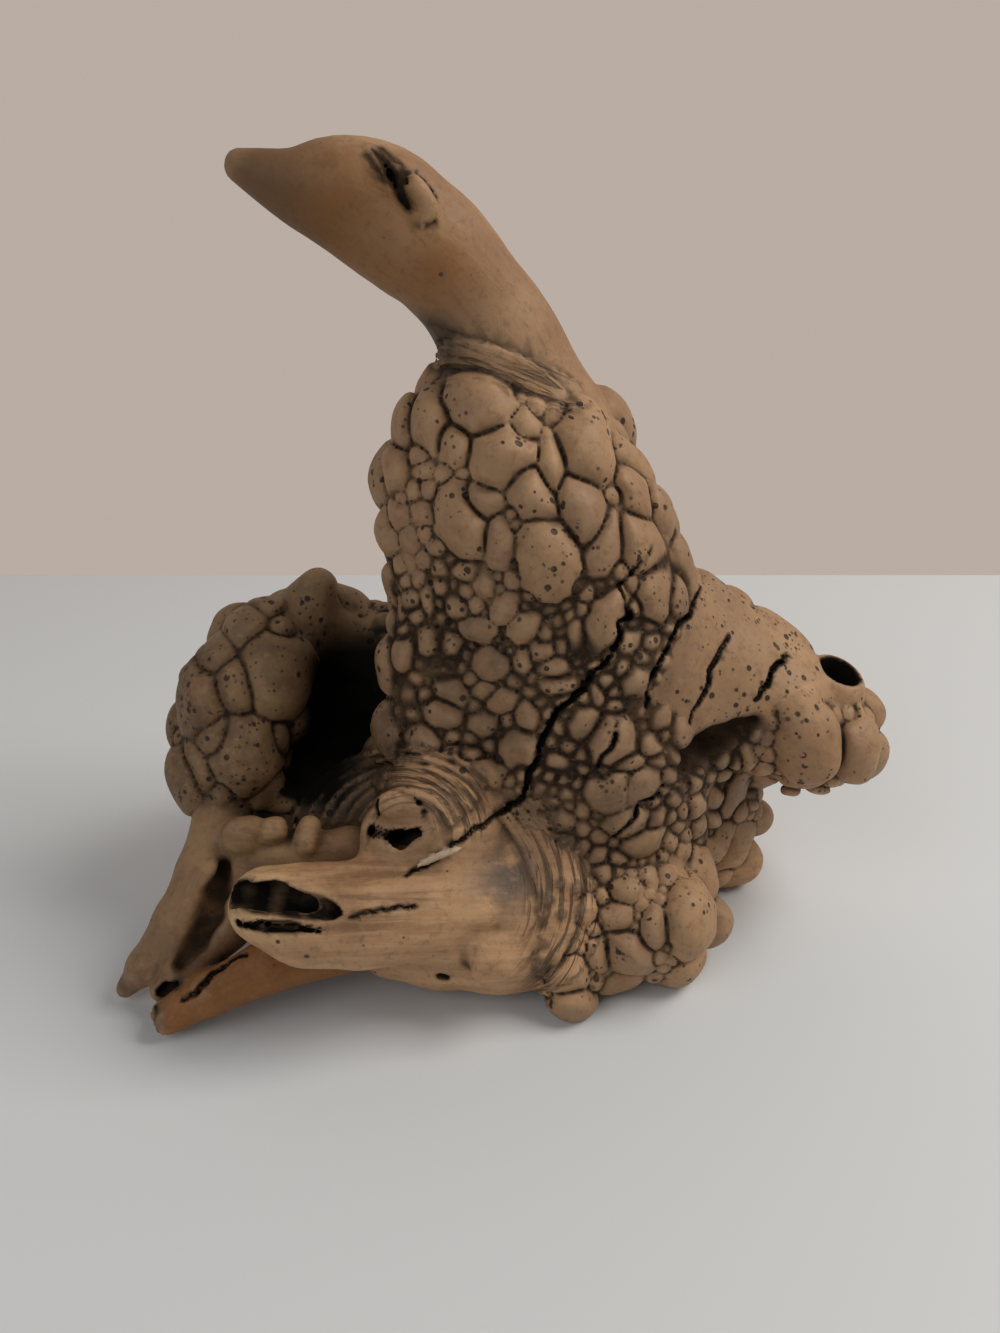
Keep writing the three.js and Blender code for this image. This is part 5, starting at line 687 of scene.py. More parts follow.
    (-10.8, -29.5, 173.3, 1.9, 1.7, 1.1, -2, -15.6, 122.6),
    (46.3, -46.8, 48.7, 2, 2, 1.3, 9.3, -36, 102.7),
    (-8.1, -35.4, 120.4, 2.1, 1.9, 1.3, -1.6, -24.9, 173.1),
    (0.7, -41.5, 92.6, 2.3, 1.8, 1.3, 0.1, -29.7, 153.2),
    (7.6, -41.6, 136.6, 2.3, 2.3, 1.5, 1.5, -22.7, 74.6),
    (40.6, -37.7, 128.6, 2, 1.6, 1.1, 7.9, -23.5, 106.3),
    (-14.8, -31.3, 147.3, 2, 1.7, 1.2, -2.8, -20.1, 64.8),
    (-12, -43.5, 82.1, 2.4, 1.9, 1.4, -2.4, -31.4, 102.4),
    (52.3, -44.1, 73.7, 2.6, 1.9, 1.4, 10.4, -32.2, 171.7),
    (22.2, -41, 142.6, 2.3, 2, 1.4, 4.4, -21.5, 144.3),
    (33.5, -26.9, 165.7, 2, 1.9, 1.3, 6.3, -16.7, 65.4),
    (-31.1, -22.8, 123.7, 1.9, 1.4, 1, -5.8, -23.3, 92),
    (-19.6, -32.7, 113.2, 2.1, 1.8, 1.2, -3.8, -25.8, 84.9),
    (-14.6, -32.1, 125.7, 2.1, 2.1, 1.3, -2.8, -23.8, 0.7),
    (48.7, -38.1, 111.2, 2.1, 1.8, 1.2, 9.5, -26.2, 50.2),
    (62.9, -34.4, 48.5, 2.5, 2.4, 1.6, 12, -34.6, 10.4),
    (48.4, -54.7, 40.4, 2.5, 2.4, 1.6, 10, -37.8, 16),
    (44.6, -59.5, 35.2, 2.1, 1.9, 1.3, 9.4, -39, 129.7),
    (54, -63, 25.7, 2.2, 2.2, 1.4, 11.4, -40.3, 43.1),
    (27.1, -63.6, 28.8, 2.2, 1.6, 1.2, 5.8, -40.4, 106.7),
    (44.3, -35.4, -21.6, 2.3, 2, 1.3, 8.6, -43.1, 131.6),
    (35.4, -62.8, 14.1, 2.1, 1.5, 1.1, 7.6, -42, 17.6),
    (53.8, -53.1, 40.5, 2, 1.4, 1.1, 11, -37.5, 5.2),
    (38.5, -50.7, 45.2, 2.3, 2.2, 1.4, 7.9, -36.9, 63.1),
    (42.8, -50.4, 44.8, 2.1, 1.7, 1.2, 8.7, -36.9, 170.1),
    (48.5, -31.9, -22.6, 2.3, 1.8, 1.3, 9.2, -42.8, 158.1),
    (117.9, -17.2, 63.3, 2.1, 1.8, 1.3, 20.7, -30.1, 42.2),
    (110.1, -15.4, 87.1, 2.3, 1.7, 1.3, 19.3, -27, 163.9),
    (66.4, -32.1, 73.5, 2.1, 2, 1.3, 12.6, -31, 96.4),
    (97.5, -12.2, 58.1, 2.4, 1.9, 1.3, 17.1, -30.9, 15.7),
    (45.1, -47.2, 69.4, 1.7, 1.4, 1, 9.1, -33.2, 51),
    (-4.7, -37.6, 132.5, 1.8, 1.6, 1.1, -0.9, -23.1, 143.4),
    (26.2, -45.5, 112.7, 2, 1.7, 1.2, 5.3, -26.8, 174.4),
    (-15, -33.7, 113.4, 2.1, 1.9, 1.3, -2.9, -25.8, 43.3),
    (29.9, -50.3, 65.5, 1.7, 1.5, 1, 6.1, -34.2, 12.5),
    (32.8, -43.9, 116.7, 1.7, 1.5, 1, 6.5, -26, 160.3),
    (3.1, -40.9, 121.3, 1.6, 1.2, 0.9, 0.6, -25.1, 4.3),
    (25, -50.8, 74.9, 1.6, 1.3, 0.9, 5.1, -33, 5.8),
    (0.6, -39.9, 121.7, 1.7, 1.2, 0.9, 0.1, -25, 65.4),
    (29.6, -39.3, 141.7, 1.6, 1.2, 0.9, 5.8, -21.5, 25.6),
    (-14.2, -32, 139, 1.9, 1.4, 1, -2.7, -21.6, 114.9),
    (-28, -23.7, 144.2, 2, 1.6, 1.1, -5.2, -20.1, 51.3),
    (-18.8, -37.7, 91.1, 1.8, 1.3, 1, -3.7, -29.5, 88.7),
    (-3.2, -38.2, 136.9, 1.6, 1.5, 1, -0.6, -22.4, 87.4),
    (-12.1, -37.9, 93.2, 1.9, 1.4, 1, -2.4, -29.3, 151.3),
    (24.8, -45.2, 116.4, 1.9, 1.8, 1.2, 5, -26.2, 56.7),
    (-30.3, -34.2, 84.4, 2, 1.5, 1.1, -5.8, -30.1, 173),
    (-22.4, -32.5, 107.3, 1.9, 1.7, 1.1, -4.3, -26.6, 54.4),
    (0.1, -39.4, 140.6, 2, 1.9, 1.2, 0, -21.8, 139.3),
    (-10.9, -37.4, 95.6, 1.6, 1.3, 0.9, -2.1, -28.9, 69),
    (-0.6, -39.4, 125.1, 1.8, 1.7, 1.1, -0.1, -24.4, 76.5),
    (11.2, -43.9, 118, 1.5, 1.1, 0.8, 2.2, -25.9, 81.4),
    (29.7, -40, 139.6, 1.7, 1.2, 0.9, 5.8, -21.9, 175.5),
    (-30.8, -34.6, 81.8, 1.7, 1.6, 1, -6, -30.5, 103.2),
    (-33.6, -16.3, 131.5, 1.6, 1.4, 1, -6.1, -21.7, 13.7),
    (47.2, -40.6, 103.3, 1.6, 1.2, 0.9, 9.3, -27.7, 118.2),
    (-30, -32.6, 91.1, 2, 2, 1.3, -5.8, -29, 71),
    (50.3, -45.1, 48.1, 1.8, 1.4, 1, 10, -35.8, 120.2),
    (-30.1, -21, 163.2, 1.6, 1.3, 0.9, -5.6, -16.8, 23.8),
    (22.4, -50.6, 71.5, 1.8, 1.7, 1.1, 4.6, -33.5, 162.8),
    (43.4, -47.8, 48.8, 1.8, 1.8, 1.1, 8.7, -36.1, 34.2),
    (0.6, -39.9, 128.3, 1.6, 1.5, 1, 0.1, -23.9, 55.1),
    (3.2, -37, 162.7, 1.8, 1.7, 1.1, 0.6, -17.8, 159.1),
    (13, -47.6, 86.5, 1.6, 1.5, 1, 2.6, -31.1, 86.1),
    (4, -39.6, 148.4, 1.5, 1.1, 0.8, 0.8, -20.5, 66.4),
    (6.4, -20.7, 193.4, 1.6, 1.2, 0.9, 1.2, -11.6, 60.6),
    (22.8, -50, 82.8, 1.6, 1.2, 0.9, 4.7, -31.8, 107.2),
    (18.1, -43.2, 128.9, 1.8, 1.4, 1, 3.6, -24, 171.4),
    (0.3, -40.1, 110.4, 1.9, 1.4, 1, 0.1, -26.8, 13),
    (29.8, -65.1, 16.8, 1.9, 1.9, 1.2, 6.4, -42, 76.1),
    (54.6, -61.9, 15.2, 2.1, 2, 1.3, 11.5, -41.5, 88.9),
    (61.2, -57.7, 13.6, 1.8, 1.4, 1, 12.7, -41.1, 168.5),
    (13.9, -68.4, 16.2, 1.7, 1.5, 1, 3, -42.6, 47.4),
    (87.8, -22.3, 75.6, 2.2, 2.2, 1.4, 15.9, -29.6, 115.6),
    (68.7, -28.4, 62.6, 1.9, 1.6, 1.1, 12.8, -32.2, 165.1),
    (114.4, -17.9, 64.1, 1.8, 1.4, 1, 20.1, -30.1, 78.3),
    (77.4, -16.2, 57.4, 1.8, 1.3, 1, 13.9, -31.7, 70.2),
    (94.2, -1.6, 35.5, 2.1, 1.8, 1.2, 16, -33, 116),
]

# Smooth swellings: knobs by the hollow, the bulge of the root, the knot on the head.
SWELLINGS = [
    (-75, -41.86, 56.36, 4.54, 4.54, 8, -14.59, -33.98, 0),
    (-85.18, -39.27, 52.95, 7.2, 6.55, 9, -16.33, -33.96, 0),
    (-63.81, -42.86, 53.87, 4.22, 7.14, 8, -12.53, -34.63, 12),
    (-2.87, -69.36, 28.32, 10.33, 9.08, 9, -0.63, -41.26, 0),
    (-87.36, -42.75, 41.2, 3.68, 4.02, 4, -16.91, -35.71, 0),
    (-21.58, -20.58, 245.21, 3.75, 7.24, 2.6, -3.99, -2.18, -25),
    (-30.79, -52.68, 72.97, 7.5, 5, 5, -6.34, -33.41, 10),
    (85.21, 0, 14.27, 13.82, 9.21, 4.5, -10.52, -25.46, -12),
]

# Raised fibres: stations (x, y, z, radius).
FIBRES = [
    [(-18.55, -9.64, 207.5, 0.47), (-15.71, -12.85, 208.06, 0.57), (-12.85, -14.82, 208.83, 0.67), (-8.31, -16.26, 207.97, 0.73), (-4.28, -16.8, 207.09, 0.79), (0.07, -16.97, 205.73, 0.79), (4.27, -16.76, 204.17, 0.8), (8.44, -16.21, 202.06, 0.74), (13, -15.33, 199.53, 0.68), (15.35, -15.41, 197.04, 0.57), (18.08, -15.01, 194.78, 0.47)],
    [(-18.79, -8.13, 206.11, 0.47), (-15.66, -12.07, 206.7, 0.57), (-12.77, -14.52, 207.56, 0.67), (-8.82, -15.77, 206.46, 0.73), (-4.27, -16.75, 205.86, 0.79), (0.1, -17.16, 204.59, 0.79), (4.48, -16.97, 202.97, 0.8), (8.77, -16.42, 200.92, 0.74), (13.41, -15.56, 198.4, 0.68), (15.99, -15.63, 196.08, 0.58), (18.68, -15.21, 193.94, 0.47)],
    [(-19.08, -5.91, 204.58, 0.48), (-16.03, -11.23, 205.85, 0.57), (-12.7, -13.97, 206.25, 0.68), (-8.69, -15.66, 205.61, 0.73), (-4.26, -16.7, 204.62, 0.79), (0.45, -17.09, 203.49, 0.8), (4.68, -17.18, 201.77, 0.8), (9.38, -16.72, 199.36, 0.74), (13.8, -16.03, 197.33, 0.68), (16.46, -15.8, 195.36, 0.58), (19.28, -15.42, 193.09, 0.47)],
    [(-19.5, -1.28, 202.6, 0.48), (-15.76, -10.71, 204.32, 0.58), (-12.64, -13.43, 204.93, 0.68), (-8.43, -15.55, 204.64, 0.74), (-4.25, -16.66, 203.37, 0.8), (0.38, -17.29, 202.38, 0.8), (4.89, -17.4, 200.56, 0.8), (9.67, -17.18, 198.34, 0.74), (14.2, -16.51, 196.26, 0.68), (17.17, -16.09, 194.12, 0.58), (19.87, -15.88, 192.3, 0.47)],
    [(-19.74, -0.03, 201.12, 0.49), (-15.69, -9.93, 202.95, 0.58), (-12.57, -12.9, 203.6, 0.68), (-8.58, -15.09, 202.95, 0.74), (-4.25, -16.62, 202.12, 0.8), (0.36, -17.56, 200.85, 0.8), (5.09, -17.62, 199.34, 0.8), (9.92, -17.35, 197.49, 0.74), (14.59, -17, 195.18, 0.68), (17.7, -16.26, 193.47, 0.58), (20.47, -16.1, 191.46, 0.47)],
    [(-20.02, 1.2, 199.47, 0.49), (-15.95, -8.68, 201.55, 0.58), (-12.48, -12.61, 202.28, 0.68), (-8.42, -14.99, 202.03, 0.74), (-4.24, -16.59, 200.86, 0.8), (0.53, -17.81, 199.44, 0.8), (5.3, -18.1, 198.17, 0.8), (10.3, -17.86, 196.24, 0.74), (14.99, -17.49, 194.11, 0.68), (18.41, -17.1, 192.07, 0.58), (21.07, -16.34, 190.6, 0.47)],
    [(-20.37, 1.2, 198.06, 0.49), (-16.43, -7.61, 200.63, 0.59), (-12.4, -12.33, 200.94, 0.68), (-8.07, -15.07, 200.07, 0.74), (-4.25, -16.82, 199.58, 0.8), (0.85, -18, 198.45, 0.8), (5.5, -18.34, 196.95, 0.8), (10.4, -18.59, 195.13, 0.74), (15.38, -17.98, 193.04, 0.68), (18.76, -17.29, 191.27, 0.58), (21.83, -20.93, 190.55, 0.46)],
    [(0, -48.38, 67.84, 0.61), (4.28, -49.43, 61.49, 0.76), (8.97, -53.51, 56.76, 0.91), (10.84, -58.26, 51.7, 0.96), (13, -62.31, 46.56, 1.01), (13.39, -65.77, 41.86, 0.95), (14.23, -68.4, 36, 0.9), (12.94, -70.25, 29.17, 0.75), (11.86, -70.4, 21.43, 0.61)],
    [(1.74, -47.16, 68.33, 0.61), (6.15, -49.1, 62, 0.76), (10.98, -53.19, 57.31, 0.91), (12.87, -57.56, 51.9, 0.96), (14.74, -61.7, 46.64, 1.02), (14.75, -65.54, 41.44, 0.95), (15.33, -68.05, 35.71, 0.9), (13.9, -70.02, 29.49, 0.75), (12.53, -69.98, 20.81, 0.61)],
    [(3.49, -46.36, 69.11, 0.61), (8.32, -49.13, 63.37, 0.76), (13, -52.88, 57.86, 0.91), (14.9, -56.96, 52.02, 0.96), (16.5, -60.9, 46.58, 1.02), (16.06, -64.78, 41.68, 0.96), (16.43, -67.9, 35.58, 0.9), (14.79, -69.65, 28.83, 0.75), (13.18, -69.75, 20.36, 0.61)],
    [(5.23, -46.19, 70.3, 0.61), (10.18, -49.28, 64.12, 0.76), (15.01, -52.58, 58.42, 0.91), (16.54, -56.08, 52.47, 0.97), (18.27, -60.11, 46.52, 1.02), (17.48, -64.57, 41.25, 0.96), (17.51, -67.94, 35.62, 0.9), (15.66, -69.42, 28.39, 0.75), (13.85, -69.33, 19.74, 0.61)],
    [(6.94, -46.87, 72.05, 0.61), (12.26, -49.4, 65.39, 0.76), (17.04, -52.08, 58.85, 0.91), (18.61, -55.68, 52.36, 0.97), (20.04, -59.32, 46.47, 1.02), (19.48, -63.69, 40.92, 0.96), (18.59, -67.98, 35.66, 0.9), (16.46, -69.17, 28.35, 0.75), (14.52, -69.1, 19.29, 0.61)],
    [(8.64, -47.57, 73.8, 0.6), (13.74, -49.51, 66.67, 0.76), (19.07, -51.6, 59.28, 0.91), (20.5, -54.81, 52.45, 0.97), (21.84, -58.34, 46.28, 1.03), (20.74, -62.99, 40.71, 0.96), (19.71, -67.65, 35.37, 0.9), (17.52, -68.91, 27.59, 0.76), (15.18, -68.87, 18.84, 0.61)],
    [(10.33, -48.08, 75.42, 0.6), (15.58, -49.7, 67.41, 0.75), (21.08, -51.33, 59.86, 0.91), (22.35, -53.96, 52.53, 0.97), (23.65, -57.37, 46.09, 1.03), (22.01, -62.13, 40.7, 0.96), (20.83, -67.12, 34.93, 0.9), (18.3, -68.67, 27.54, 0.76), (15.83, -68.83, 18.56, 0.61)],
    [(12.01, -48.59, 77.03, 0.6), (17.37, -50.01, 68.91, 0.75), (23.12, -50.87, 60.31, 0.91), (23.96, -53.02, 53.14, 0.97), (25.46, -56.4, 45.91, 1.03), (23.43, -61.55, 40.37, 0.97), (22.01, -66.03, 34.01, 0.9), (19.05, -68.38, 27.17, 0.76), (16.47, -68.97, 18.45, 0.61)],
    [(-47.92, -28.22, 51.03, 0.56), (-46.54, -27.98, 53.76, 0.66), (-44.76, -27.59, 56.2, 0.76), (-39.77, -45.18, 70.07, 0.79), (-37.58, -46.34, 72.43, 0.87), (-34.98, -48.32, 74.41, 0.9), (-31.99, -49.65, 76.43, 0.94), (-28.88, -51.96, 77.41, 0.93), (-26.38, -52.72, 78.16, 0.93), (-23.9, -54.24, 77.78, 0.88), (-21.41, -55.15, 77.44, 0.84), (-19.37, -56.62, 76.34, 0.76), (-17.57, -57.66, 75.06, 0.69), (-16.29, -58.85, 73.16, 0.59), (-15.33, -59.6, 71.09, 0.5)],
    [(-52.79, -27.01, 49.96, 0.56), (-51.2, -26.14, 53.09, 0.66), (-49.37, -25.52, 55.84, 0.77), (-46.35, -25.34, 58.61, 0.85), (-43.86, -24.87, 60.63, 0.93), (-40.75, -25.24, 62.17, 0.97), (-34.64, -44.34, 75.9, 0.95), (-30.7, -47.67, 78.37, 0.94), (-27.31, -49.57, 79.51, 0.93), (-24.08, -52.02, 79.4, 0.89), (-20.78, -52.66, 79.37, 0.84), (-18.31, -54.3, 78.41, 0.77), (-15.52, -55.41, 76.9, 0.69), (-13.58, -56.76, 74.7, 0.6), (-12.08, -57.79, 72.61, 0.5)],
    [(-57.77, -26.09, 48.59, 0.56), (-56.28, -24.66, 52.09, 0.67), (-54.39, -23.35, 54.93, 0.77), (-51.45, -22.51, 57.74, 0.86), (-48.27, -22, 60.53, 0.94), (-44.39, -22.35, 62.83, 0.98), (-40.24, -22.13, 64.63, 1.02), (-33.8, -40.09, 76.84, 0.96), (-29.15, -45.02, 79.97, 0.94), (-25.19, -47.89, 80.93, 0.89), (-20.95, -49.53, 81.06, 0.85), (-17.71, -51.35, 80.16, 0.77), (-14.15, -52.42, 78.64, 0.7), (-11.49, -53.66, 76.53, 0.6), (-9.34, -54.95, 74, 0.5)],
    [(-62.81, -25.27, 46.77, 0.56), (-60.99, -24.12, 50.16, 0.67), (-59.6, -21.9, 53.99, 0.78), (-56.84, -20.16, 56.79, 0.86), (-53.34, -18.6, 59.66, 0.94), (-48.46, -19.31, 62.47, 0.98), (-44.28, -18.86, 65.06, 1.03), (-38.81, -19.82, 66.64, 1.02), (-32.13, -37.42, 78.48, 0.96), (-26.55, -43.92, 81.34, 0.9), (-21.97, -45.58, 82.32, 0.86), (-17.52, -48.09, 81.56, 0.78), (-13.54, -48.92, 80.35, 0.7), (-10.47, -50.31, 78.42, 0.6), (-7.19, -51.29, 75.36, 0.51)],
    [(-68.08, -23.53, 43.78, 0.57), (-66.58, -22.43, 48.49, 0.67), (-65.09, -20.38, 52.45, 0.78), (-62.22, -18.36, 55.58, 0.87), (-58.84, -15.74, 58.65, 0.95), (-53.76, -15.03, 61.19, 1), (-49.28, -13.97, 64.13, 1.04), (-43.54, -15.65, 66.77, 1.03), (-35.7, -32.09, 78.25, 0.98), (-29.69, -37.24, 81.25, 0.92), (-23.81, -41.91, 83.78, 0.86), (-18.7, -43.62, 83.22, 0.78), (-13.75, -44.96, 82.02, 0.71), (-9.98, -46.44, 79.85, 0.61), (-5.73, -47.05, 76.82, 0.51)],
    [(-68.88, -40.55, 53.44, 0.54), (-72.33, -20.16, 45.15, 0.68), (-70.98, -17.97, 49.76, 0.79), (-67.46, -16.08, 54.23, 0.87), (-64.76, -13.03, 57.18, 0.96), (-60.2, -10.06, 59.55, 1.01), (-55.42, -6.65, 61.3, 1.06), (-48.7, -8.97, 64.95, 1.05), (-39.93, -28.06, 78.55, 0.99), (-33.31, -33.62, 82.09, 0.93), (-26.25, -41.15, 86.89, 0.86), (-20.41, -41.41, 85.15, 0.79), (-14.8, -41.63, 84.21, 0.71), (-9.91, -43.82, 82.17, 0.61), (-5.01, -45.86, 80.57, 0.51)],
]

# Hollows and slots, and cracks at three depths: stations (x, y, z, radius).
HOLLOWS = [
    [(-82.63, -79, 59.67, 3.57), (-75.31, -81, 60.14, 4.87), (-66.25, -82, 60.2, 5.45), (-57.6, -82, 57.99, 4.43), (-50.8, -80, 53.77, 2.39), (-44.52, -79, 51.07, 1.08)],
    [(-84.61, -73, 54.96, 3.2), (-77.12, -75, 55.4, 4.54), (-67.85, -76, 55.44, 5.13), (-58.99, -76, 53.18, 4.08), (-52.02, -74, 48.89, 1.99), (-45.59, -73, 46.15, 0.65)],
    [(-77.61, -81.1, 50.54, 1.19), (-70.59, -83.11, 51.08, 1.84), (-62.23, -83.59, 50.95, 1.72), (-53.57, -83.34, 49.61, 0.89)],
    [(-74.63, -79.02, 49.38, 1.01), (-68.45, -79.95, 49.05, 1.36), (-61.15, -80.55, 48.71, 1.24), (-56.44, -80.44, 47.87, 0.77)],
    [(-38.77, -53.44, 63.46, 3.14), (-30.83, -56.69, 64.14, 3.73), (-24.48, -57.4, 67.01, 2.47), (-20.7, -57.53, 68.48, 1.23)],
    [(-36.12, -50.07, 60.93, 2.82), (-29.7, -52.05, 62.03, 3.11), (-25.26, -52.24, 64.19, 2.17)],
    [(-33.54, -17.88, 257.58, 0.8), (-30.85, -19.56, 255.09, 1.22), (-29, -20.87, 252.35, 1.48), (-27.46, -22.01, 249.37, 1.33), (-25.94, -22.46, 246.31, 1.01), (-24.42, -22.44, 243.43, 0.64)],
    [(-31.53, -16.84, 254.01, 0.95), (-29.7, -18.08, 251.49, 1.27), (-28.2, -19.17, 248.76, 1.11)],
    [(-28.87, -21.18, 252.98, 0.8), (-25.13, -19.37, 252.47, 1.07)],
    [(-35.54, -20.24, 257.8, 0.58), (-32.59, -22.42, 254.06, 0.84), (-30.27, -23.47, 250.78, 0.63)],
    [(-31.43, -16.23, 258.67, 0.64), (-27.91, -18.37, 255.86, 0.91), (-25.87, -18.2, 254.67, 0.59)],
    [(-27.72, -23.26, 249.35, 0.69), (-26.25, -21.09, 251.67, 0.75), (-24.45, -21.23, 249.75, 0.53)],
    [(-110.16, -68.85, 12, 1.62), (-107.12, -69.06, 13.93, 2.26), (-103.85, -69.56, 15.75, 1.29)],
    [(-18.23, -69.03, 19.25, 2.09)],
    [(-17.82, -65.71, 20.27, 1.61)],
    [(-43.24, -23.48, 257.3, 0.68), (-43.44, -24.5, 255.92, 0.42)],
    [(-38.74, -46.59, 70.16, 0.96), (-37.69, -51.49, 69.73, 1.07)],
    [(-33.94, -48.66, 74.23, 0.95), (-30.55, -51.24, 75.59, 0.75)],
    [(-27.61, -53.39, 75.91, 0.81), (-25.05, -55.12, 75.61, 0.81)],
    [(-31.72, -53.76, 72.84, 0.75), (-27.84, -55.65, 73.42, 0.81)],
    [(-23.47, -57.31, 73.82, 0.68)],
    [(-110.02, -77.57, 11.11, 1.91), (-110.58, -78.67, 8.7, 1.91), (-109.99, -79.58, 5.98, 1.59)],
]
RECESSES = [
    [(-92.98, -43.92, 43.04, 1.99), (-93.78, -49.92, 37.54, 2.96), (-94.54, -57.42, 33.52, 3.24), (-98.29, -61.68, 26.39, 2.27), (-103.4, -66.21, 21.03, 1.29)],
    [(60.34, -35.55, 80.58, 5.18), (69.7, -27.31, 80.53, 6.29), (78.49, -23.37, 83.76, 4), (83.83, -22.16, 86.77, 2)],
    [(-48.12, -24.37, 261.57, 3.68), (-48.66, -29.17, 255.21, 3.66), (-50.98, -30.43, 248.15, 3.42)],
    [(-1.06, -72.51, 40.87, 1.55), (-6.97, -75.49, 40.16, 2.01), (-11.06, -76.6, 36.28, 2.17), (-10.71, -74.34, 27.39, 1.57)],
    [(-51.35, -73.11, 60.36, 1.51), (-42.68, -69.6, 60.77, 1.83), (-32.2, -67.51, 59.09, 1.54)],
]
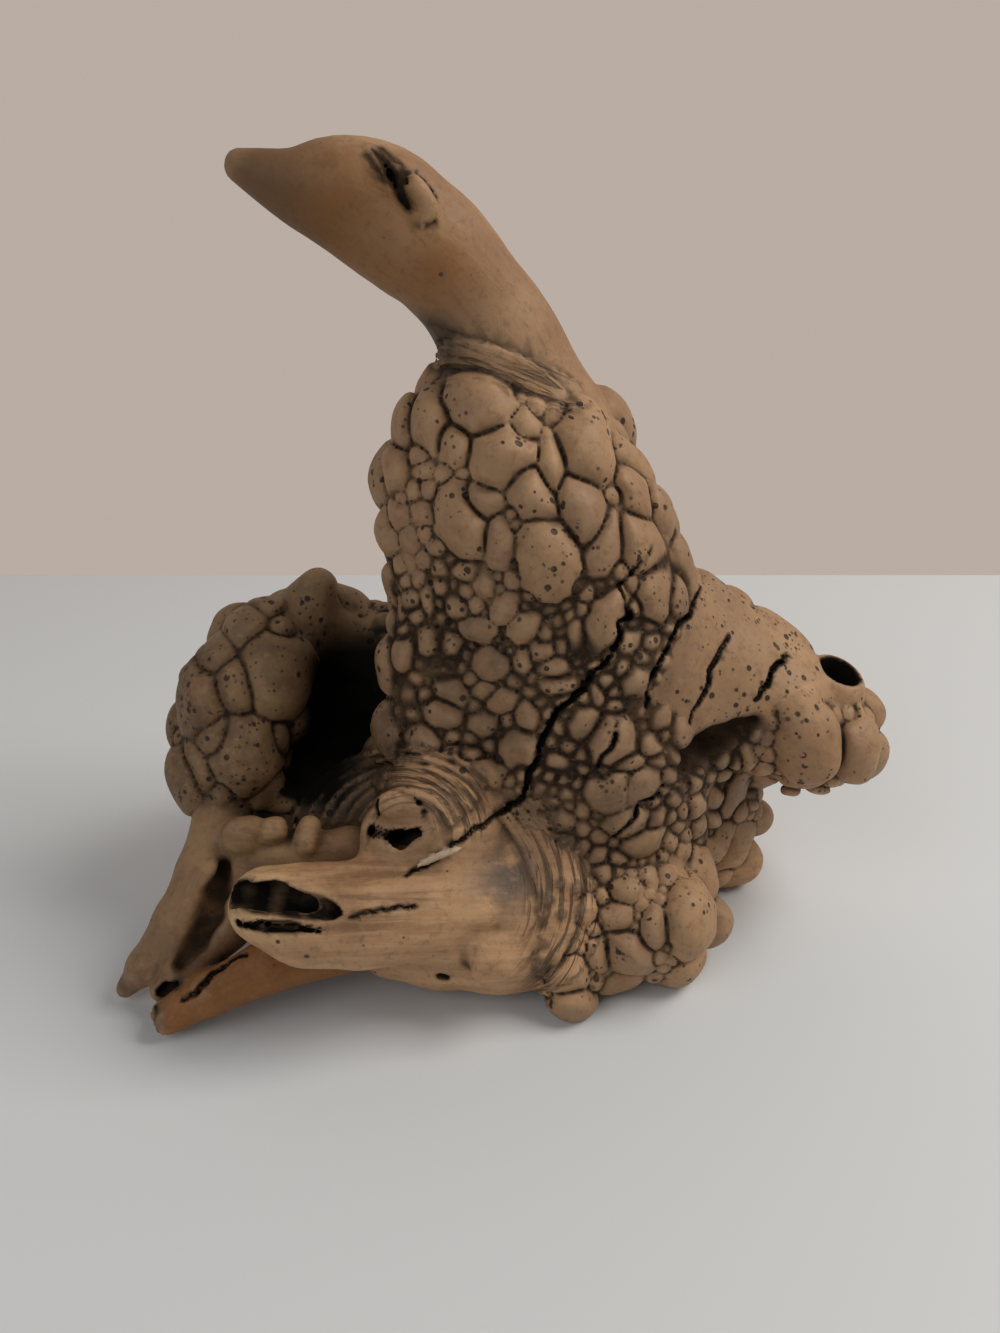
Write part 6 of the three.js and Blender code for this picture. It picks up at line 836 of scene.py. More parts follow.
CRACKS = [
    [(45.84, -34.83, 152.19, 0.51), (44.85, -35.54, 150.63, 0.51), (43.66, -35.61, 150.73, 0.51), (42.9, -36.05, 148.47, 0.51), (41.22, -35.92, 147.37, 0.51), (40.13, -35.2, 145.28, 0.54), (39.2, -36.46, 144.31, 0.57), (37.38, -37.83, 142.94, 0.59), (35.26, -39.47, 142.88, 0.62), (35.37, -40.82, 142.22, 0.65), (36.46, -42.2, 140.6, 0.68), (37.78, -42.39, 139.71, 0.7), (38.92, -42.3, 137.94, 0.73), (38.4, -43.18, 137.11, 0.75), (39.47, -42.2, 135.25, 0.77), (40.12, -39.17, 131.99, 0.81), (39.42, -39.79, 131.58, 0.83), (35.89, -46.25, 132.61, 0.84), (36.7, -42.4, 127.16, 0.86), (35.29, -43.54, 124.53, 0.89), (33.78, -44.42, 122.29, 0.91), (33.76, -44.73, 121.67, 0.92), (31.07, -45.86, 118.7, 0.94), (30.42, -46.28, 118.26, 0.95), (28.82, -46.59, 117.31, 0.96), (27.65, -46.97, 116.86, 0.97), (27.28, -47.41, 114.23, 0.98), (25.97, -47.74, 113.21, 0.99), (25.58, -47.98, 111.12, 1), (23.3, -48.43, 109.7, 1.01), (20.9, -48.45, 107.33, 1.01), (18.69, -48.32, 105.68, 1.02), (16.39, -48.09, 103.21, 1.03), (15.63, -48.19, 99.84, 1.03), (14.32, -48.23, 98.12, 1.03), (13.42, -48.44, 95.13, 1.03), (12.19, -48.68, 92.2, 1.03), (12.13, -49.63, 90.03, 1.02), (11.4, -50.3, 85.62, 1.01), (9.18, -49.52, 82.27, 1.01), (8.55, -49.54, 78.39, 1.01), (8.11, -49.28, 76.93, 0.99), (7.08, -48.94, 76.49, 0.98), (7.42, -49.08, 74.89, 0.97), (6.93, -48.74, 73.11, 0.95), (5.37, -48.39, 70.94, 0.94), (2.86, -48.21, 69.87, 0.92), (2.83, -48.5, 68.97, 0.9), (0.7, -50.18, 68.52, 0.88), (-2.24, -54.12, 68.4, 0.85), (-4.24, -56.76, 67.73, 0.82), (-7.29, -59.18, 68.83, 0.78), (-9.75, -61.29, 66.83, 0.76), (-11.19, -61.89, 66.51, 0.73), (-12.03, -62.44, 65.36, 0.7), (-14.86, -63.39, 65.99, 0.68), (-15.26, -63.69, 64.31, 0.65), (-16.36, -63.97, 62.76, 0.62), (-18.9, -64.47, 62.33, 0.59), (-19.85, -64.84, 61.1, 0.56), (-21.67, -65.14, 60.5, 0.53), (-23.03, -65.64, 59.57, 0.53), (-25.44, -66.32, 59.33, 0.53), (-26.69, -66.35, 59.43, 0.53), (-28.9, -69.16, 58.82, 0.52)],
    [(45.61, -32.7, 151.35, 0.57), (44.79, -33.35, 149.93, 0.57), (43.74, -33.42, 150.05, 0.57), (43.12, -33.81, 147.99, 0.57), (41.66, -33.69, 147.04, 0.57), (39.9, -33, 144.63, 0.6), (38.72, -34.35, 143.54, 0.63), (36.87, -35.73, 142.16, 0.66), (35.18, -37.71, 141.4, 0.69), (35.41, -39.11, 140.69, 0.72), (36.21, -40.26, 139.38, 0.75), (37.22, -40.43, 138.66, 0.78), (37.99, -40.37, 137.12, 0.81), (37.59, -41.18, 136.33, 0.83), (38.23, -40.34, 134.73, 0.86), (39.7, -37.04, 131.2, 0.9), (38.98, -37.68, 130.79, 0.92), (35.33, -44.1, 132, 0.93), (36.08, -40.26, 126.61, 0.96), (35.01, -41.36, 123.87, 0.99), (33.56, -42.25, 121.58, 1.01), (33.57, -42.56, 120.92, 1.02), (30.96, -43.69, 117.94, 1.04), (30.32, -44.11, 117.52, 1.05), (28.76, -44.41, 116.57, 1.07), (27.62, -44.79, 116.13, 1.08), (27.25, -45.22, 113.52, 1.09), (25.57, -45.58, 112.52, 1.1), (25.55, -45.77, 110.48, 1.11), (23.23, -46.16, 109.37, 1.12), (21.03, -46.24, 106.71, 1.12), (18.87, -46.12, 105.05, 1.13), (16.63, -45.89, 102.58, 1.14), (15.9, -46.01, 99.15, 1.14), (14.61, -46.06, 97.41, 1.14), (13.75, -46.3, 94.38, 1.14), (12.14, -46.6, 91.23, 1.14), (11.77, -47.55, 89.1, 1.13), (10.96, -48.06, 85.34, 1.12), (8.9, -47.35, 81.56, 1.12), (8.91, -47.34, 77.83, 1.12), (8.58, -47.13, 76.27, 1.1), (7.57, -46.8, 75.82, 1.09), (7.9, -46.93, 74.24, 1.08), (7.41, -46.59, 72.45, 1.06), (5.72, -46.26, 70.15, 1.04), (2.66, -46.14, 68.88, 1.02), (2.56, -46.46, 67.96, 1), (-0.1, -48.32, 67.43, 0.98), (-3.23, -52.34, 67.33, 0.94), (-5.16, -54.9, 66.73, 0.91), (-8.03, -57.26, 67.81, 0.87), (-10.35, -59.26, 65.92, 0.84), (-11.71, -59.84, 65.62, 0.81), (-12.51, -60.36, 64.5, 0.78), (-15.18, -61.28, 65.12, 0.75), (-15.55, -61.58, 63.45, 0.72), (-16.6, -61.88, 61.84, 0.69), (-19.02, -62.38, 61.37, 0.66), (-19.94, -62.82, 60, 0.62), (-21.76, -63.2, 59.26, 0.59), (-23.18, -63.87, 58.1, 0.59), (-25.66, -64.75, 57.66, 0.59), (-26.91, -64.83, 57.72, 0.59), (-29.27, -67.89, 56.94, 0.58)],
    [(45.38, -30.57, 150.52, 0.46), (44.73, -31.16, 149.24, 0.46), (43.82, -31.22, 149.38, 0.46), (43.34, -31.57, 147.51, 0.46), (42.1, -31.45, 146.71, 0.46), (39.68, -30.81, 143.99, 0.48), (38.23, -32.23, 142.77, 0.5), (36.36, -33.63, 141.37, 0.53), (35.09, -35.96, 139.91, 0.55), (35.45, -37.39, 139.15, 0.58), (35.95, -38.33, 138.17, 0.6), (36.66, -38.46, 137.6, 0.62), (37.06, -38.43, 136.29, 0.65), (36.78, -39.17, 135.55, 0.66), (37, -38.47, 134.2, 0.69), (39.28, -34.92, 130.42, 0.72), (38.55, -35.56, 129.99, 0.74), (34.78, -41.95, 131.39, 0.74), (35.47, -38.11, 126.06, 0.77), (34.73, -39.17, 123.21, 0.79), (33.33, -40.07, 120.87, 0.81), (33.38, -40.39, 120.18, 0.82), (30.85, -41.52, 117.19, 0.83), (30.23, -41.94, 116.77, 0.84), (28.7, -42.23, 115.83, 0.86), (27.59, -42.61, 115.4, 0.86), (27.21, -43.03, 112.81, 0.87), (25.17, -43.42, 111.83, 0.88), (25.51, -43.56, 109.83, 0.89), (23.17, -43.88, 109.04, 0.9), (21.16, -44.03, 106.08, 0.9), (19.05, -43.91, 104.42, 0.9), (16.87, -43.69, 101.95, 0.91), (16.16, -43.84, 98.47, 0.91), (14.9, -43.89, 96.7, 0.91), (14.08, -44.15, 93.63, 0.91), (12.09, -44.51, 90.26, 0.91), (11.41, -45.48, 88.18, 0.9), (10.53, -45.83, 85.05, 0.9), (8.62, -45.18, 80.85, 0.9), (9.26, -45.14, 77.26, 0.9), (9.05, -44.98, 75.61, 0.88), (8.07, -44.65, 75.16, 0.87), (8.39, -44.78, 73.58, 0.86), (7.89, -44.44, 71.78, 0.85), (6.07, -44.13, 69.35, 0.83), (2.46, -44.07, 67.89, 0.82), (2.29, -44.41, 66.94, 0.8), (-0.9, -46.45, 66.35, 0.78), (-4.22, -50.57, 66.25, 0.75), (-6.08, -53.05, 65.73, 0.73), (-8.76, -55.33, 66.78, 0.7), (-10.95, -57.24, 65.01, 0.67), (-12.24, -57.78, 64.72, 0.65), (-12.98, -58.28, 63.65, 0.62), (-15.5, -59.18, 64.25, 0.6), (-15.85, -59.47, 62.58, 0.58), (-16.83, -59.78, 60.92, 0.55), (-19.14, -60.3, 60.41, 0.53), (-20.04, -60.8, 58.91, 0.5), (-21.84, -61.26, 58.03, 0.47), (-23.33, -62.1, 56.64, 0.47), (-25.88, -63.18, 55.99, 0.47), (-27.13, -63.31, 56.01, 0.47), (-29.65, -66.62, 55.06, 0.46)],
    [(45.11, -28.16, 149.57, 0.34), (44.66, -28.68, 148.45, 0.34), (43.9, -28.73, 148.62, 0.34), (43.58, -29.04, 146.97, 0.34), (42.59, -28.93, 146.33, 0.34), (39.42, -28.32, 143.26, 0.36), (37.68, -29.84, 141.91, 0.38), (35.78, -31.25, 140.49, 0.4), (35, -33.97, 138.24, 0.41), (35.5, -35.45, 137.42, 0.43), (35.67, -36.13, 136.8, 0.45), (36.03, -36.24, 136.4, 0.47), (36, -36.25, 135.35, 0.49), (35.86, -36.9, 134.67, 0.5), (35.6, -36.36, 133.6, 0.52), (38.81, -32.52, 129.53, 0.54), (38.06, -33.17, 129.1, 0.55), (34.15, -39.52, 130.71, 0.56), (34.77, -35.68, 125.44, 0.58), (34.41, -36.7, 122.47, 0.59), (33.08, -37.61, 120.06, 0.61), (33.17, -37.94, 119.34, 0.61), (30.73, -39.07, 116.33, 0.62), (30.13, -39.48, 115.93, 0.63), (28.64, -39.77, 115, 0.64), (27.56, -40.15, 114.57, 0.65), (27.17, -40.56, 112.01, 0.65), (24.72, -40.98, 111.05, 0.66), (25.47, -41.07, 109.11, 0.67), (23.09, -41.31, 108.67, 0.67), (21.31, -41.53, 105.38, 0.67), (19.26, -41.42, 103.71, 0.68), (17.13, -41.2, 101.24, 0.68), (16.47, -41.37, 97.7, 0.68), (15.23, -41.44, 95.9, 0.68), (14.45, -41.72, 92.79, 0.68), (12.03, -42.16, 89.16, 0.68), (11.01, -43.13, 87.14, 0.68), (10.03, -43.29, 84.72, 0.67), (8.3, -42.73, 80.04, 0.67), (9.66, -42.65, 76.63, 0.67), (9.58, -42.54, 74.87, 0.66), (8.62, -42.22, 74.4, 0.65), (8.93, -42.35, 72.84, 0.65), (8.44, -42.01, 71.03, 0.64), (6.47, -41.72, 68.46, 0.62), (2.23, -41.74, 66.78, 0.61), (1.98, -42.09, 65.8, 0.6), (-1.81, -44.34, 65.12, 0.59), (-5.34, -48.56, 65.04, 0.56), (-7.12, -50.95, 64.61, 0.55), (-9.59, -53.16, 65.63, 0.52), (-11.62, -54.95, 63.98, 0.5), (-12.83, -55.46, 63.72, 0.49), (-13.53, -55.93, 62.68, 0.47), (-15.86, -56.8, 63.27, 0.45), (-16.19, -57.09, 61.6, 0.43), (-17.1, -57.41, 59.88, 0.41), (-19.28, -57.94, 59.32, 0.4), (-20.14, -58.52, 57.67, 0.37), (-21.93, -59.07, 56.63, 0.35), (-23.5, -60.11, 54.98, 0.35), (-26.12, -61.4, 54.11, 0.35), (-27.38, -61.59, 54.08, 0.35), (-30.07, -65.18, 52.93, 0.35)],
    [(66.71, -9.4, 130.36, 0.57), (65.12, -13.73, 129.81, 0.61), (63.3, -17.01, 129.68, 0.72), (61.94, -21.48, 127.64, 0.82), (60.83, -24.19, 126.01, 0.88), (57.56, -28.18, 125.5, 0.94), (55.72, -30.08, 124.9, 0.99), (53.65, -33.3, 122.47, 0.99), (51.92, -36.09, 119.42, 0.98), (49.39, -38.8, 116.33, 0.98), (48.5, -40.24, 114, 0.92), (47.42, -45.1, 112.4, 0.85), (46.42, -46.06, 108.82, 0.78), (46.46, -42.69, 105.48, 0.69), (45.7, -43.5, 103.75, 0.59), (45.16, -44.18, 101.29, 0.53)],
    [(66.05, -7.78, 128.86, 0.63), (64.49, -12.02, 128.41, 0.68), (62.66, -15.24, 128.35, 0.8), (61.35, -19.63, 126.4, 0.91), (60.26, -22.29, 124.83, 0.98), (56.88, -26.14, 124.69, 1.04), (55.14, -28.1, 123.88, 1.1), (53.11, -31.29, 121.51, 1.1), (51.4, -34.03, 118.54, 1.09), (48.89, -36.71, 115.53, 1.09), (47.71, -38.25, 113.15, 1.02), (46.64, -43.07, 111.63, 0.94), (45.57, -43.94, 108.54, 0.87), (46.05, -40.56, 104.72, 0.77), (45.33, -41.37, 102.97, 0.65), (44.82, -42.06, 100.47, 0.59)],
    [(65.4, -6.17, 127.36, 0.5), (63.85, -10.32, 127, 0.54), (62.02, -13.47, 127.03, 0.64), (60.75, -17.79, 125.17, 0.73), (59.69, -20.4, 123.66, 0.78), (56.21, -24.09, 123.87, 0.83), (54.56, -26.12, 122.86, 0.88), (52.56, -29.27, 120.55, 0.88), (50.88, -31.97, 117.65, 0.87), (48.39, -34.61, 114.73, 0.87), (46.92, -36.27, 112.29, 0.82), (45.86, -41.05, 110.87, 0.75), (44.72, -41.83, 108.25, 0.7), (45.63, -38.42, 103.97, 0.62), (44.96, -39.24, 102.18, 0.52), (44.48, -39.94, 99.65, 0.47)],
    [(64.66, -4.34, 125.66, 0.38), (63.13, -8.39, 125.41, 0.41), (61.3, -11.47, 125.54, 0.48), (60.08, -15.7, 123.78, 0.55), (59.05, -18.26, 122.33, 0.59), (55.44, -21.78, 122.95, 0.62), (53.91, -23.88, 121.71, 0.66), (51.94, -26.99, 119.47, 0.66), (50.3, -29.64, 116.66, 0.65), (47.83, -32.24, 113.82, 0.65), (46.03, -34.03, 111.32, 0.61), (44.98, -38.76, 110, 0.56), (43.76, -39.43, 107.93, 0.52), (45.17, -36.01, 103.11, 0.46), (44.53, -36.83, 101.3, 0.39), (44.09, -37.54, 98.73, 0.35)],
    [(75.21, -18.35, 116.8, 0.56), (75.24, -18.81, 116.43, 0.59), (73.03, -21.95, 114.56, 0.69), (71.56, -24.23, 113.18, 0.8), (69.92, -26.59, 110.98, 0.85), (67.67, -29.12, 108.8, 0.88), (67.62, -30.07, 105.73, 0.93), (66.41, -31.76, 102.45, 0.88), (66.18, -31.96, 102.51, 0.84), (65.29, -33.02, 100.66, 0.79), (63.7, -34.29, 98.7, 0.68), (61.82, -35.98, 96.43, 0.58), (61.12, -36.97, 93.78, 0.55)],
    [(74.88, -16.48, 115.5, 0.62), (74.91, -16.93, 115.14, 0.65), (72.65, -20.01, 113.4, 0.77), (71.15, -22.24, 112.1, 0.89), (69.49, -24.55, 110, 0.94), (67.23, -27.05, 107.9, 0.98), (67.19, -27.98, 104.88, 1.03), (65.98, -29.64, 101.66, 0.98), (65.75, -29.85, 101.72, 0.93), (64.86, -30.9, 99.89, 0.88), (63.26, -32.17, 97.92, 0.76), (61.38, -33.87, 95.64, 0.64), (60.56, -34.91, 92.93, 0.61)],
    [(74.54, -14.62, 114.2, 0.5), (74.58, -15.06, 113.85, 0.52), (72.27, -18.06, 112.24, 0.62), (70.74, -20.25, 111.03, 0.71), (69.05, -22.52, 109.02, 0.75), (66.79, -24.98, 107, 0.78), (66.77, -25.88, 104.04, 0.82), (65.55, -27.53, 100.86, 0.78), (65.32, -27.73, 100.93, 0.74), (64.42, -28.77, 99.11, 0.7), (62.83, -30.05, 97.15, 0.61), (60.93, -31.76, 94.85, 0.51), (60, -32.85, 92.07, 0.49)],
    [(74.16, -12.51, 112.73, 0.37), (74.21, -12.93, 112.4, 0.39), (71.84, -15.86, 110.92, 0.46), (70.27, -18, 109.81, 0.53), (68.56, -20.22, 107.91, 0.56), (66.29, -22.64, 105.98, 0.59), (66.29, -23.51, 103.08, 0.62), (65.07, -25.13, 99.97, 0.59), (64.84, -25.34, 100.03, 0.56), (63.94, -26.37, 98.24, 0.53), (62.33, -27.65, 96.28, 0.46), (60.43, -29.37, 93.96, 0.38), (59.36, -30.53, 91.1, 0.37)],
    [(97.9, -9.82, 106.11, 0.59), (96.05, -11.92, 105.99, 0.74), (96.05, -13.29, 104.98, 0.88), (93.72, -15.15, 105.06, 1.03), (90.98, -18.44, 103.78, 1.02), (90.05, -20.33, 101.82, 1.02), (89, -21.88, 99.88, 1.01), (86.44, -23.55, 98.64, 0.86), (86.02, -24.35, 96.32, 0.72), (84.28, -25.28, 95.84, 0.58)],
    [(97.55, -8.1, 104.63, 0.66), (95.69, -10.13, 104.59, 0.82), (95.72, -11.47, 103.62, 0.98), (93.37, -13.27, 103.78, 1.14), (90.64, -16.47, 102.64, 1.13), (89.76, -18.31, 100.76, 1.13), (88.74, -19.82, 98.9, 1.12), (86.22, -21.44, 97.74, 0.96), (85.84, -22.21, 95.5, 0.8), (84.13, -23.13, 95.06, 0.64)],
    [(97.2, -6.38, 103.14, 0.53), (95.33, -8.35, 103.18, 0.66), (95.4, -9.64, 102.25, 0.78), (93.01, -11.39, 102.5, 0.91), (90.3, -14.51, 101.51, 0.9), (89.46, -16.29, 99.7, 0.9), (88.48, -17.75, 97.92, 0.9), (86, -19.33, 96.85, 0.77), (85.65, -20.07, 94.68, 0.64), (83.98, -20.97, 94.28, 0.51)],
    [(96.81, -4.43, 101.46, 0.4), (94.92, -6.33, 101.6, 0.49), (95.03, -7.58, 100.71, 0.59), (92.61, -9.27, 101.06, 0.68), (89.92, -12.28, 100.22, 0.68), (89.12, -14, 98.51, 0.68), (88.19, -15.42, 96.82, 0.67), (85.76, -16.94, 95.84, 0.58), (85.45, -17.64, 93.76, 0.48), (83.81, -18.53, 93.4, 0.38)],
    [(36.21, -49.22, 101.37, 0.52), (35.39, -50.14, 100.63, 0.61), (35.25, -52.13, 98.66, 0.72), (35.05, -52.87, 97.33, 0.83), (33.72, -54.08, 94.45, 0.72), (30.96, -54.49, 91.65, 0.61), (29.83, -51.85, 85.99, 0.53)],
    [(36.25, -47.52, 99.82, 0.58), (35.5, -48.35, 99.18, 0.68), (35.37, -50.2, 97.41, 0.8), (35.18, -50.88, 96.18, 0.92), (33.93, -52, 93.5, 0.8), (31.38, -52.35, 90.94, 0.68), (30.25, -49.64, 85.53, 0.59)],
    [(36.29, -45.82, 98.28, 0.46), (35.62, -46.57, 97.74, 0.54), (35.49, -48.28, 96.15, 0.64), (35.31, -48.9, 95.02, 0.74), (34.14, -49.91, 92.55, 0.64), (31.79, -50.2, 90.24, 0.54), (30.67, -47.42, 85.07, 0.47)],
    [(36.33, -43.89, 96.53, 0.35), (35.74, -44.55, 96.1, 0.41), (35.62, -46.1, 94.74, 0.48), (35.45, -46.66, 93.71, 0.55), (34.37, -47.56, 91.47, 0.48), (32.27, -47.77, 89.44, 0.41), (31.14, -44.92, 84.54, 0.35)],
    [(52.89, -45.93, 77.01, 0.55), (50.42, -47.17, 72.5, 0.64), (44.7, -53.43, 73.07, 0.74), (42.94, -52.53, 69.67, 0.85), (40.9, -54.3, 67.08, 0.75), (38.28, -54.81, 64.34, 0.63), (36.63, -50.71, 59.67, 0.55)],
    [(52.45, -43.78, 76.3, 0.61), (50.03, -45, 71.86, 0.71), (44.26, -51.17, 72.99, 0.82), (42.86, -50.72, 68.25, 0.95), (41.02, -52.27, 66.01, 0.83), (38.63, -52.63, 63.69, 0.7), (36.52, -48.47, 59.15, 0.61)],
    [(52, -41.64, 75.6, 0.49), (49.64, -42.82, 71.21, 0.57), (43.81, -48.92, 72.91, 0.66), (42.79, -48.92, 66.82, 0.76), (41.15, -50.24, 64.94, 0.66), (38.97, -50.45, 63.04, 0.56), (36.41, -46.24, 58.64, 0.49)],
    [(51.5, -39.22, 74.79, 0.37), (49.2, -40.37, 70.48, 0.43), (43.31, -46.37, 72.83, 0.49), (42.7, -46.88, 65.22, 0.57), (41.28, -47.95, 63.73, 0.5), (39.35, -47.99, 62.31, 0.42), (36.29, -43.7, 58.05, 0.37)],
    [(-44.64, -81.71, 53.29, 0.57), (-42.21, -81.3, 53.28, 0.57), (-39.92, -80.48, 53.82, 0.57), (-37.4, -79.87, 53.29, 0.57), (-35.89, -79, 53.68, 0.57), (-33.9, -78.89, 52.69, 0.57), (-32.22, -77.72, 53.05, 0.57), (-30.32, -76.88, 53, 0.57), (-27.71, -76.28, 52.18, 0.58), (-25.79, -75.54, 52.05, 0.58)],
    [(-44.83, -80.15, 52.06, 0.51), (-42.45, -79.75, 52.03, 0.51), (-40.26, -78.97, 52.55, 0.51), (-37.81, -78.37, 52.03, 0.51), (-36.31, -77.54, 52.39, 0.51), (-34.34, -77.39, 51.44, 0.51), (-32.66, -76.26, 51.76, 0.51), (-30.75, -75.43, 51.7, 0.51), (-28.13, -74.81, 50.89, 0.52), (-26.19, -74.07, 50.75, 0.52)],
    [(-81.06, -69.89, 28.72, 0.55), (-84.83, -68.77, 27.33, 0.62), (-86.9, -70.38, 26.36, 0.75), (-88.52, -71.7, 25.56, 0.86), (-91.75, -73.26, 24.35, 0.86), (-92.84, -76.22, 23.23, 0.85), (-94.69, -77.58, 22.12, 0.85), (-95.96, -78.96, 20.39, 0.74), (-98.01, -79, 19.62, 0.61), (-100.24, -79.22, 18.09, 0.54)],
    [(-80.82, -68.67, 26.79, 0.61), (-84.64, -67.84, 25.24, 0.69), (-86.77, -69.36, 24.3, 0.83), (-88.43, -70.6, 23.54, 0.96), (-91.84, -72.17, 22.33, 0.96), (-93.04, -74.86, 21.38, 0.95), (-94.78, -76.07, 20.38, 0.95), (-95.96, -77.26, 18.83, 0.82), (-97.91, -77.33, 18.05, 0.68), (-100.24, -77.6, 16.46, 0.6)],
    [(-80.58, -67.45, 24.86, 0.49), (-84.45, -66.91, 23.14, 0.55), (-86.63, -68.34, 22.24, 0.66), (-88.34, -69.49, 21.52, 0.77), (-91.93, -71.08, 20.31, 0.77), (-93.24, -73.5, 19.54, 0.76), (-94.86, -74.57, 18.64, 0.76), (-95.96, -75.57, 17.27, 0.66), (-97.81, -75.66, 16.47, 0.54), (-100.23, -75.98, 14.82, 0.48)],
    [(-80.31, -66.06, 22.67, 0.37), (-84.23, -65.86, 20.77, 0.41), (-86.48, -67.19, 19.92, 0.5), (-88.23, -68.25, 19.24, 0.58), (-92.03, -69.84, 18.03, 0.58), (-93.47, -71.95, 17.46, 0.57), (-94.96, -72.87, 16.68, 0.57), (-95.96, -73.66, 15.51, 0.49), (-97.69, -73.77, 14.69, 0.41), (-100.22, -74.15, 12.98, 0.36)],
    [(-26.82, -24.81, 240.71, 0.51), (-25.38, -24.73, 240.01, 0.51), (-23.97, -24.4, 239.27, 0.51), (-22.15, -23.8, 238.67, 0.54), (-20.38, -23.14, 239.35, 0.51), (-18.91, -22.51, 239.87, 0.51), (-17.39, -21.64, 240.51, 0.51)],
    [(-22.44, -17.31, 253.12, 0.51), (-22.26, -17.8, 252.6, 0.54), (-21.5, -18.27, 251.41, 0.65), (-20.58, -17.97, 250.7, 0.76), (-20.14, -18.45, 250.01, 0.76), (-19.16, -18.41, 249.07, 0.76), (-18.99, -18.41, 248.75, 0.76), (-18.19, -18.13, 248.27, 0.66), (-18.09, -18.38, 247.76, 0.55), (-17.16, -18.36, 246.79, 0.51)],
    [(-22.97, -16.02, 252.58, 0.41), (-22.79, -16.5, 252.08, 0.43), (-22.01, -16.95, 250.92, 0.52), (-21.09, -16.65, 250.2, 0.61), (-20.64, -17.12, 249.54, 0.61), (-19.66, -17.08, 248.61, 0.61), (-19.49, -17.07, 248.3, 0.61), (-18.7, -16.79, 247.81, 0.53), (-18.59, -17.04, 247.32, 0.44), (-17.66, -17.02, 246.36, 0.41)],
]
SPLINTER = [(-25.93, -65.48, 59.12, 0.47), (-23.3, -64.36, 59.97, 1.06), (-18.56, -63.63, 61.98, 1.18), (-13.65, -62.53, 63.4, 0.93), (-11.69, -61.88, 63.7, 0.44)]

# The collar of the lost branch at the tail's end.
COLLAR_AT = np.array([118.3, 1.5, 90.6])
COLLAR_AXIS = np.array([0.30, -0.22, 0.93])

# The eroded knot on the head, the broken leg ends, and where the fibres sweep round.
SCAR = [[-33.8, -26.0, 258.0, 1.5], [-30.0, -24.0, 253.8, 2.5], [-27.2, -22.0, 249.4, 2.5], [-25.0, -22.0, 244.8, 1.0]]
ENDS = [[-110.2, -80.0, 11.3, 6.5], [-109.4, -72.0, 15.4, 5.0], [-126.2, -62.0, 6.9, 5.5], [-103.9, -72.0, 17.9, 4.0]]
SOCKET_AT = [-29.5, -60.0, 66.0]
BULGE_AT = [-18.8, -66.0, 48.7]
NECK_BASE = [[-20.0, -12.0, 204.8], [19.2, -16.0, 192.2]]

LO = np.array([-136.0, -92.0, -2.4])
HI = np.array([146.0, 84.0, 266.0])


# ---------------------------------------------------------------- distance field
N = np.ceil((HI - LO) / VOXEL).astype(int) + 1
AX = [(LO[i] + VOXEL * np.arange(N[i])).astype(f32) for i in range(3)]
D = np.full(N, 60.0, f32)


def window(lo, hi):
    i0 = np.maximum(np.floor((np.asarray(lo) - LO) / VOXEL).astype(int), 0)
    i1 = np.minimum(np.ceil((np.asarray(hi) - LO) / VOXEL).astype(int) + 1, N)
    if (i1 <= i0).any():
        return None
    sl = tuple(slice(a, b) for a, b in zip(i0, i1))
    return sl, AX[0][sl[0]][:, None, None], AX[1][sl[1]][None, :, None], AX[2][sl[2]][None, None, :]


def smin(a, b, k):
    h = np.maximum(k - np.abs(a - b), 0) / k
    return np.minimum(a, b) - h * h * (k * 0.25)


def smax(a, b, k):
    h = np.maximum(k - np.abs(a - b), 0) / k
    return np.maximum(a, b) + h * h * (k * 0.25)


def round_cone(X, Y, Z, a, b, r1, r2):
    ba = [float(b[i] - a[i]) for i in range(3)]
    l2 = ba[0] ** 2 + ba[1] ** 2 + ba[2] ** 2
    px, py, pz = X - f32(a[0]), Y - f32(a[1]), Z - f32(a[2])
    if l2 < 1e-6 or abs(r1 - r2) >= math.sqrt(l2) * 0.999:
        if r1 >= r2:
            return np.sqrt(px * px + py * py + pz * pz) - f32(r1)
        px, py, pz = X - f32(b[0]), Y - f32(b[1]), Z - f32(b[2])
        return np.sqrt(px * px + py * py + pz * pz) - f32(r2)
    # along the axis and away from it
    il = 1.0 / math.sqrt(l2)
    L = math.sqrt(l2)
    y = (px * f32(ba[0] * il) + py * f32(ba[1] * il) + pz * f32(ba[2] * il))
    x2 = np.maximum(px * px + py * py + pz * pz - y * y, 0)
    x = np.sqrt(x2)
    s = (r1 - r2) / L
    c = math.sqrt(1 - s * s)
    k = y * f32(c) - x * f32(s)
    d = x * f32(c) + y * f32(s) - f32(r1)
    lo = k < 0
    hi = k > c * L
    d = np.where(lo, np.sqrt(x2 + y * y) - f32(r1), d)
    d = np.where(hi, np.sqrt(x2 + (y - f32(L)) ** 2) - f32(r2), d)
    return d


def chain_distance(X, Y, Z, pts, k):
    d = None
    if len(pts) == 1:
        return round_cone(X, Y, Z, pts[0][:3], pts[0][:3], pts[0][3], pts[0][3])
    for a, b in zip(pts[:-1], pts[1:]):
        e = round_cone(X, Y, Z, a[:3], b[:3], a[3], b[3])
        d = e if d is None else (smin(d, e, k) if k > 0 else np.minimum(d, e))
    return d


def span(pts, m):
    p = np.array(pts, float)
    return (p[:, :3] - p[:, 3:4]).min(0) - m, (p[:, :3] + p[:, 3:4]).max(0) + m


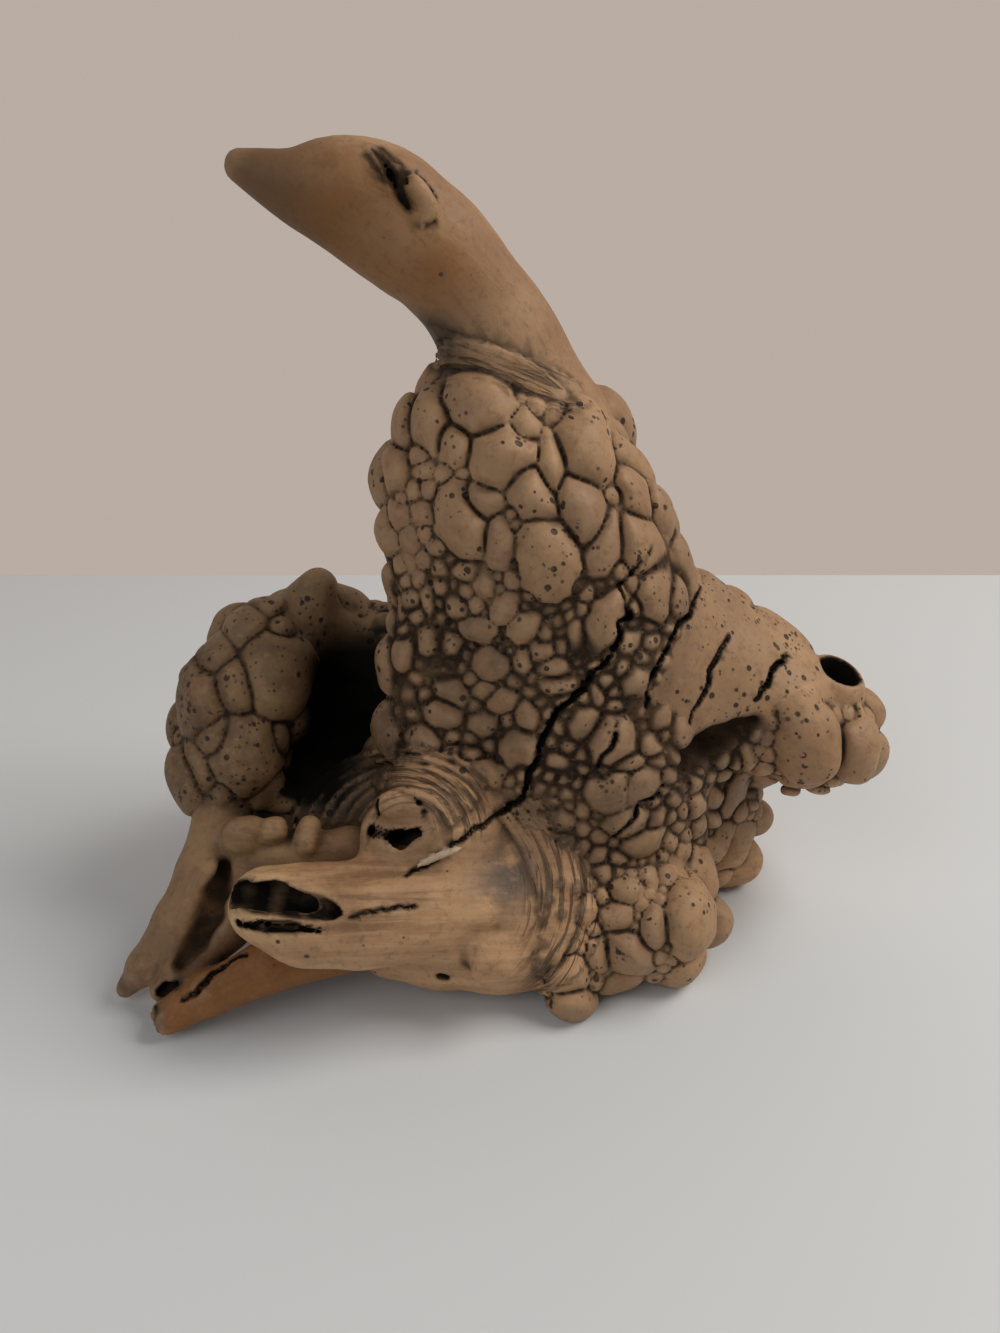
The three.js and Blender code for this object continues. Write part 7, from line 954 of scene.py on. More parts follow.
def lattice_noise(cell, seed):
    """Smooth noise over the whole window, about one bump per cell millimetres, mean 0, about +-1."""
    rng = np.random.default_rng(seed)
    m = [int(math.ceil((HI[i] - LO[i]) / cell)) + 4 for i in range(3)]
    v = rng.uniform(-1, 1, m).astype(f32)
    for i in range(3):
        t = (AX[i] - LO[i]) / cell + 1.0
        j = np.floor(t).astype(int)
        f = (t - j).astype(f32)
        w = [((1 - f) ** 3) / 6, (3 * f ** 3 - 6 * f ** 2 + 4) / 6, (-3 * f ** 3 + 3 * f ** 2 + 3 * f + 1) / 6, f ** 3 / 6]
        W = np.zeros((len(AX[i]), m[i]), f32)
        for q in range(4):
            W[np.arange(len(j)), np.clip(j - 1 + q, 0, m[i] - 1)] += w[q]
        v = np.moveaxis(np.tensordot(W, np.moveaxis(v, i, 0), axes=(1, 0)), 0, i)
    return np.ascontiguousarray(v * 1.7, dtype=f32)


def basis(yaw, pitch, roll):
    y, p, r = math.radians(yaw), math.radians(pitch), math.radians(roll)
    w = -np.array([math.sin(y) * math.cos(p), math.cos(y) * math.cos(p), math.sin(p)])
    u = np.cross([0, 0, 1], w)
    u /= np.linalg.norm(u)
    v = np.cross(w, u)
    c, s = math.cos(r), math.sin(r)
    return np.array([u * c - v * s, u * s + v * c, w])


def ellipsoid(row, m=4.0, warp=None, amount=1.0):
    x, y, z, a, b, c, yaw, pitch, roll = row
    R = max(a, b, c) + m
    got = window((x - R, y - R, z - R), (x + R, y + R, z + R))
    if got is None:
        return None, None
    sl, X, Y, Z = got
    B = basis(yaw, pitch, roll).astype(f32)
    px, py, pz = X - f32(x), Y - f32(y), Z - f32(z)
    if warp is not None:
        px = px + warp[0][sl] * f32(amount)
        py = py + warp[1][sl] * f32(amount)
        pz = pz + warp[2][sl] * f32(amount)
    q = [px * B[i, 0] + py * B[i, 1] + pz * B[i, 2] for i in range(3)]
    # a slightly squared-off oval with a flattened top, as pebbles pressed together have
    flat = np.power(np.power(np.abs(q[0] / f32(a)), f32(2.4)) + np.power(np.abs(q[1] / f32(b)), f32(2.4)), f32(1 / 2.4))
    k0 = np.power(np.power(flat, f32(2.4)) + np.power(np.abs(q[2] / f32(c)), f32(2.4)), f32(1 / 2.4))
    k1 = np.sqrt((q[0] / f32(a * a)) ** 2 + (q[1] / f32(b * b)) ** 2 + (q[2] / f32(c * c)) ** 2) + f32(1e-6)
    return sl, k0 * (k0 - 1) / k1


warp = [lattice_noise(9.0, SEED + i) * f32(1.0) + lattice_noise(4.0, SEED + 10 + i) * f32(0.5) for i in range(3)]

tick("warp")
# the limbs, each softly grown into the last
def even(pts, n=5):
    """Stations closer together on a smooth curve through the given ones."""
    p = np.array(pts, float)
    q = np.vstack([2 * p[0] - p[1], p, 2 * p[-1] - p[-2]])
    out = []
    for i in range(1, len(q) - 2):
        for k in range(n):
            t = k / n
            out.append(0.5 * (2 * q[i] + (q[i + 1] - q[i - 1]) * t + (2 * q[i - 1] - 5 * q[i] + 4 * q[i + 1] - q[i + 2]) * t * t + (3 * q[i] - q[i - 1] - 3 * q[i + 1] + q[i + 2]) * t ** 3))
    out.append(p[-1])
    return [list(v) for v in out]


SMOOTH = np.full(N, 20.0, f32)
for name, blend, wood, pts in LIMBS:
    sl, X, Y, Z = window(*span(pts, 14.0))
    if wood == "neck":
        e = np.full(np.broadcast_shapes(X.shape, Y.shape, Z.shape), 20.0, f32)
        pts = even(pts, 4)
        for a, b in zip(pts[:-1], pts[1:]):
            s2, X2, Y2, Z2 = window(*span([a, b], 10.0))
            at = tuple(slice(max(p.start, q.start) - q.start, min(p.stop, q.stop) - q.start) for p, q in zip(s2, sl))
            e[at] = np.minimum(e[at], round_cone(X[at[0]], Y[:, at[1]], Z[:, :, at[2]], a[:3], b[:3], a[3], b[3]))
    else:
        e = chain_distance(X, Y, Z, pts, min(6.0, blend))
    if wood in ("neck", "bare") and name not in ("flange", "leg1", "leg2", "midleg", "ledge"):
        SMOOTH[sl] = np.minimum(SMOOTH[sl], e)
    D[sl] = smin(D[sl], e.astype(f32), blend)

tick("limbs")
# slow unevenness of grown wood
D += lattice_noise(26.0, SEED + 30) * f32(0.6) + lattice_noise(11.0, SEED + 31) * f32(0.25)
BASE = D.copy()

tick("base")
# The burl's nodules press against each other: every spot belongs to the nearest, and a groove runs where two meet.
F1 = np.full(N, 9.0, f32)
F2 = np.full(N, 9.0, f32)
HIGH = np.zeros(N, f32)
WIDE = np.ones(N, f32)
for row in NODULES + PEBBLES:
    x, y, z, a, b, c, yaw, pitch, roll = row
    q = math.sqrt(a * b)
    R = max(1.85 * max(a, b), max(a, b) + 8.0)
    got = window((x - R, y - R, z - R), (x + R, y + R, z + R))
    if got is None:
        continue
    sl, X, Y, Z = got
    B = basis(yaw, pitch, roll).astype(f32)
    wob = f32(1.45 if q > 4 else 0.75)
    px = X - f32(x) + warp[0][sl] * wob
    py = Y - f32(y) + warp[1][sl] * wob
    pz = Z - f32(z) + warp[2][sl] * wob
    u, v, w = [px * B[i, 0] + py * B[i, 1] + pz * B[i, 2] for i in range(3)]
    s = (np.sqrt((u / f32(a)) ** 2 + (v / f32(b)) ** 2 + (w / f32(1.5 * q)) ** 2) - 1) * f32(q)
    old = F1[sl]
    closer = s < old
    F2[sl] = np.minimum(F2[sl], np.maximum(old, s))
    F1[sl] = np.where(closer, s, old)
    HIGH[sl] = np.where(closer, f32(c), HIGH[sl])
    WIDE[sl] = np.where(closer, f32(q), WIDE[sl])
GAP = 0.5 * (F2 - F1)
swell = np.clip((WIDE - f32(4.0)) / f32(2.5), 0, 1)
merged = lattice_noise(15.0, SEED + 50)
merged = np.clip(merged * f32(0.4), 0, 0.22) * (1 - swell) + np.clip(merged * f32(0.8) + f32(0.04), 0, 0.55) * swell
del swell
merged += (f32(0.62) - merged) * np.clip((f32(-58) - AX[0]) / f32(8), 0, 1).astype(f32)[:, None, None] * f32(0.6)
shoulder = np.clip(GAP / (f32(0.72) * WIDE), 0, 1)
shoulder = np.power(1 - (1 - shoulder) ** 2, f32(0.66))
shoulder += (1 - shoulder) * merged
ball = np.sqrt(np.clip(1 - ((F1 / WIDE + 1) / f32(1.27)) ** 2, 0, 1))
edge = np.clip((f32(0.85) * WIDE - F1) / (f32(0.5) * WIDE), 0, 1)
HIGH *= np.clip((SMOOTH + f32(0.6)) / f32(4.5), 0.06, 1)
D -= HIGH * edge * shoulder * (f32(0.12) + f32(1.0) * ball)
GAP = np.where(edge > 0.15, np.minimum(GAP + merged * f32(1.5) + np.clip(2.0 - SMOOTH, 0, 3), 3.0), 3.0).astype(f32)
del F1, F2, HIGH, WIDE, shoulder, edge, ball, merged, SMOOTH
for row in NODULES:
    if row[5] > 8:
        sl, e = ellipsoid(row, 4.0, warp, 0.8)
        D[sl] = smin(D[sl], e, 1.2)
tick("pebbles")
for row in SWELLINGS:
    sl, e = ellipsoid(row, 4.0, warp, 0.6)
    D[sl] = smin(D[sl], e, 2.4)
for pts in FIBRES:
    sl, X, Y, Z = window(*span(pts, 3.0))
    D[sl] = smin(D[sl], chain_distance(X, Y, Z, pts, 0.4), 0.7)

# the collar at the tail: a short cup
ca = COLLAR_AXIS / np.linalg.norm(COLLAR_AXIS)
cup = [[*(COLLAR_AT - ca * 14), 12.0], [*(COLLAR_AT - ca * 6.5), 13.4]]
sl, X, Y, Z = window(*span(cup, 4.0))
D[sl] = smin(D[sl], chain_distance(X, Y, Z, cup, 0.5), 1.0)
pit = [[*(COLLAR_AT + ca * 5), 7.6], [*(COLLAR_AT - ca * 6), 5.4]]
sl, X, Y, Z = window(*span(pit, 4.0))
D[sl] = smax(D[sl], -chain_distance(X, Y, Z, pit, 0.5), 1.6)

# recesses with soft edges, hollows with ragged ones, then the cracks
for pts in RECESSES:
    sl, X, Y, Z = window(*span(pts, 6.0))
    e = chain_distance(X + warp[0][sl] * f32(0.9), Y + warp[1][sl] * f32(0.9), Z + warp[2][sl] * f32(0.9), pts, 2.0)
    D[sl] = smax(D[sl], -e, 4.0)
for pts in HOLLOWS:
    sl, X, Y, Z = window(*span(pts, 4.0))
    e = chain_distance(X + warp[0][sl] * f32(0.7), Y + warp[1][sl] * f32(0.7), Z + warp[2][sl] * f32(0.7), pts, 1.0)
    D[sl] = smax(D[sl], -e, 0.8)
for pts in CRACKS:
    sl, X, Y, Z = window(*span(pts, 2.5))
    e = chain_distance(X + warp[0][sl] * f32(0.25), Y, Z + warp[2][sl] * f32(0.25), pts, 0.0)
    D[sl] = np.maximum(D[sl], -e)
sl, X, Y, Z = window(*span(SPLINTER, 3.0))
D[sl] = smin(D[sl], chain_distance(X, Y, Z, SPLINTER, 0.3), 0.4)

# fine unevenness, then the feet worn flat on the floor
fine = lattice_noise(2.6, SEED + 40)
D += fine * f32(0.10)
D = np.maximum(D, -AX[2][None, None, :])


tick("field")
# ---------------------------------------------------------------- surface
def surface_nets(D):
    inside = D < 0
    n = D.shape
    count = np.zeros((n[0] - 1, n[1] - 1, n[2] - 1), np.uint8)
    for dx in (0, 1):
        for dy in (0, 1):
            for dz in (0, 1):
                count += inside[dx:n[0] - 1 + dx, dy:n[1] - 1 + dy, dz:n[2] - 1 + dz]
    cells = np.argwhere((count > 0) & (count < 8)).astype(np.int32)
    index = np.full(count.shape, -1, np.int32)
    index[cells[:, 0], cells[:, 1], cells[:, 2]] = np.arange(len(cells), dtype=np.int32)
    total = np.zeros((len(cells), 3), f32)
    hits = np.zeros(len(cells), f32)
    corners = [(0, 0, 0), (1, 0, 0), (0, 1, 0), (1, 1, 0), (0, 0, 1), (1, 0, 1), (0, 1, 1), (1, 1, 1)]
    val = [D[cells[:, 0] + c[0], cells[:, 1] + c[1], cells[:, 2] + c[2]] for c in corners]
    for a in range(8):
        for b in range(a + 1, 8):
            if sum(abs(corners[a][i] - corners[b][i]) for i in range(3)) != 1:
                continue
            cross = (val[a] < 0) != (val[b] < 0)
            t = np.where(cross, val[a] / np.where(cross, val[a] - val[b], 1), 0).astype(f32)
            p = np.array(corners[a], f32)[None] + t[:, None] * (np.array(corners[b], f32) - np.array(corners[a], f32))[None]
            total += np.where(cross[:, None], p, 0)
            hits += cross
    verts = (cells + total / hits[:, None]) * VOXEL + LO
    faces = []
    for ax in range(3):
        o1, o2 = [(1, 2), (2, 0), (0, 1)][ax]
        s0 = [slice(None)] * 3
        s1 = [slice(None)] * 3
        s0[ax] = slice(0, n[ax] - 1)
        s1[ax] = slice(1, n[ax])
        change = inside[tuple(s0)] != inside[tuple(s1)]
        e = np.argwhere(change)
        ok = (e[:, o1] > 0) & (e[:, o2] > 0) & (e[:, o1] < n[o1] - 1) & (e[:, o2] < n[o2] - 1)
        e = e[ok]
        first = inside[e[:, 0], e[:, 1], e[:, 2]]
        q = []
        for d1, d2 in ((0, 0), (1, 0), (1, 1), (0, 1)):
            c = e.copy()
            c[:, o1] -= d1
            c[:, o2] -= d2
            q.append(index[c[:, 0], c[:, 1], c[:, 2]])
        q = np.stack(q, 1)
        q[~first] = q[~first][:, ::-1]
        faces.append(q)
    return verts, np.concatenate(faces)


def sample(A, P):
    t = np.clip((P - LO) / VOXEL, 0, np.array(A.shape) - 1.001)
    i = t.astype(np.int32)
    f = (t - i).astype(f32)
    out = np.zeros(len(P), f32)
    for dx in (0, 1):
        wx = f[:, 0] if dx else 1 - f[:, 0]
        for dy in (0, 1):
            wy = f[:, 1] if dy else 1 - f[:, 1]
            for dz in (0, 1):
                wz = f[:, 2] if dz else 1 - f[:, 2]
                out += wx * wy * wz * A[i[:, 0] + dx, i[:, 1] + dy, i[:, 2] + dz]
    return out


def box_blur(A, r):
    for axis in range(3):
        pad = [(0, 0)] * 3
        pad[axis] = (r + 1, r)
        c = np.cumsum(np.pad(A, pad, mode="edge"), axis=axis, dtype=f32)
        s0 = [slice(None)] * 3
        s1 = [slice(None)] * 3
        s0[axis] = slice(2 * r + 1, None)
        s1[axis] = slice(0, -(2 * r + 1))
        A = (c[tuple(s0)] - c[tuple(s1)]) / f32(2 * r + 1)
    return A


verts, quads = surface_nets(D)

tick("nets")
# only the one body: specks that the cracks cut loose are dropped
mesh = bpy.data.meshes.new("burl_wood_look")
mesh.from_pydata([], [], [])
mesh.vertices.add(len(verts))
mesh.vertices.foreach_set("co", verts.astype(f32).ravel())
mesh.loops.add(len(quads) * 4)
mesh.loops.foreach_set("vertex_index", quads.astype(np.int32).ravel())
mesh.polygons.add(len(quads))
mesh.polygons.foreach_set("loop_start", np.arange(len(quads), dtype=np.int32) * 4)
mesh.polygons.foreach_set("loop_total", np.full(len(quads), 4, np.int32))
mesh.update(calc_edges=True)

import bmesh
label = np.arange(len(verts), dtype=np.int64)
edges = np.concatenate([quads[:, [0, 1]], quads[:, [1, 2]], quads[:, [2, 3]], quads[:, [3, 0]]])
for _ in range(400):
    low = label.copy()
    np.minimum.at(low, edges[:, 0], label[edges[:, 1]])
    np.minimum.at(low, edges[:, 1], label[edges[:, 0]])
    low = low[low]
    low = low[low]
    if (low == label).all():
        break
    label = low
ids, counts = np.unique(label, return_counts=True)
main = ids[np.argmax(counts)]
if len(ids) > 1:
    bm = bmesh.new()
    bm.from_mesh(mesh)
    bm.verts.ensure_lookup_table()
    gone = [bm.verts[int(i)] for i in np.nonzero(label != main)[0]]
    bmesh.ops.delete(bm, geom=gone, context="VERTS")
    bm.to_mesh(mesh)
    bm.free()

obj = bpy.data.objects.new("burl_wood_look", mesh)
bpy.context.scene.collection.objects.link(obj)

tick("island")
# fewer triangles where the wood is smooth
tri = len(mesh.polygons) * 2
mod = obj.modifiers.new("thin", "DECIMATE")
mod.decimate_type = "COLLAPSE"
mod.ratio = min(1.0, TRIANGLES / tri)
mod.use_collapse_triangulate = True
deps = bpy.context.evaluated_depsgraph_get()
thin = bpy.data.meshes.new_from_object(obj.evaluated_get(deps))
obj.modifiers.clear()
obj.data = thin
bpy.data.meshes.remove(mesh)
mesh = thin
mesh.name = "burl_wood_look"
V = np.empty(len(mesh.vertices) * 3, f32)
mesh.vertices.foreach_get("co", V)
V = V.reshape(-1, 3).astype(np.float64)

NORMAL = np.empty(len(V) * 3, f32)
mesh.vertex_normals.foreach_get("vector", NORMAL)
NORMAL = NORMAL.reshape(-1, 3).astype(np.float64)
tick("thin")
# ---------------------------------------------------------------- what the colour depends on
solid = np.clip(0.5 - D / VOXEL, 0, 1).astype(f32)
cav1 = sample(box_blur(box_blur(solid, 1), 1), V)
cav2 = sample(box_blur(box_blur(solid, 3), 2), V)
cav3 = sample(box_blur(box_blur(solid, 7), 6), V)
gap = sample(GAP, V)


def chain_points(P, pts):
    best = np.full(len(P), 1e3)
    P = P.astype(np.float64)
    if len(pts) == 1:
        return np.linalg.norm(P - np.array(pts[0][:3]), axis=1) - pts[0][3]
    for a, b in zip(pts[:-1], pts[1:]):
        A, B = np.array(a[:3], float), np.array(b[:3], float)
        ab = B - A
        t = np.clip(((P - A) @ ab) / max(ab @ ab, 1e-9), 0, 1)
        best = np.minimum(best, np.linalg.norm(P - (A + t[:, None] * ab), axis=1) - (a[3] + (b[3] - a[3]) * t))
    return best


def step(a, b, x):
    t = np.clip((x - a) / (b - a), 0, 1)
    return t * t * (3 - 2 * t)


tick("cavity")
near = {}
for name, blend, wood, pts in LIMBS:
    d = chain_points(V, pts)
    near[wood] = np.minimum(near.get(wood, np.full(len(V), 1e3)), d)
    near[name] = d
bare = step(2.5, -2.5, near["bare"] - np.minimum(near["burl"], near["hollow"]))
neckw = step(3.0, -3.0, near["neck"] - near["burl"])
pitted = step(3.0, -3.0, near["tail"] - np.minimum(near["trunk"], near["undertail"])) * step(78, 92, V[:, 2]) * step(116, 104, V[:, 0])

# each nodule has its own tone
tone = np.full(len(V), 0.5)
nearest = np.full(len(V), 9.0)
rng = np.random.default_rng(SEED)
for row in NODULES + PEBBLES:
    c, R = np.array(row[:3]), max(row[3:6]) * 1.3
    m = np.nonzero((np.abs(V - c) < R).all(1))[0]
    value = rng.uniform(0, 1)
    if len(m):
        q = ((V[m] - c) @ basis(*row[6:9]).T) / np.array(row[3:6])
        k = np.sqrt((q * q).sum(1))
        better = k < nearest[m]
        nearest[m[better]] = k[better]
        tone[m[better]] = value

crackd = np.full(len(V), 1e3)
for pts in CRACKS:
    lo, hi = span(pts, 4.0)
    m = ((V > lo) & (V < hi)).all(1)
    if m.any():
        crackd[m] = np.minimum(crackd[m], chain_points(V[m], pts))
cutd = np.full(len(V), 1e3)
for pts in HOLLOWS:
    lo, hi = span(pts, 6.0)
    m = ((V > lo) & (V < hi)).all(1)
    if m.any():
        cutd[m] = np.minimum(cutd[m], chain_points(V[m], pts))
x, y, z = V.T
# the cup's hollow: its inner walls painted near black, partly the wood's own dark, partly painted shade
hollow = step(-92, -82, x) * step(-26, -38, x) * step(-12, 4, y) * step(30, 42, z) * step(112, 92, z)
inside_cup = np.minimum(np.minimum(near["cupfloor"], near["cupleft"]), near["backwall"])
others = np.minimum.reduce([near[k] for k in ("lobe", "jaw", "stem", "leg1", "socket", "trunk", "trunkleft", "ledge")])
hollow = np.maximum(hollow, step(1.5, -1.5, inside_cup - others) * step(-38, -58, x) * step(40, 20, y))
hollow *= 1 - step(3.0, 0.0, np.minimum.reduce([np.linalg.norm(V - np.array(q[:3]), axis=1) - max(q[3:5]) for q in SWELLINGS[:3]]))
hollow *= step(40, 32, y)
toward = np.array([-60.0, -5.0, 75.0]) - V
toward /= np.linalg.norm(toward, axis=1)[:, None]
hollow *= step(-0.25, 0.15, (toward * NORMAL).sum(1))
pitd = chain_points(V, pit)
# near black in cracks, cut hollows and the collar's pit: painted shade inside the openings
dark = np.maximum.reduce([step(0.65, 0.0, crackd), step(1.0, 0.1, cutd), hollow, step(1.3, 0.2, pitd)])
dark = np.clip(dark, 0, 1) * (1 - 0.15 * neckw)
# painted shade, near black, in the two soft recesses: the gap by the legs and the hollow under the tail ridge
recess_shade = np.zeros(len(V))
for pts in RECESSES[:2]:
    recess_shade = np.maximum(recess_shade, step(4.0, 0.0, chain_points(V, pts)))
fibre = np.full(len(V), 1e3)
for pts in FIBRES:
    lo, hi = span(pts, 6.0)
    m = ((V > lo) & (V < hi)).all(1)
    if m.any():
        fibre[m] = np.minimum(fibre[m], chain_points(V[m], pts))
# painted shade in the creases along the feet of the raised fibres
fibre_foot_shade = step(0.15, 0.8, fibre) * step(2.6, 1.4, fibre)
knob = np.exp(-((V - np.array(SWELLINGS[0][:3])) ** 2).sum(1) / 30.0)
splint = step(0.8, -0.2, chain_points(V, SPLINTER))
grey = np.exp(-((V - np.array([4.0, -64.0, 55.0])) ** 2).sum(1) / 130.0)
warm = np.maximum(step(3, -2, near["leg2"] - np.minimum(near["jaw"], 3)), 0.7 * step(3, -2, near["midleg"]))
warm = np.maximum(warm, 0.9 * np.exp(-((V - np.array([-18.0, -18.0, 228.0])) ** 2).sum(1) / 130.0))
# painted shade over the lower front of the burl, below the upper bulge, fading out above and below
lower_trunk_shade = (1 - np.maximum.reduce([bare, neckw, pitted])) * step(168, 118, z) * step(94, 70, x) * step(38, 56, z)
scar = np.maximum(step(4.2, 0.5, chain_points(V, SCAR)), 0)
ends = np.zeros(len(V))
for q in ENDS:
    ends = np.maximum(ends, step(q[3], q[3] * 0.4, np.linalg.norm(V - np.array(q[:3]), axis=1)))
shade = step(2.0, -1.0, np.minimum(near["leg1"], near["midleg"]) - np.minimum(near["jaw"], near["leg2"])) * (1 - neckw)
shade = np.maximum(shade, 0.8 * step(1.0, -1.0, near["ledge"] - np.minimum(near["jaw"], near["lobe"])))
shade = np.maximum(shade, 0.9 * step(2.0, -2.0, near["peak"] - near["lobe"]) * step(75, 90, z) * step(8, 4, near["peak"]) * step(-40, -50, x))
axis = np.array(sorted([p for q in LIMBS if q[0] == "jaw" for p in q[3]]))
lip = step(2.0, 8.0, z - np.interp(x, axis[:, 0], axis[:, 2])) * step(1.0, -1.0, near["jaw"] - np.minimum(near["socket"], near["collar"])) * step(-14, -26, x)
# the left lobe: where its pores gather, and where a pale wash of painted light goes
lobe_pores_and_light = step(2.0, -2.0, near["lobe"] - np.minimum(near["trunk"], near["trunkleft"])) * step(42, 52, z)
shade = np.maximum(shade, step(1.0, -1.0, near["stem"] - np.minimum(near["jaw"], near["root"])) * step(-40, -60, x))
shade = np.maximum(shade, 0.8 * step(15, 9, np.linalg.norm(V - np.array(SOCKET_AT), axis=1)) * step(1.5, -1.5, near["socket"] - near["jaw"]))
shade *= 1 - np.clip(1.3 * knob, 0, 0.95)
tint = neckw * step(-8, -52, x) * step(262, 232, z + 0.25 * x)
# painted shade under the neck where it meets the trunk, and under the tail ridge's overhang
underside_shade = np.clip(1.5 * np.exp(-((V - np.array([-17.0, -9.0, 209.0])) ** 2).sum(1) / 95.0), 0, 1)
underside_shade = np.maximum(underside_shade, 0.8 * step(11, 1, chain_points(V, RECESSES[1])) * step(91, 83, z))

# along and across the nearest limb, for the grain
along = np.zeros(len(V))
bestd = np.full(len(V), 1e9)
off = np.zeros((len(V), 3))
run = 0.0
for name, blend, wood, pts in LIMBS:
    for a, b in zip(pts[:-1], pts[1:]):
        A, B = np.array(a[:3], float), np.array(b[:3], float)
        ab = B - A
        L = np.linalg.norm(ab)
        u = ab / L
        t = (V - A) @ u
        tc = np.clip(t, 0, L)
        c = A + tc[:, None] * u
        d = np.linalg.norm(V - c, axis=1) - (a[3] + (b[3] - a[3]) * tc / L)
        m = d < bestd
        bestd[m] = d[m]
        along[m] = run + t[m]
        off[m] = (V - c)[m]
        run += L
    run += 40.0
# the jaw's grain runs straight across; round the socket and behind the jaw the fibres sweep in arcs
zone = {n: near[n] for n in ("jaw", "root", "collar", "socket", "stem", "under", "cupfloor", "trunk", "footlobe")}
first = np.minimum.reduce(list(zone.values()))
straight = (np.minimum.reduce([near["jaw"], near["root"], near["collar"], near["socket"], near["stem"], near["under"]]) < bestd + 0.5)
along[straight] = V[straight, 0]
off[straight] = V[straight] * np.array([0.0, 1.0, 1.0])
wrinkle = np.zeros(len(V))
sweep = np.stack([V[:, 0], V[:, 2], V[:, 1]], 1)
view = np.array([0.0, 0.90, -0.44])
e1 = np.array([1.0, 0.0, 0.0])
e2 = np.cross(view, e1)


def arcs(centre, mask, strength):
    r = V - np.array(centre)
    px, py = r @ e1, r @ e2
    rho = np.hypot(px, py)
    m = mask & (rho > 4) & (strength > wrinkle)
    sweep[m] = np.stack([np.arctan2(py, px) * np.maximum(rho, 12), rho, rho * 0], 1)[m]
    wrinkle[m] = strength[m]


arcs(SOCKET_AT, straight & (near["socket"] < near["jaw"] + 1.5) & (x < SOCKET_AT[0] + 34), step(34, 24, np.linalg.norm(V - np.array(SOCKET_AT), axis=1)) * step(8, 14, np.linalg.norm(V - np.array(SOCKET_AT), axis=1)) * step(-6, 5, z - SOCKET_AT[2]))
arcs(BULGE_AT, straight & (x > BULGE_AT[0] + 17), step(21, 33, x - BULGE_AT[0]) * np.clip(bare, 0, 1))
base_band = step(3, 9, chain_points(V, [[*NECK_BASE[0], 0.1], [*NECK_BASE[1], 0.1]]))
collar_m = (base_band < 0.99) & (neckw > 0.05)
ab = np.array(NECK_BASE[1]) - np.array(NECK_BASE[0])
ab /= np.linalg.norm(ab)
rel = V - np.array(NECK_BASE[0])
sweep[collar_m] = np.stack([rel @ ab, rel @ np.cross(ab, [0.0, -0.9, 0.44]), np.zeros(len(V))], 1)[collar_m]
wrinkle = np.maximum(wrinkle, (1 - base_band) * collar_m)
grain = np.stack([along * 0.001, off[:, 0] * 0.001, off[:, 2] * 0.001 + off[:, 1] * 0.0007], 1)


tick("zones")
def store(name, values):
    a = mesh.attributes.new(name, "FLOAT", "POINT")
    a.data.foreach_set("value", np.ascontiguousarray(values, dtype=f32))


for name, values in (("cav1", cav1), ("cav2", cav2), ("cav3", cav3), ("gap", gap), ("tone", tone), ("recess_shade", recess_shade), ("bare", np.maximum(bare, neckw)), ("neck", neckw), ("pitted", pitted),
                     ("dark", dark), ("fibre_foot_shade", fibre_foot_shade), ("knob", np.maximum(knob, 0)), ("splinter", splint), ("grey", grey), ("warm", warm), ("underside_shade", underside_shade), ("tint", tint), ("scar", scar), ("lip", lip), ("lobe_pores_and_light", lobe_pores_and_light), ("lower_trunk_shade", lower_trunk_shade), ("ends", ends), ("shade", shade), ("wrinkle", wrinkle)):
    store(name, values)
a = mesh.attributes.new("sweep", "FLOAT_VECTOR", "POINT")
a.data.foreach_set("vector", np.ascontiguousarray(sweep * 0.001, dtype=f32).ravel())
a = mesh.attributes.new("grain", "FLOAT_VECTOR", "POINT")
a.data.foreach_set("vector", np.ascontiguousarray(grain, dtype=f32).ravel())

# into the part's frame, in metres
P = (V - ORIGIN) * 0.001
mesh.vertices.foreach_set("co", P.astype(f32).ravel())
mesh.polygons.foreach_set("use_smooth", np.ones(len(mesh.polygons), bool))
mesh.update()


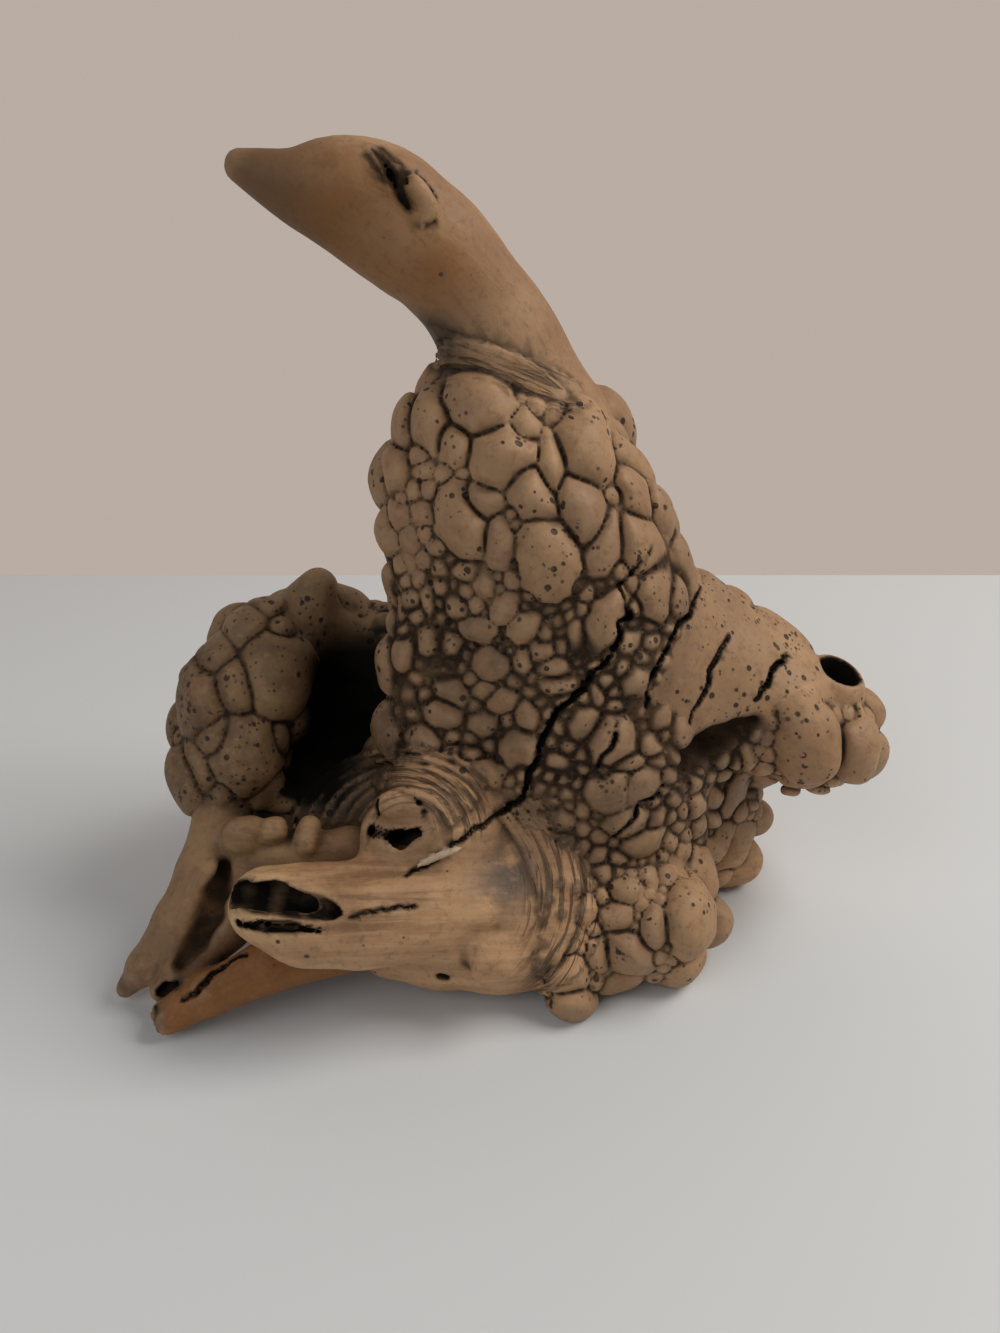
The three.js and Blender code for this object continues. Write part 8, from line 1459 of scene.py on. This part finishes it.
# ---------------------------------------------------------------- the wood
def wood_material():
    mat = bpy.data.materials.new("burl_wood")
    mat.use_nodes = True
    nt = mat.node_tree
    for n in list(nt.nodes):
        nt.nodes.remove(n)
    out = nt.nodes.new("ShaderNodeOutputMaterial")
    bsdf = nt.nodes.new("ShaderNodeBsdfPrincipled")
    nt.links.new(bsdf.outputs["BSDF"], out.inputs["Surface"])

    def attr(name):
        n = nt.nodes.new("ShaderNodeAttribute")
        n.attribute_name = name
        return n.outputs["Fac"]

    def math_(op, a, b=0.0, clamp=False):
        n = nt.nodes.new("ShaderNodeMath")
        n.operation = op
        n.use_clamp = clamp
        for i, v in enumerate((a, b)):
            if isinstance(v, (int, float)):
                n.inputs[i].default_value = v
            else:
                nt.links.new(v, n.inputs[i])
        return n.outputs[0]

    def ramp(v, a, b, lo=0.0, hi=1.0):
        n = nt.nodes.new("ShaderNodeMapRange")
        n.interpolation_type = "SMOOTHSTEP"
        nt.links.new(v, n.inputs[0])
        n.inputs[1].default_value = a
        n.inputs[2].default_value = b
        n.inputs[3].default_value = lo
        n.inputs[4].default_value = hi
        return n.outputs[0]

    def mix(f, a, b, blend="MIX"):
        n = nt.nodes.new("ShaderNodeMix")
        n.data_type = "RGBA"
        n.blend_type = blend
        for s, v in ((n.inputs[0], f), (n.inputs[6], a), (n.inputs[7], b)):
            if isinstance(v, (int, float)):
                s.default_value = v
            elif isinstance(v, tuple):
                s.default_value = (*v, 1.0)
            else:
                nt.links.new(v, s)
        return n.outputs[2]

    def noise(scale, detail=3.0, rough=0.55, vec=None, dist=0.0):
        n = nt.nodes.new("ShaderNodeTexNoise")
        n.inputs["Scale"].default_value = scale
        n.inputs["Detail"].default_value = detail
        n.inputs["Roughness"].default_value = rough
        n.inputs["Distortion"].default_value = dist
        nt.links.new(vec if vec is not None else pos, n.inputs["Vector"])
        return n.outputs["Fac"]

    tc = nt.nodes.new("ShaderNodeTexCoord")
    pos = tc.outputs["Object"]
    g = nt.nodes.new("ShaderNodeAttribute")
    g.attribute_name = "grain"
    gm = nt.nodes.new("ShaderNodeVectorMath")
    gm.operation = "MULTIPLY"
    nt.links.new(g.outputs["Vector"], gm.inputs[0])
    gm.inputs[1].default_value = (0.10, 1.0, 1.0)
    gv = gm.outputs[0]

    sw = nt.nodes.new("ShaderNodeAttribute")
    sw.attribute_name = "sweep"
    sm = nt.nodes.new("ShaderNodeVectorMath")
    sm.operation = "MULTIPLY"
    nt.links.new(sw.outputs["Vector"], sm.inputs[0])
    sm.inputs[1].default_value = (0.09, 1.0, 1.0)

    cav1, cav2, cav3 = attr("cav1"), attr("cav2"), attr("cav3")
    bare, neck, pitted, dark = attr("bare"), attr("neck"), attr("pitted"), attr("dark")

    big = noise(28.0, 3.0, 0.55)
    mid = noise(110.0, 4.0, 0.6)
    fine = noise(620.0, 3.0, 0.6)
    streak = noise(260.0, 4.0, 0.6, gv, 0.4)
    streak2 = noise(900.0, 2.0, 0.5, gv)

    # burl: pale bosses, brown flanks, dark grooves
    burl = mix(ramp(big, 0.35, 0.68), (0.366, 0.209, 0.106), (0.488, 0.292, 0.152))
    burl = mix(ramp(mid, 0.45, 0.75, 0.0, 0.55), burl, (0.268, 0.143, 0.069))
    burl = mix(ramp(attr("tone"), 0.0, 1.0, 0.0, 0.6), burl, (0.305, 0.182, 0.103))
    # bare wood: grain streaks
    wood = mix(ramp(streak, 0.22, 0.70, 0.15, 1.0), (0.374, 0.2, 0.094), (0.576, 0.34, 0.177))
    wood = mix(ramp(big, 0.50, 0.72, 0.0, 0.65), wood, (0.354, 0.186, 0.088))
    wood = mix(ramp(streak2, 0.55, 0.75, 0.0, 0.22), wood, (0.193, 0.1, 0.049))
    neckc = mix(ramp(big, 0.38, 0.66), (0.329, 0.176, 0.086), (0.476, 0.286, 0.152))
    neckc = mix(ramp(streak, 0.45, 0.72, 0.0, 0.35), neckc, (0.244, 0.127, 0.061))
    neckc = mix(math_("MULTIPLY", attr("tint"), 0.85), neckc, (0.2, 0.076, 0.01))
    wood = mix(neck, wood, neckc)
    col = mix(bare, burl, wood)
    # pale wash over the left lobe: painted light
    col = mix(math_("MULTIPLY", attr("lobe_pores_and_light"), 0.8), col, (0.74, 0.460, 0.220))
    col = mix(math_("MULTIPLY", attr("warm"), 0.88), col, (0.255, 0.094, 0.019))
    col = mix(math_("MULTIPLY", attr("grey"), ramp(mid, 0.32, 0.54)), col, (0.075, 0.068, 0.062))
    col = mix(math_("MULTIPLY", attr("knob"), 0.8, True), col, (0.46, 0.29, 0.11))
    # painted shade under the neck's join and under the tail ridge
    col = mix(math_("MULTIPLY", attr("underside_shade"), 0.9, True), col, (0.055, 0.032, 0.018))

    arcs = noise(420.0, 3.0, 0.55, sm.outputs[0], 1.3)
    lines = math_("MULTIPLY", ramp(arcs, 0.52, 0.38), attr("wrinkle"))
    col = mix(math_("MULTIPLY", lines, 0.78), col, (0.055, 0.032, 0.018))
    col = mix(math_("MULTIPLY", attr("shade"), 0.62), col, (0.115, 0.066, 0.036))
    col = mix(math_("MULTIPLY", attr("lip"), ramp(streak, 0.35, 0.62, 0.72, 0.25)), col, (0.17, 0.086, 0.040))
    col = mix(math_("MULTIPLY", attr("scar"), ramp(streak, 0.30, 0.60, 0.95, 0.45)), col, (0.070, 0.034, 0.014))
    col = mix(math_("MULTIPLY", attr("ends"), ramp(mid, 0.35, 0.6, 1.0, 0.6)), col, (0.030, 0.018, 0.011))

    # painted shade over the lower trunk, made patchy with noise
    col = mix(math_("MULTIPLY", attr("lower_trunk_shade"), ramp(mid, 0.30, 0.62, 0.56, 0.18)), col, (0.080, 0.045, 0.023))
    # the grooves darkened: partly their own dark dirt, partly painted shade in creases, gaps and hollows
    groove = ramp(math_("ADD", cav1, math_("MULTIPLY", math_("SUBTRACT", mid, 0.5), 0.10)), 0.535, 0.70)
    span_ = math_("ADD", 0.22, math_("MULTIPLY", ramp(noise(75.0, 2.0, 0.5), 0.35, 0.68), 0.85))
    span_ = math_("ADD", span_, math_("MULTIPLY", attr("lower_trunk_shade"), 1.05))
    low = ramp(math_("DIVIDE", math_("ADD", attr("gap"), math_("MULTIPLY", math_("SUBTRACT", mid, 0.5), 0.5)), span_), 1.1, 0.25)
    low = math_("MULTIPLY", low, math_("SUBTRACT", 1.0, math_("MAXIMUM", bare, pitted)))
    valley = ramp(math_("ADD", cav2, math_("MULTIPLY", math_("SUBTRACT", mid, 0.5), 0.10)), 0.52, 0.70)
    deep = ramp(cav3, 0.56, 0.78)
    col = mix(math_("MULTIPLY", valley, 0.80), col, (0.085, 0.050, 0.028))
    hold = math_("ADD", ramp(noise(48.0, 2.0, 0.5), 0.36, 0.62, 0.42, 0.80), math_("MULTIPLY", attr("lower_trunk_shade"), 0.30), True)
    col = mix(math_("MULTIPLY", low, hold), col, (0.034, 0.021, 0.013))
    # painted shade beside the raised fibres
    col = mix(math_("MULTIPLY", attr("fibre_foot_shade"), 0.75), col, (0.048, 0.028, 0.016))
    col = mix(math_("MULTIPLY", groove, 0.88), col, (0.030, 0.019, 0.012))
    col = mix(math_("MULTIPLY", deep, 0.75), col, (0.022, 0.015, 0.010))
    # rubbed bosses
    boss = ramp(cav2, 0.44, 0.30)
    col = mix(math_("MULTIPLY", boss, 0.35), col, (0.561, 0.352, 0.196))

    # pores: small dark holes, most on the bosses and the pitted back
    vo = nt.nodes.new("ShaderNodeTexVoronoi")
    vo.feature = "F1"
    vo.inputs["Scale"].default_value = 240.0
    nt.links.new(pos, vo.inputs["Vector"])
    sep = nt.nodes.new("ShaderNodeSeparateColor")
    nt.links.new(vo.outputs["Color"], sep.inputs[0])
    clump = noise(60.0, 2.0, 0.5)
    chance = math_("ADD", math_("MULTIPLY", ramp(clump, 0.42, 0.60), 0.75), math_("MULTIPLY", pitted, 0.35))
    chance = math_("ADD", chance, math_("MULTIPLY", attr("lobe_pores_and_light"), 0.45))
    chance = math_("MULTIPLY", chance, math_("SUBTRACT", 1.0, math_("MULTIPLY", bare, 0.97)))
    has = math_("LESS_THAN", sep.outputs[0], chance)
    size = math_("ADD", 0.12, math_("MULTIPLY", sep.outputs[1], 0.16))
    hole = ramp(math_("DIVIDE", vo.outputs["Distance"], size), 1.25, 0.75)
    pore = math_("MULTIPLY", has, hole)
    v2 = nt.nodes.new("ShaderNodeTexVoronoi")
    v2.feature = "F1"
    v2.inputs["Scale"].default_value = 470.0
    nt.links.new(pos, v2.inputs["Vector"])
    s2 = nt.nodes.new("ShaderNodeSeparateColor")
    nt.links.new(v2.outputs["Color"], s2.inputs[0])
    tiny = math_("MULTIPLY", math_("LESS_THAN", s2.outputs[0], math_("MULTIPLY", chance, 0.7)), ramp(math_("DIVIDE", v2.outputs["Distance"], math_("ADD", 0.14, math_("MULTIPLY", s2.outputs[1], 0.2))), 1.2, 0.7))
    pore = math_("MAXIMUM", pore, math_("MULTIPLY", tiny, 0.8))
    col = mix(math_("MULTIPLY", pore, 0.92), col, (0.020, 0.012, 0.008))
    mott = noise(330.0, 4.0, 0.65)
    col = mix(math_("MULTIPLY", ramp(mott, 0.50, 0.72), 0.38), col, (0.13, 0.072, 0.036))
    col = mix(math_("MULTIPLY", math_("MULTIPLY", ramp(mott, 0.46, 0.28), 0.20), math_("SUBTRACT", 1.0, neck)), col, (0.561, 0.352, 0.196))

    col = mix(math_("MULTIPLY", ramp(fine, 0.52, 0.80), 0.22), col, (0.10, 0.06, 0.035))
    # painted shade in the recesses
    col = mix(math_("MULTIPLY", attr("recess_shade"), ramp(mid, 0.30, 0.66, 0.97, 0.60)), col, (0.020, 0.013, 0.009))
    # near black in cracks, hollows, the pit and the cup: painted shade, in the cup partly its own dark wood
    col = mix(dark, col, (0.0105, 0.0090, 0.0078))
    col = mix(math_("MULTIPLY", attr("splinter"), 0.9), col, (0.62, 0.47, 0.33))
    nt.links.new(col, bsdf.inputs["Base Color"])

    rough = ramp(math_("ADD", math_("MULTIPLY", mid, 0.5), math_("MULTIPLY", fine, 0.5)), 0.3, 0.7, 0.50, 0.68)
    rough = math_("ADD", rough, math_("MULTIPLY", valley, 0.25), True)
    nt.links.new(rough, bsdf.inputs["Roughness"])
    shut = math_("MAXIMUM", math_("MAXIMUM", dark, attr("recess_shade")), math_("MAXIMUM", attr("scar"), math_("MULTIPLY", low, 0.8)))
    nt.links.new(math_("MULTIPLY", math_("SUBTRACT", 1.0, shut, True), 0.32), bsdf.inputs["Specular IOR Level"])
    bsdf.inputs["Metallic"].default_value = 0.0

    # relief finer than the mesh: pores, grain, the dry skin of the wood
    h = math_("MULTIPLY", math_("MULTIPLY", has, hole), -1.0)
    h = math_("ADD", h, math_("MULTIPLY", fine, 0.16))
    h = math_("ADD", h, math_("MULTIPLY", mid, 0.35))
    h = math_("ADD", h, math_("MULTIPLY", math_("MULTIPLY", streak, bare), 0.35))
    h = math_("SUBTRACT", h, math_("MULTIPLY", lines, 0.9))
    bump = nt.nodes.new("ShaderNodeBump")
    bump.inputs["Strength"].default_value = 0.8
    bump.inputs["Distance"].default_value = 0.0009
    nt.links.new(h, bump.inputs["Height"])
    nt.links.new(bump.outputs["Normal"], bsdf.inputs["Normal"])
    return mat


mesh.materials.clear()
mesh.materials.append(wood_material())
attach(obj, "root")
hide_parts("burl_wood")

# ---------------------------------------------------------------- floor, light, camera
def plain(name, colour, rough):
    m = bpy.data.materials.new(name)
    m.use_nodes = True
    b = m.node_tree.nodes["Principled BSDF"]
    b.inputs["Base Color"].default_value = (*colour, 1.0)
    b.inputs["Roughness"].default_value = rough
    b.inputs["Specular IOR Level"].default_value = 0.3
    return m


def plane(name, corners, mat):
    m = bpy.data.meshes.new(name)
    m.from_pydata(corners, [], [(0, 1, 2, 3)])
    o = bpy.data.objects.new(name, m)
    bpy.context.scene.collection.objects.link(o)
    m.materials.append(mat)
    return o


plane("floor", [(-3, -2, 0), (3, -2, 0), (3, 0.342, 0), (-3, 0.342, 0)], plain("pale_floor", (0.74, 0.762, 0.778), 0.45))
def glow(name, colour):
    m = bpy.data.materials.new(name)
    m.use_nodes = True
    b = m.node_tree.nodes["Principled BSDF"]
    b.inputs["Base Color"].default_value = (0.0, 0.0, 0.0, 1.0)
    b.inputs["Roughness"].default_value = 1.0
    b.inputs["Specular IOR Level"].default_value = 0.0
    b.inputs["Emission Color"].default_value = (*colour, 1.0)
    b.inputs["Emission Strength"].default_value = 1.0
    return m


plane("backdrop", [(-4, 1.5, -2), (4, 1.5, -2), (4, 1.5, 4), (-4, 1.5, 4)], glow("pale_backdrop", (0.49, 0.421, 0.37)))


def area(name, at, target, size, watts, colour):
    l = bpy.data.lights.new(name, "AREA")
    l.shape = "RECTANGLE"
    l.size, l.size_y = size
    l.energy = watts
    l.color = colour
    o = bpy.data.objects.new(name, l)
    bpy.context.scene.collection.objects.link(o)
    o.location = at
    d = Vector(target) - Vector(at)
    o.rotation_euler = d.to_track_quat("-Z", "Y").to_euler()
    return o


area("key", (0.95, -0.05, 1.15), (0.0, 0.0, 0.1), (0.8, 0.8), 13.2, (1.0, 0.96, 0.90))
area("fill", (-0.7, -0.9, 0.9), (0.0, 0.0, 0.1), (1.0, 1.0), 4.4, (0.96, 0.98, 1.0))

world = bpy.data.worlds.new("soft")
bpy.context.scene.world = world
world.use_nodes = True
bg = world.node_tree.nodes["Background"]
bg.inputs["Color"].default_value = (*(0.95, 0.97, 1.0), 1.0)
bg.inputs["Strength"].default_value = 0.12

cam = bpy.data.cameras.new("view")
cam.sensor_width = 36.0
cam.lens = 1050.0 * 36.0 / 1333.0
cam.clip_start = 0.01
cam.clip_end = 20.0
co = bpy.data.objects.new("view", cam)
bpy.context.scene.collection.objects.link(co)
co.location = (np.array([0.0, -330.0, 257.0]) - ORIGIN) * 0.001
co.rotation_euler = (math.radians(90 - 26), 0.0, 0.0)
bpy.context.scene.camera = co
bpy.context.scene.view_settings.view_transform = "Standard"
bpy.context.scene.view_settings.look = "None"
bpy.context.scene.view_settings.exposure = 0.0
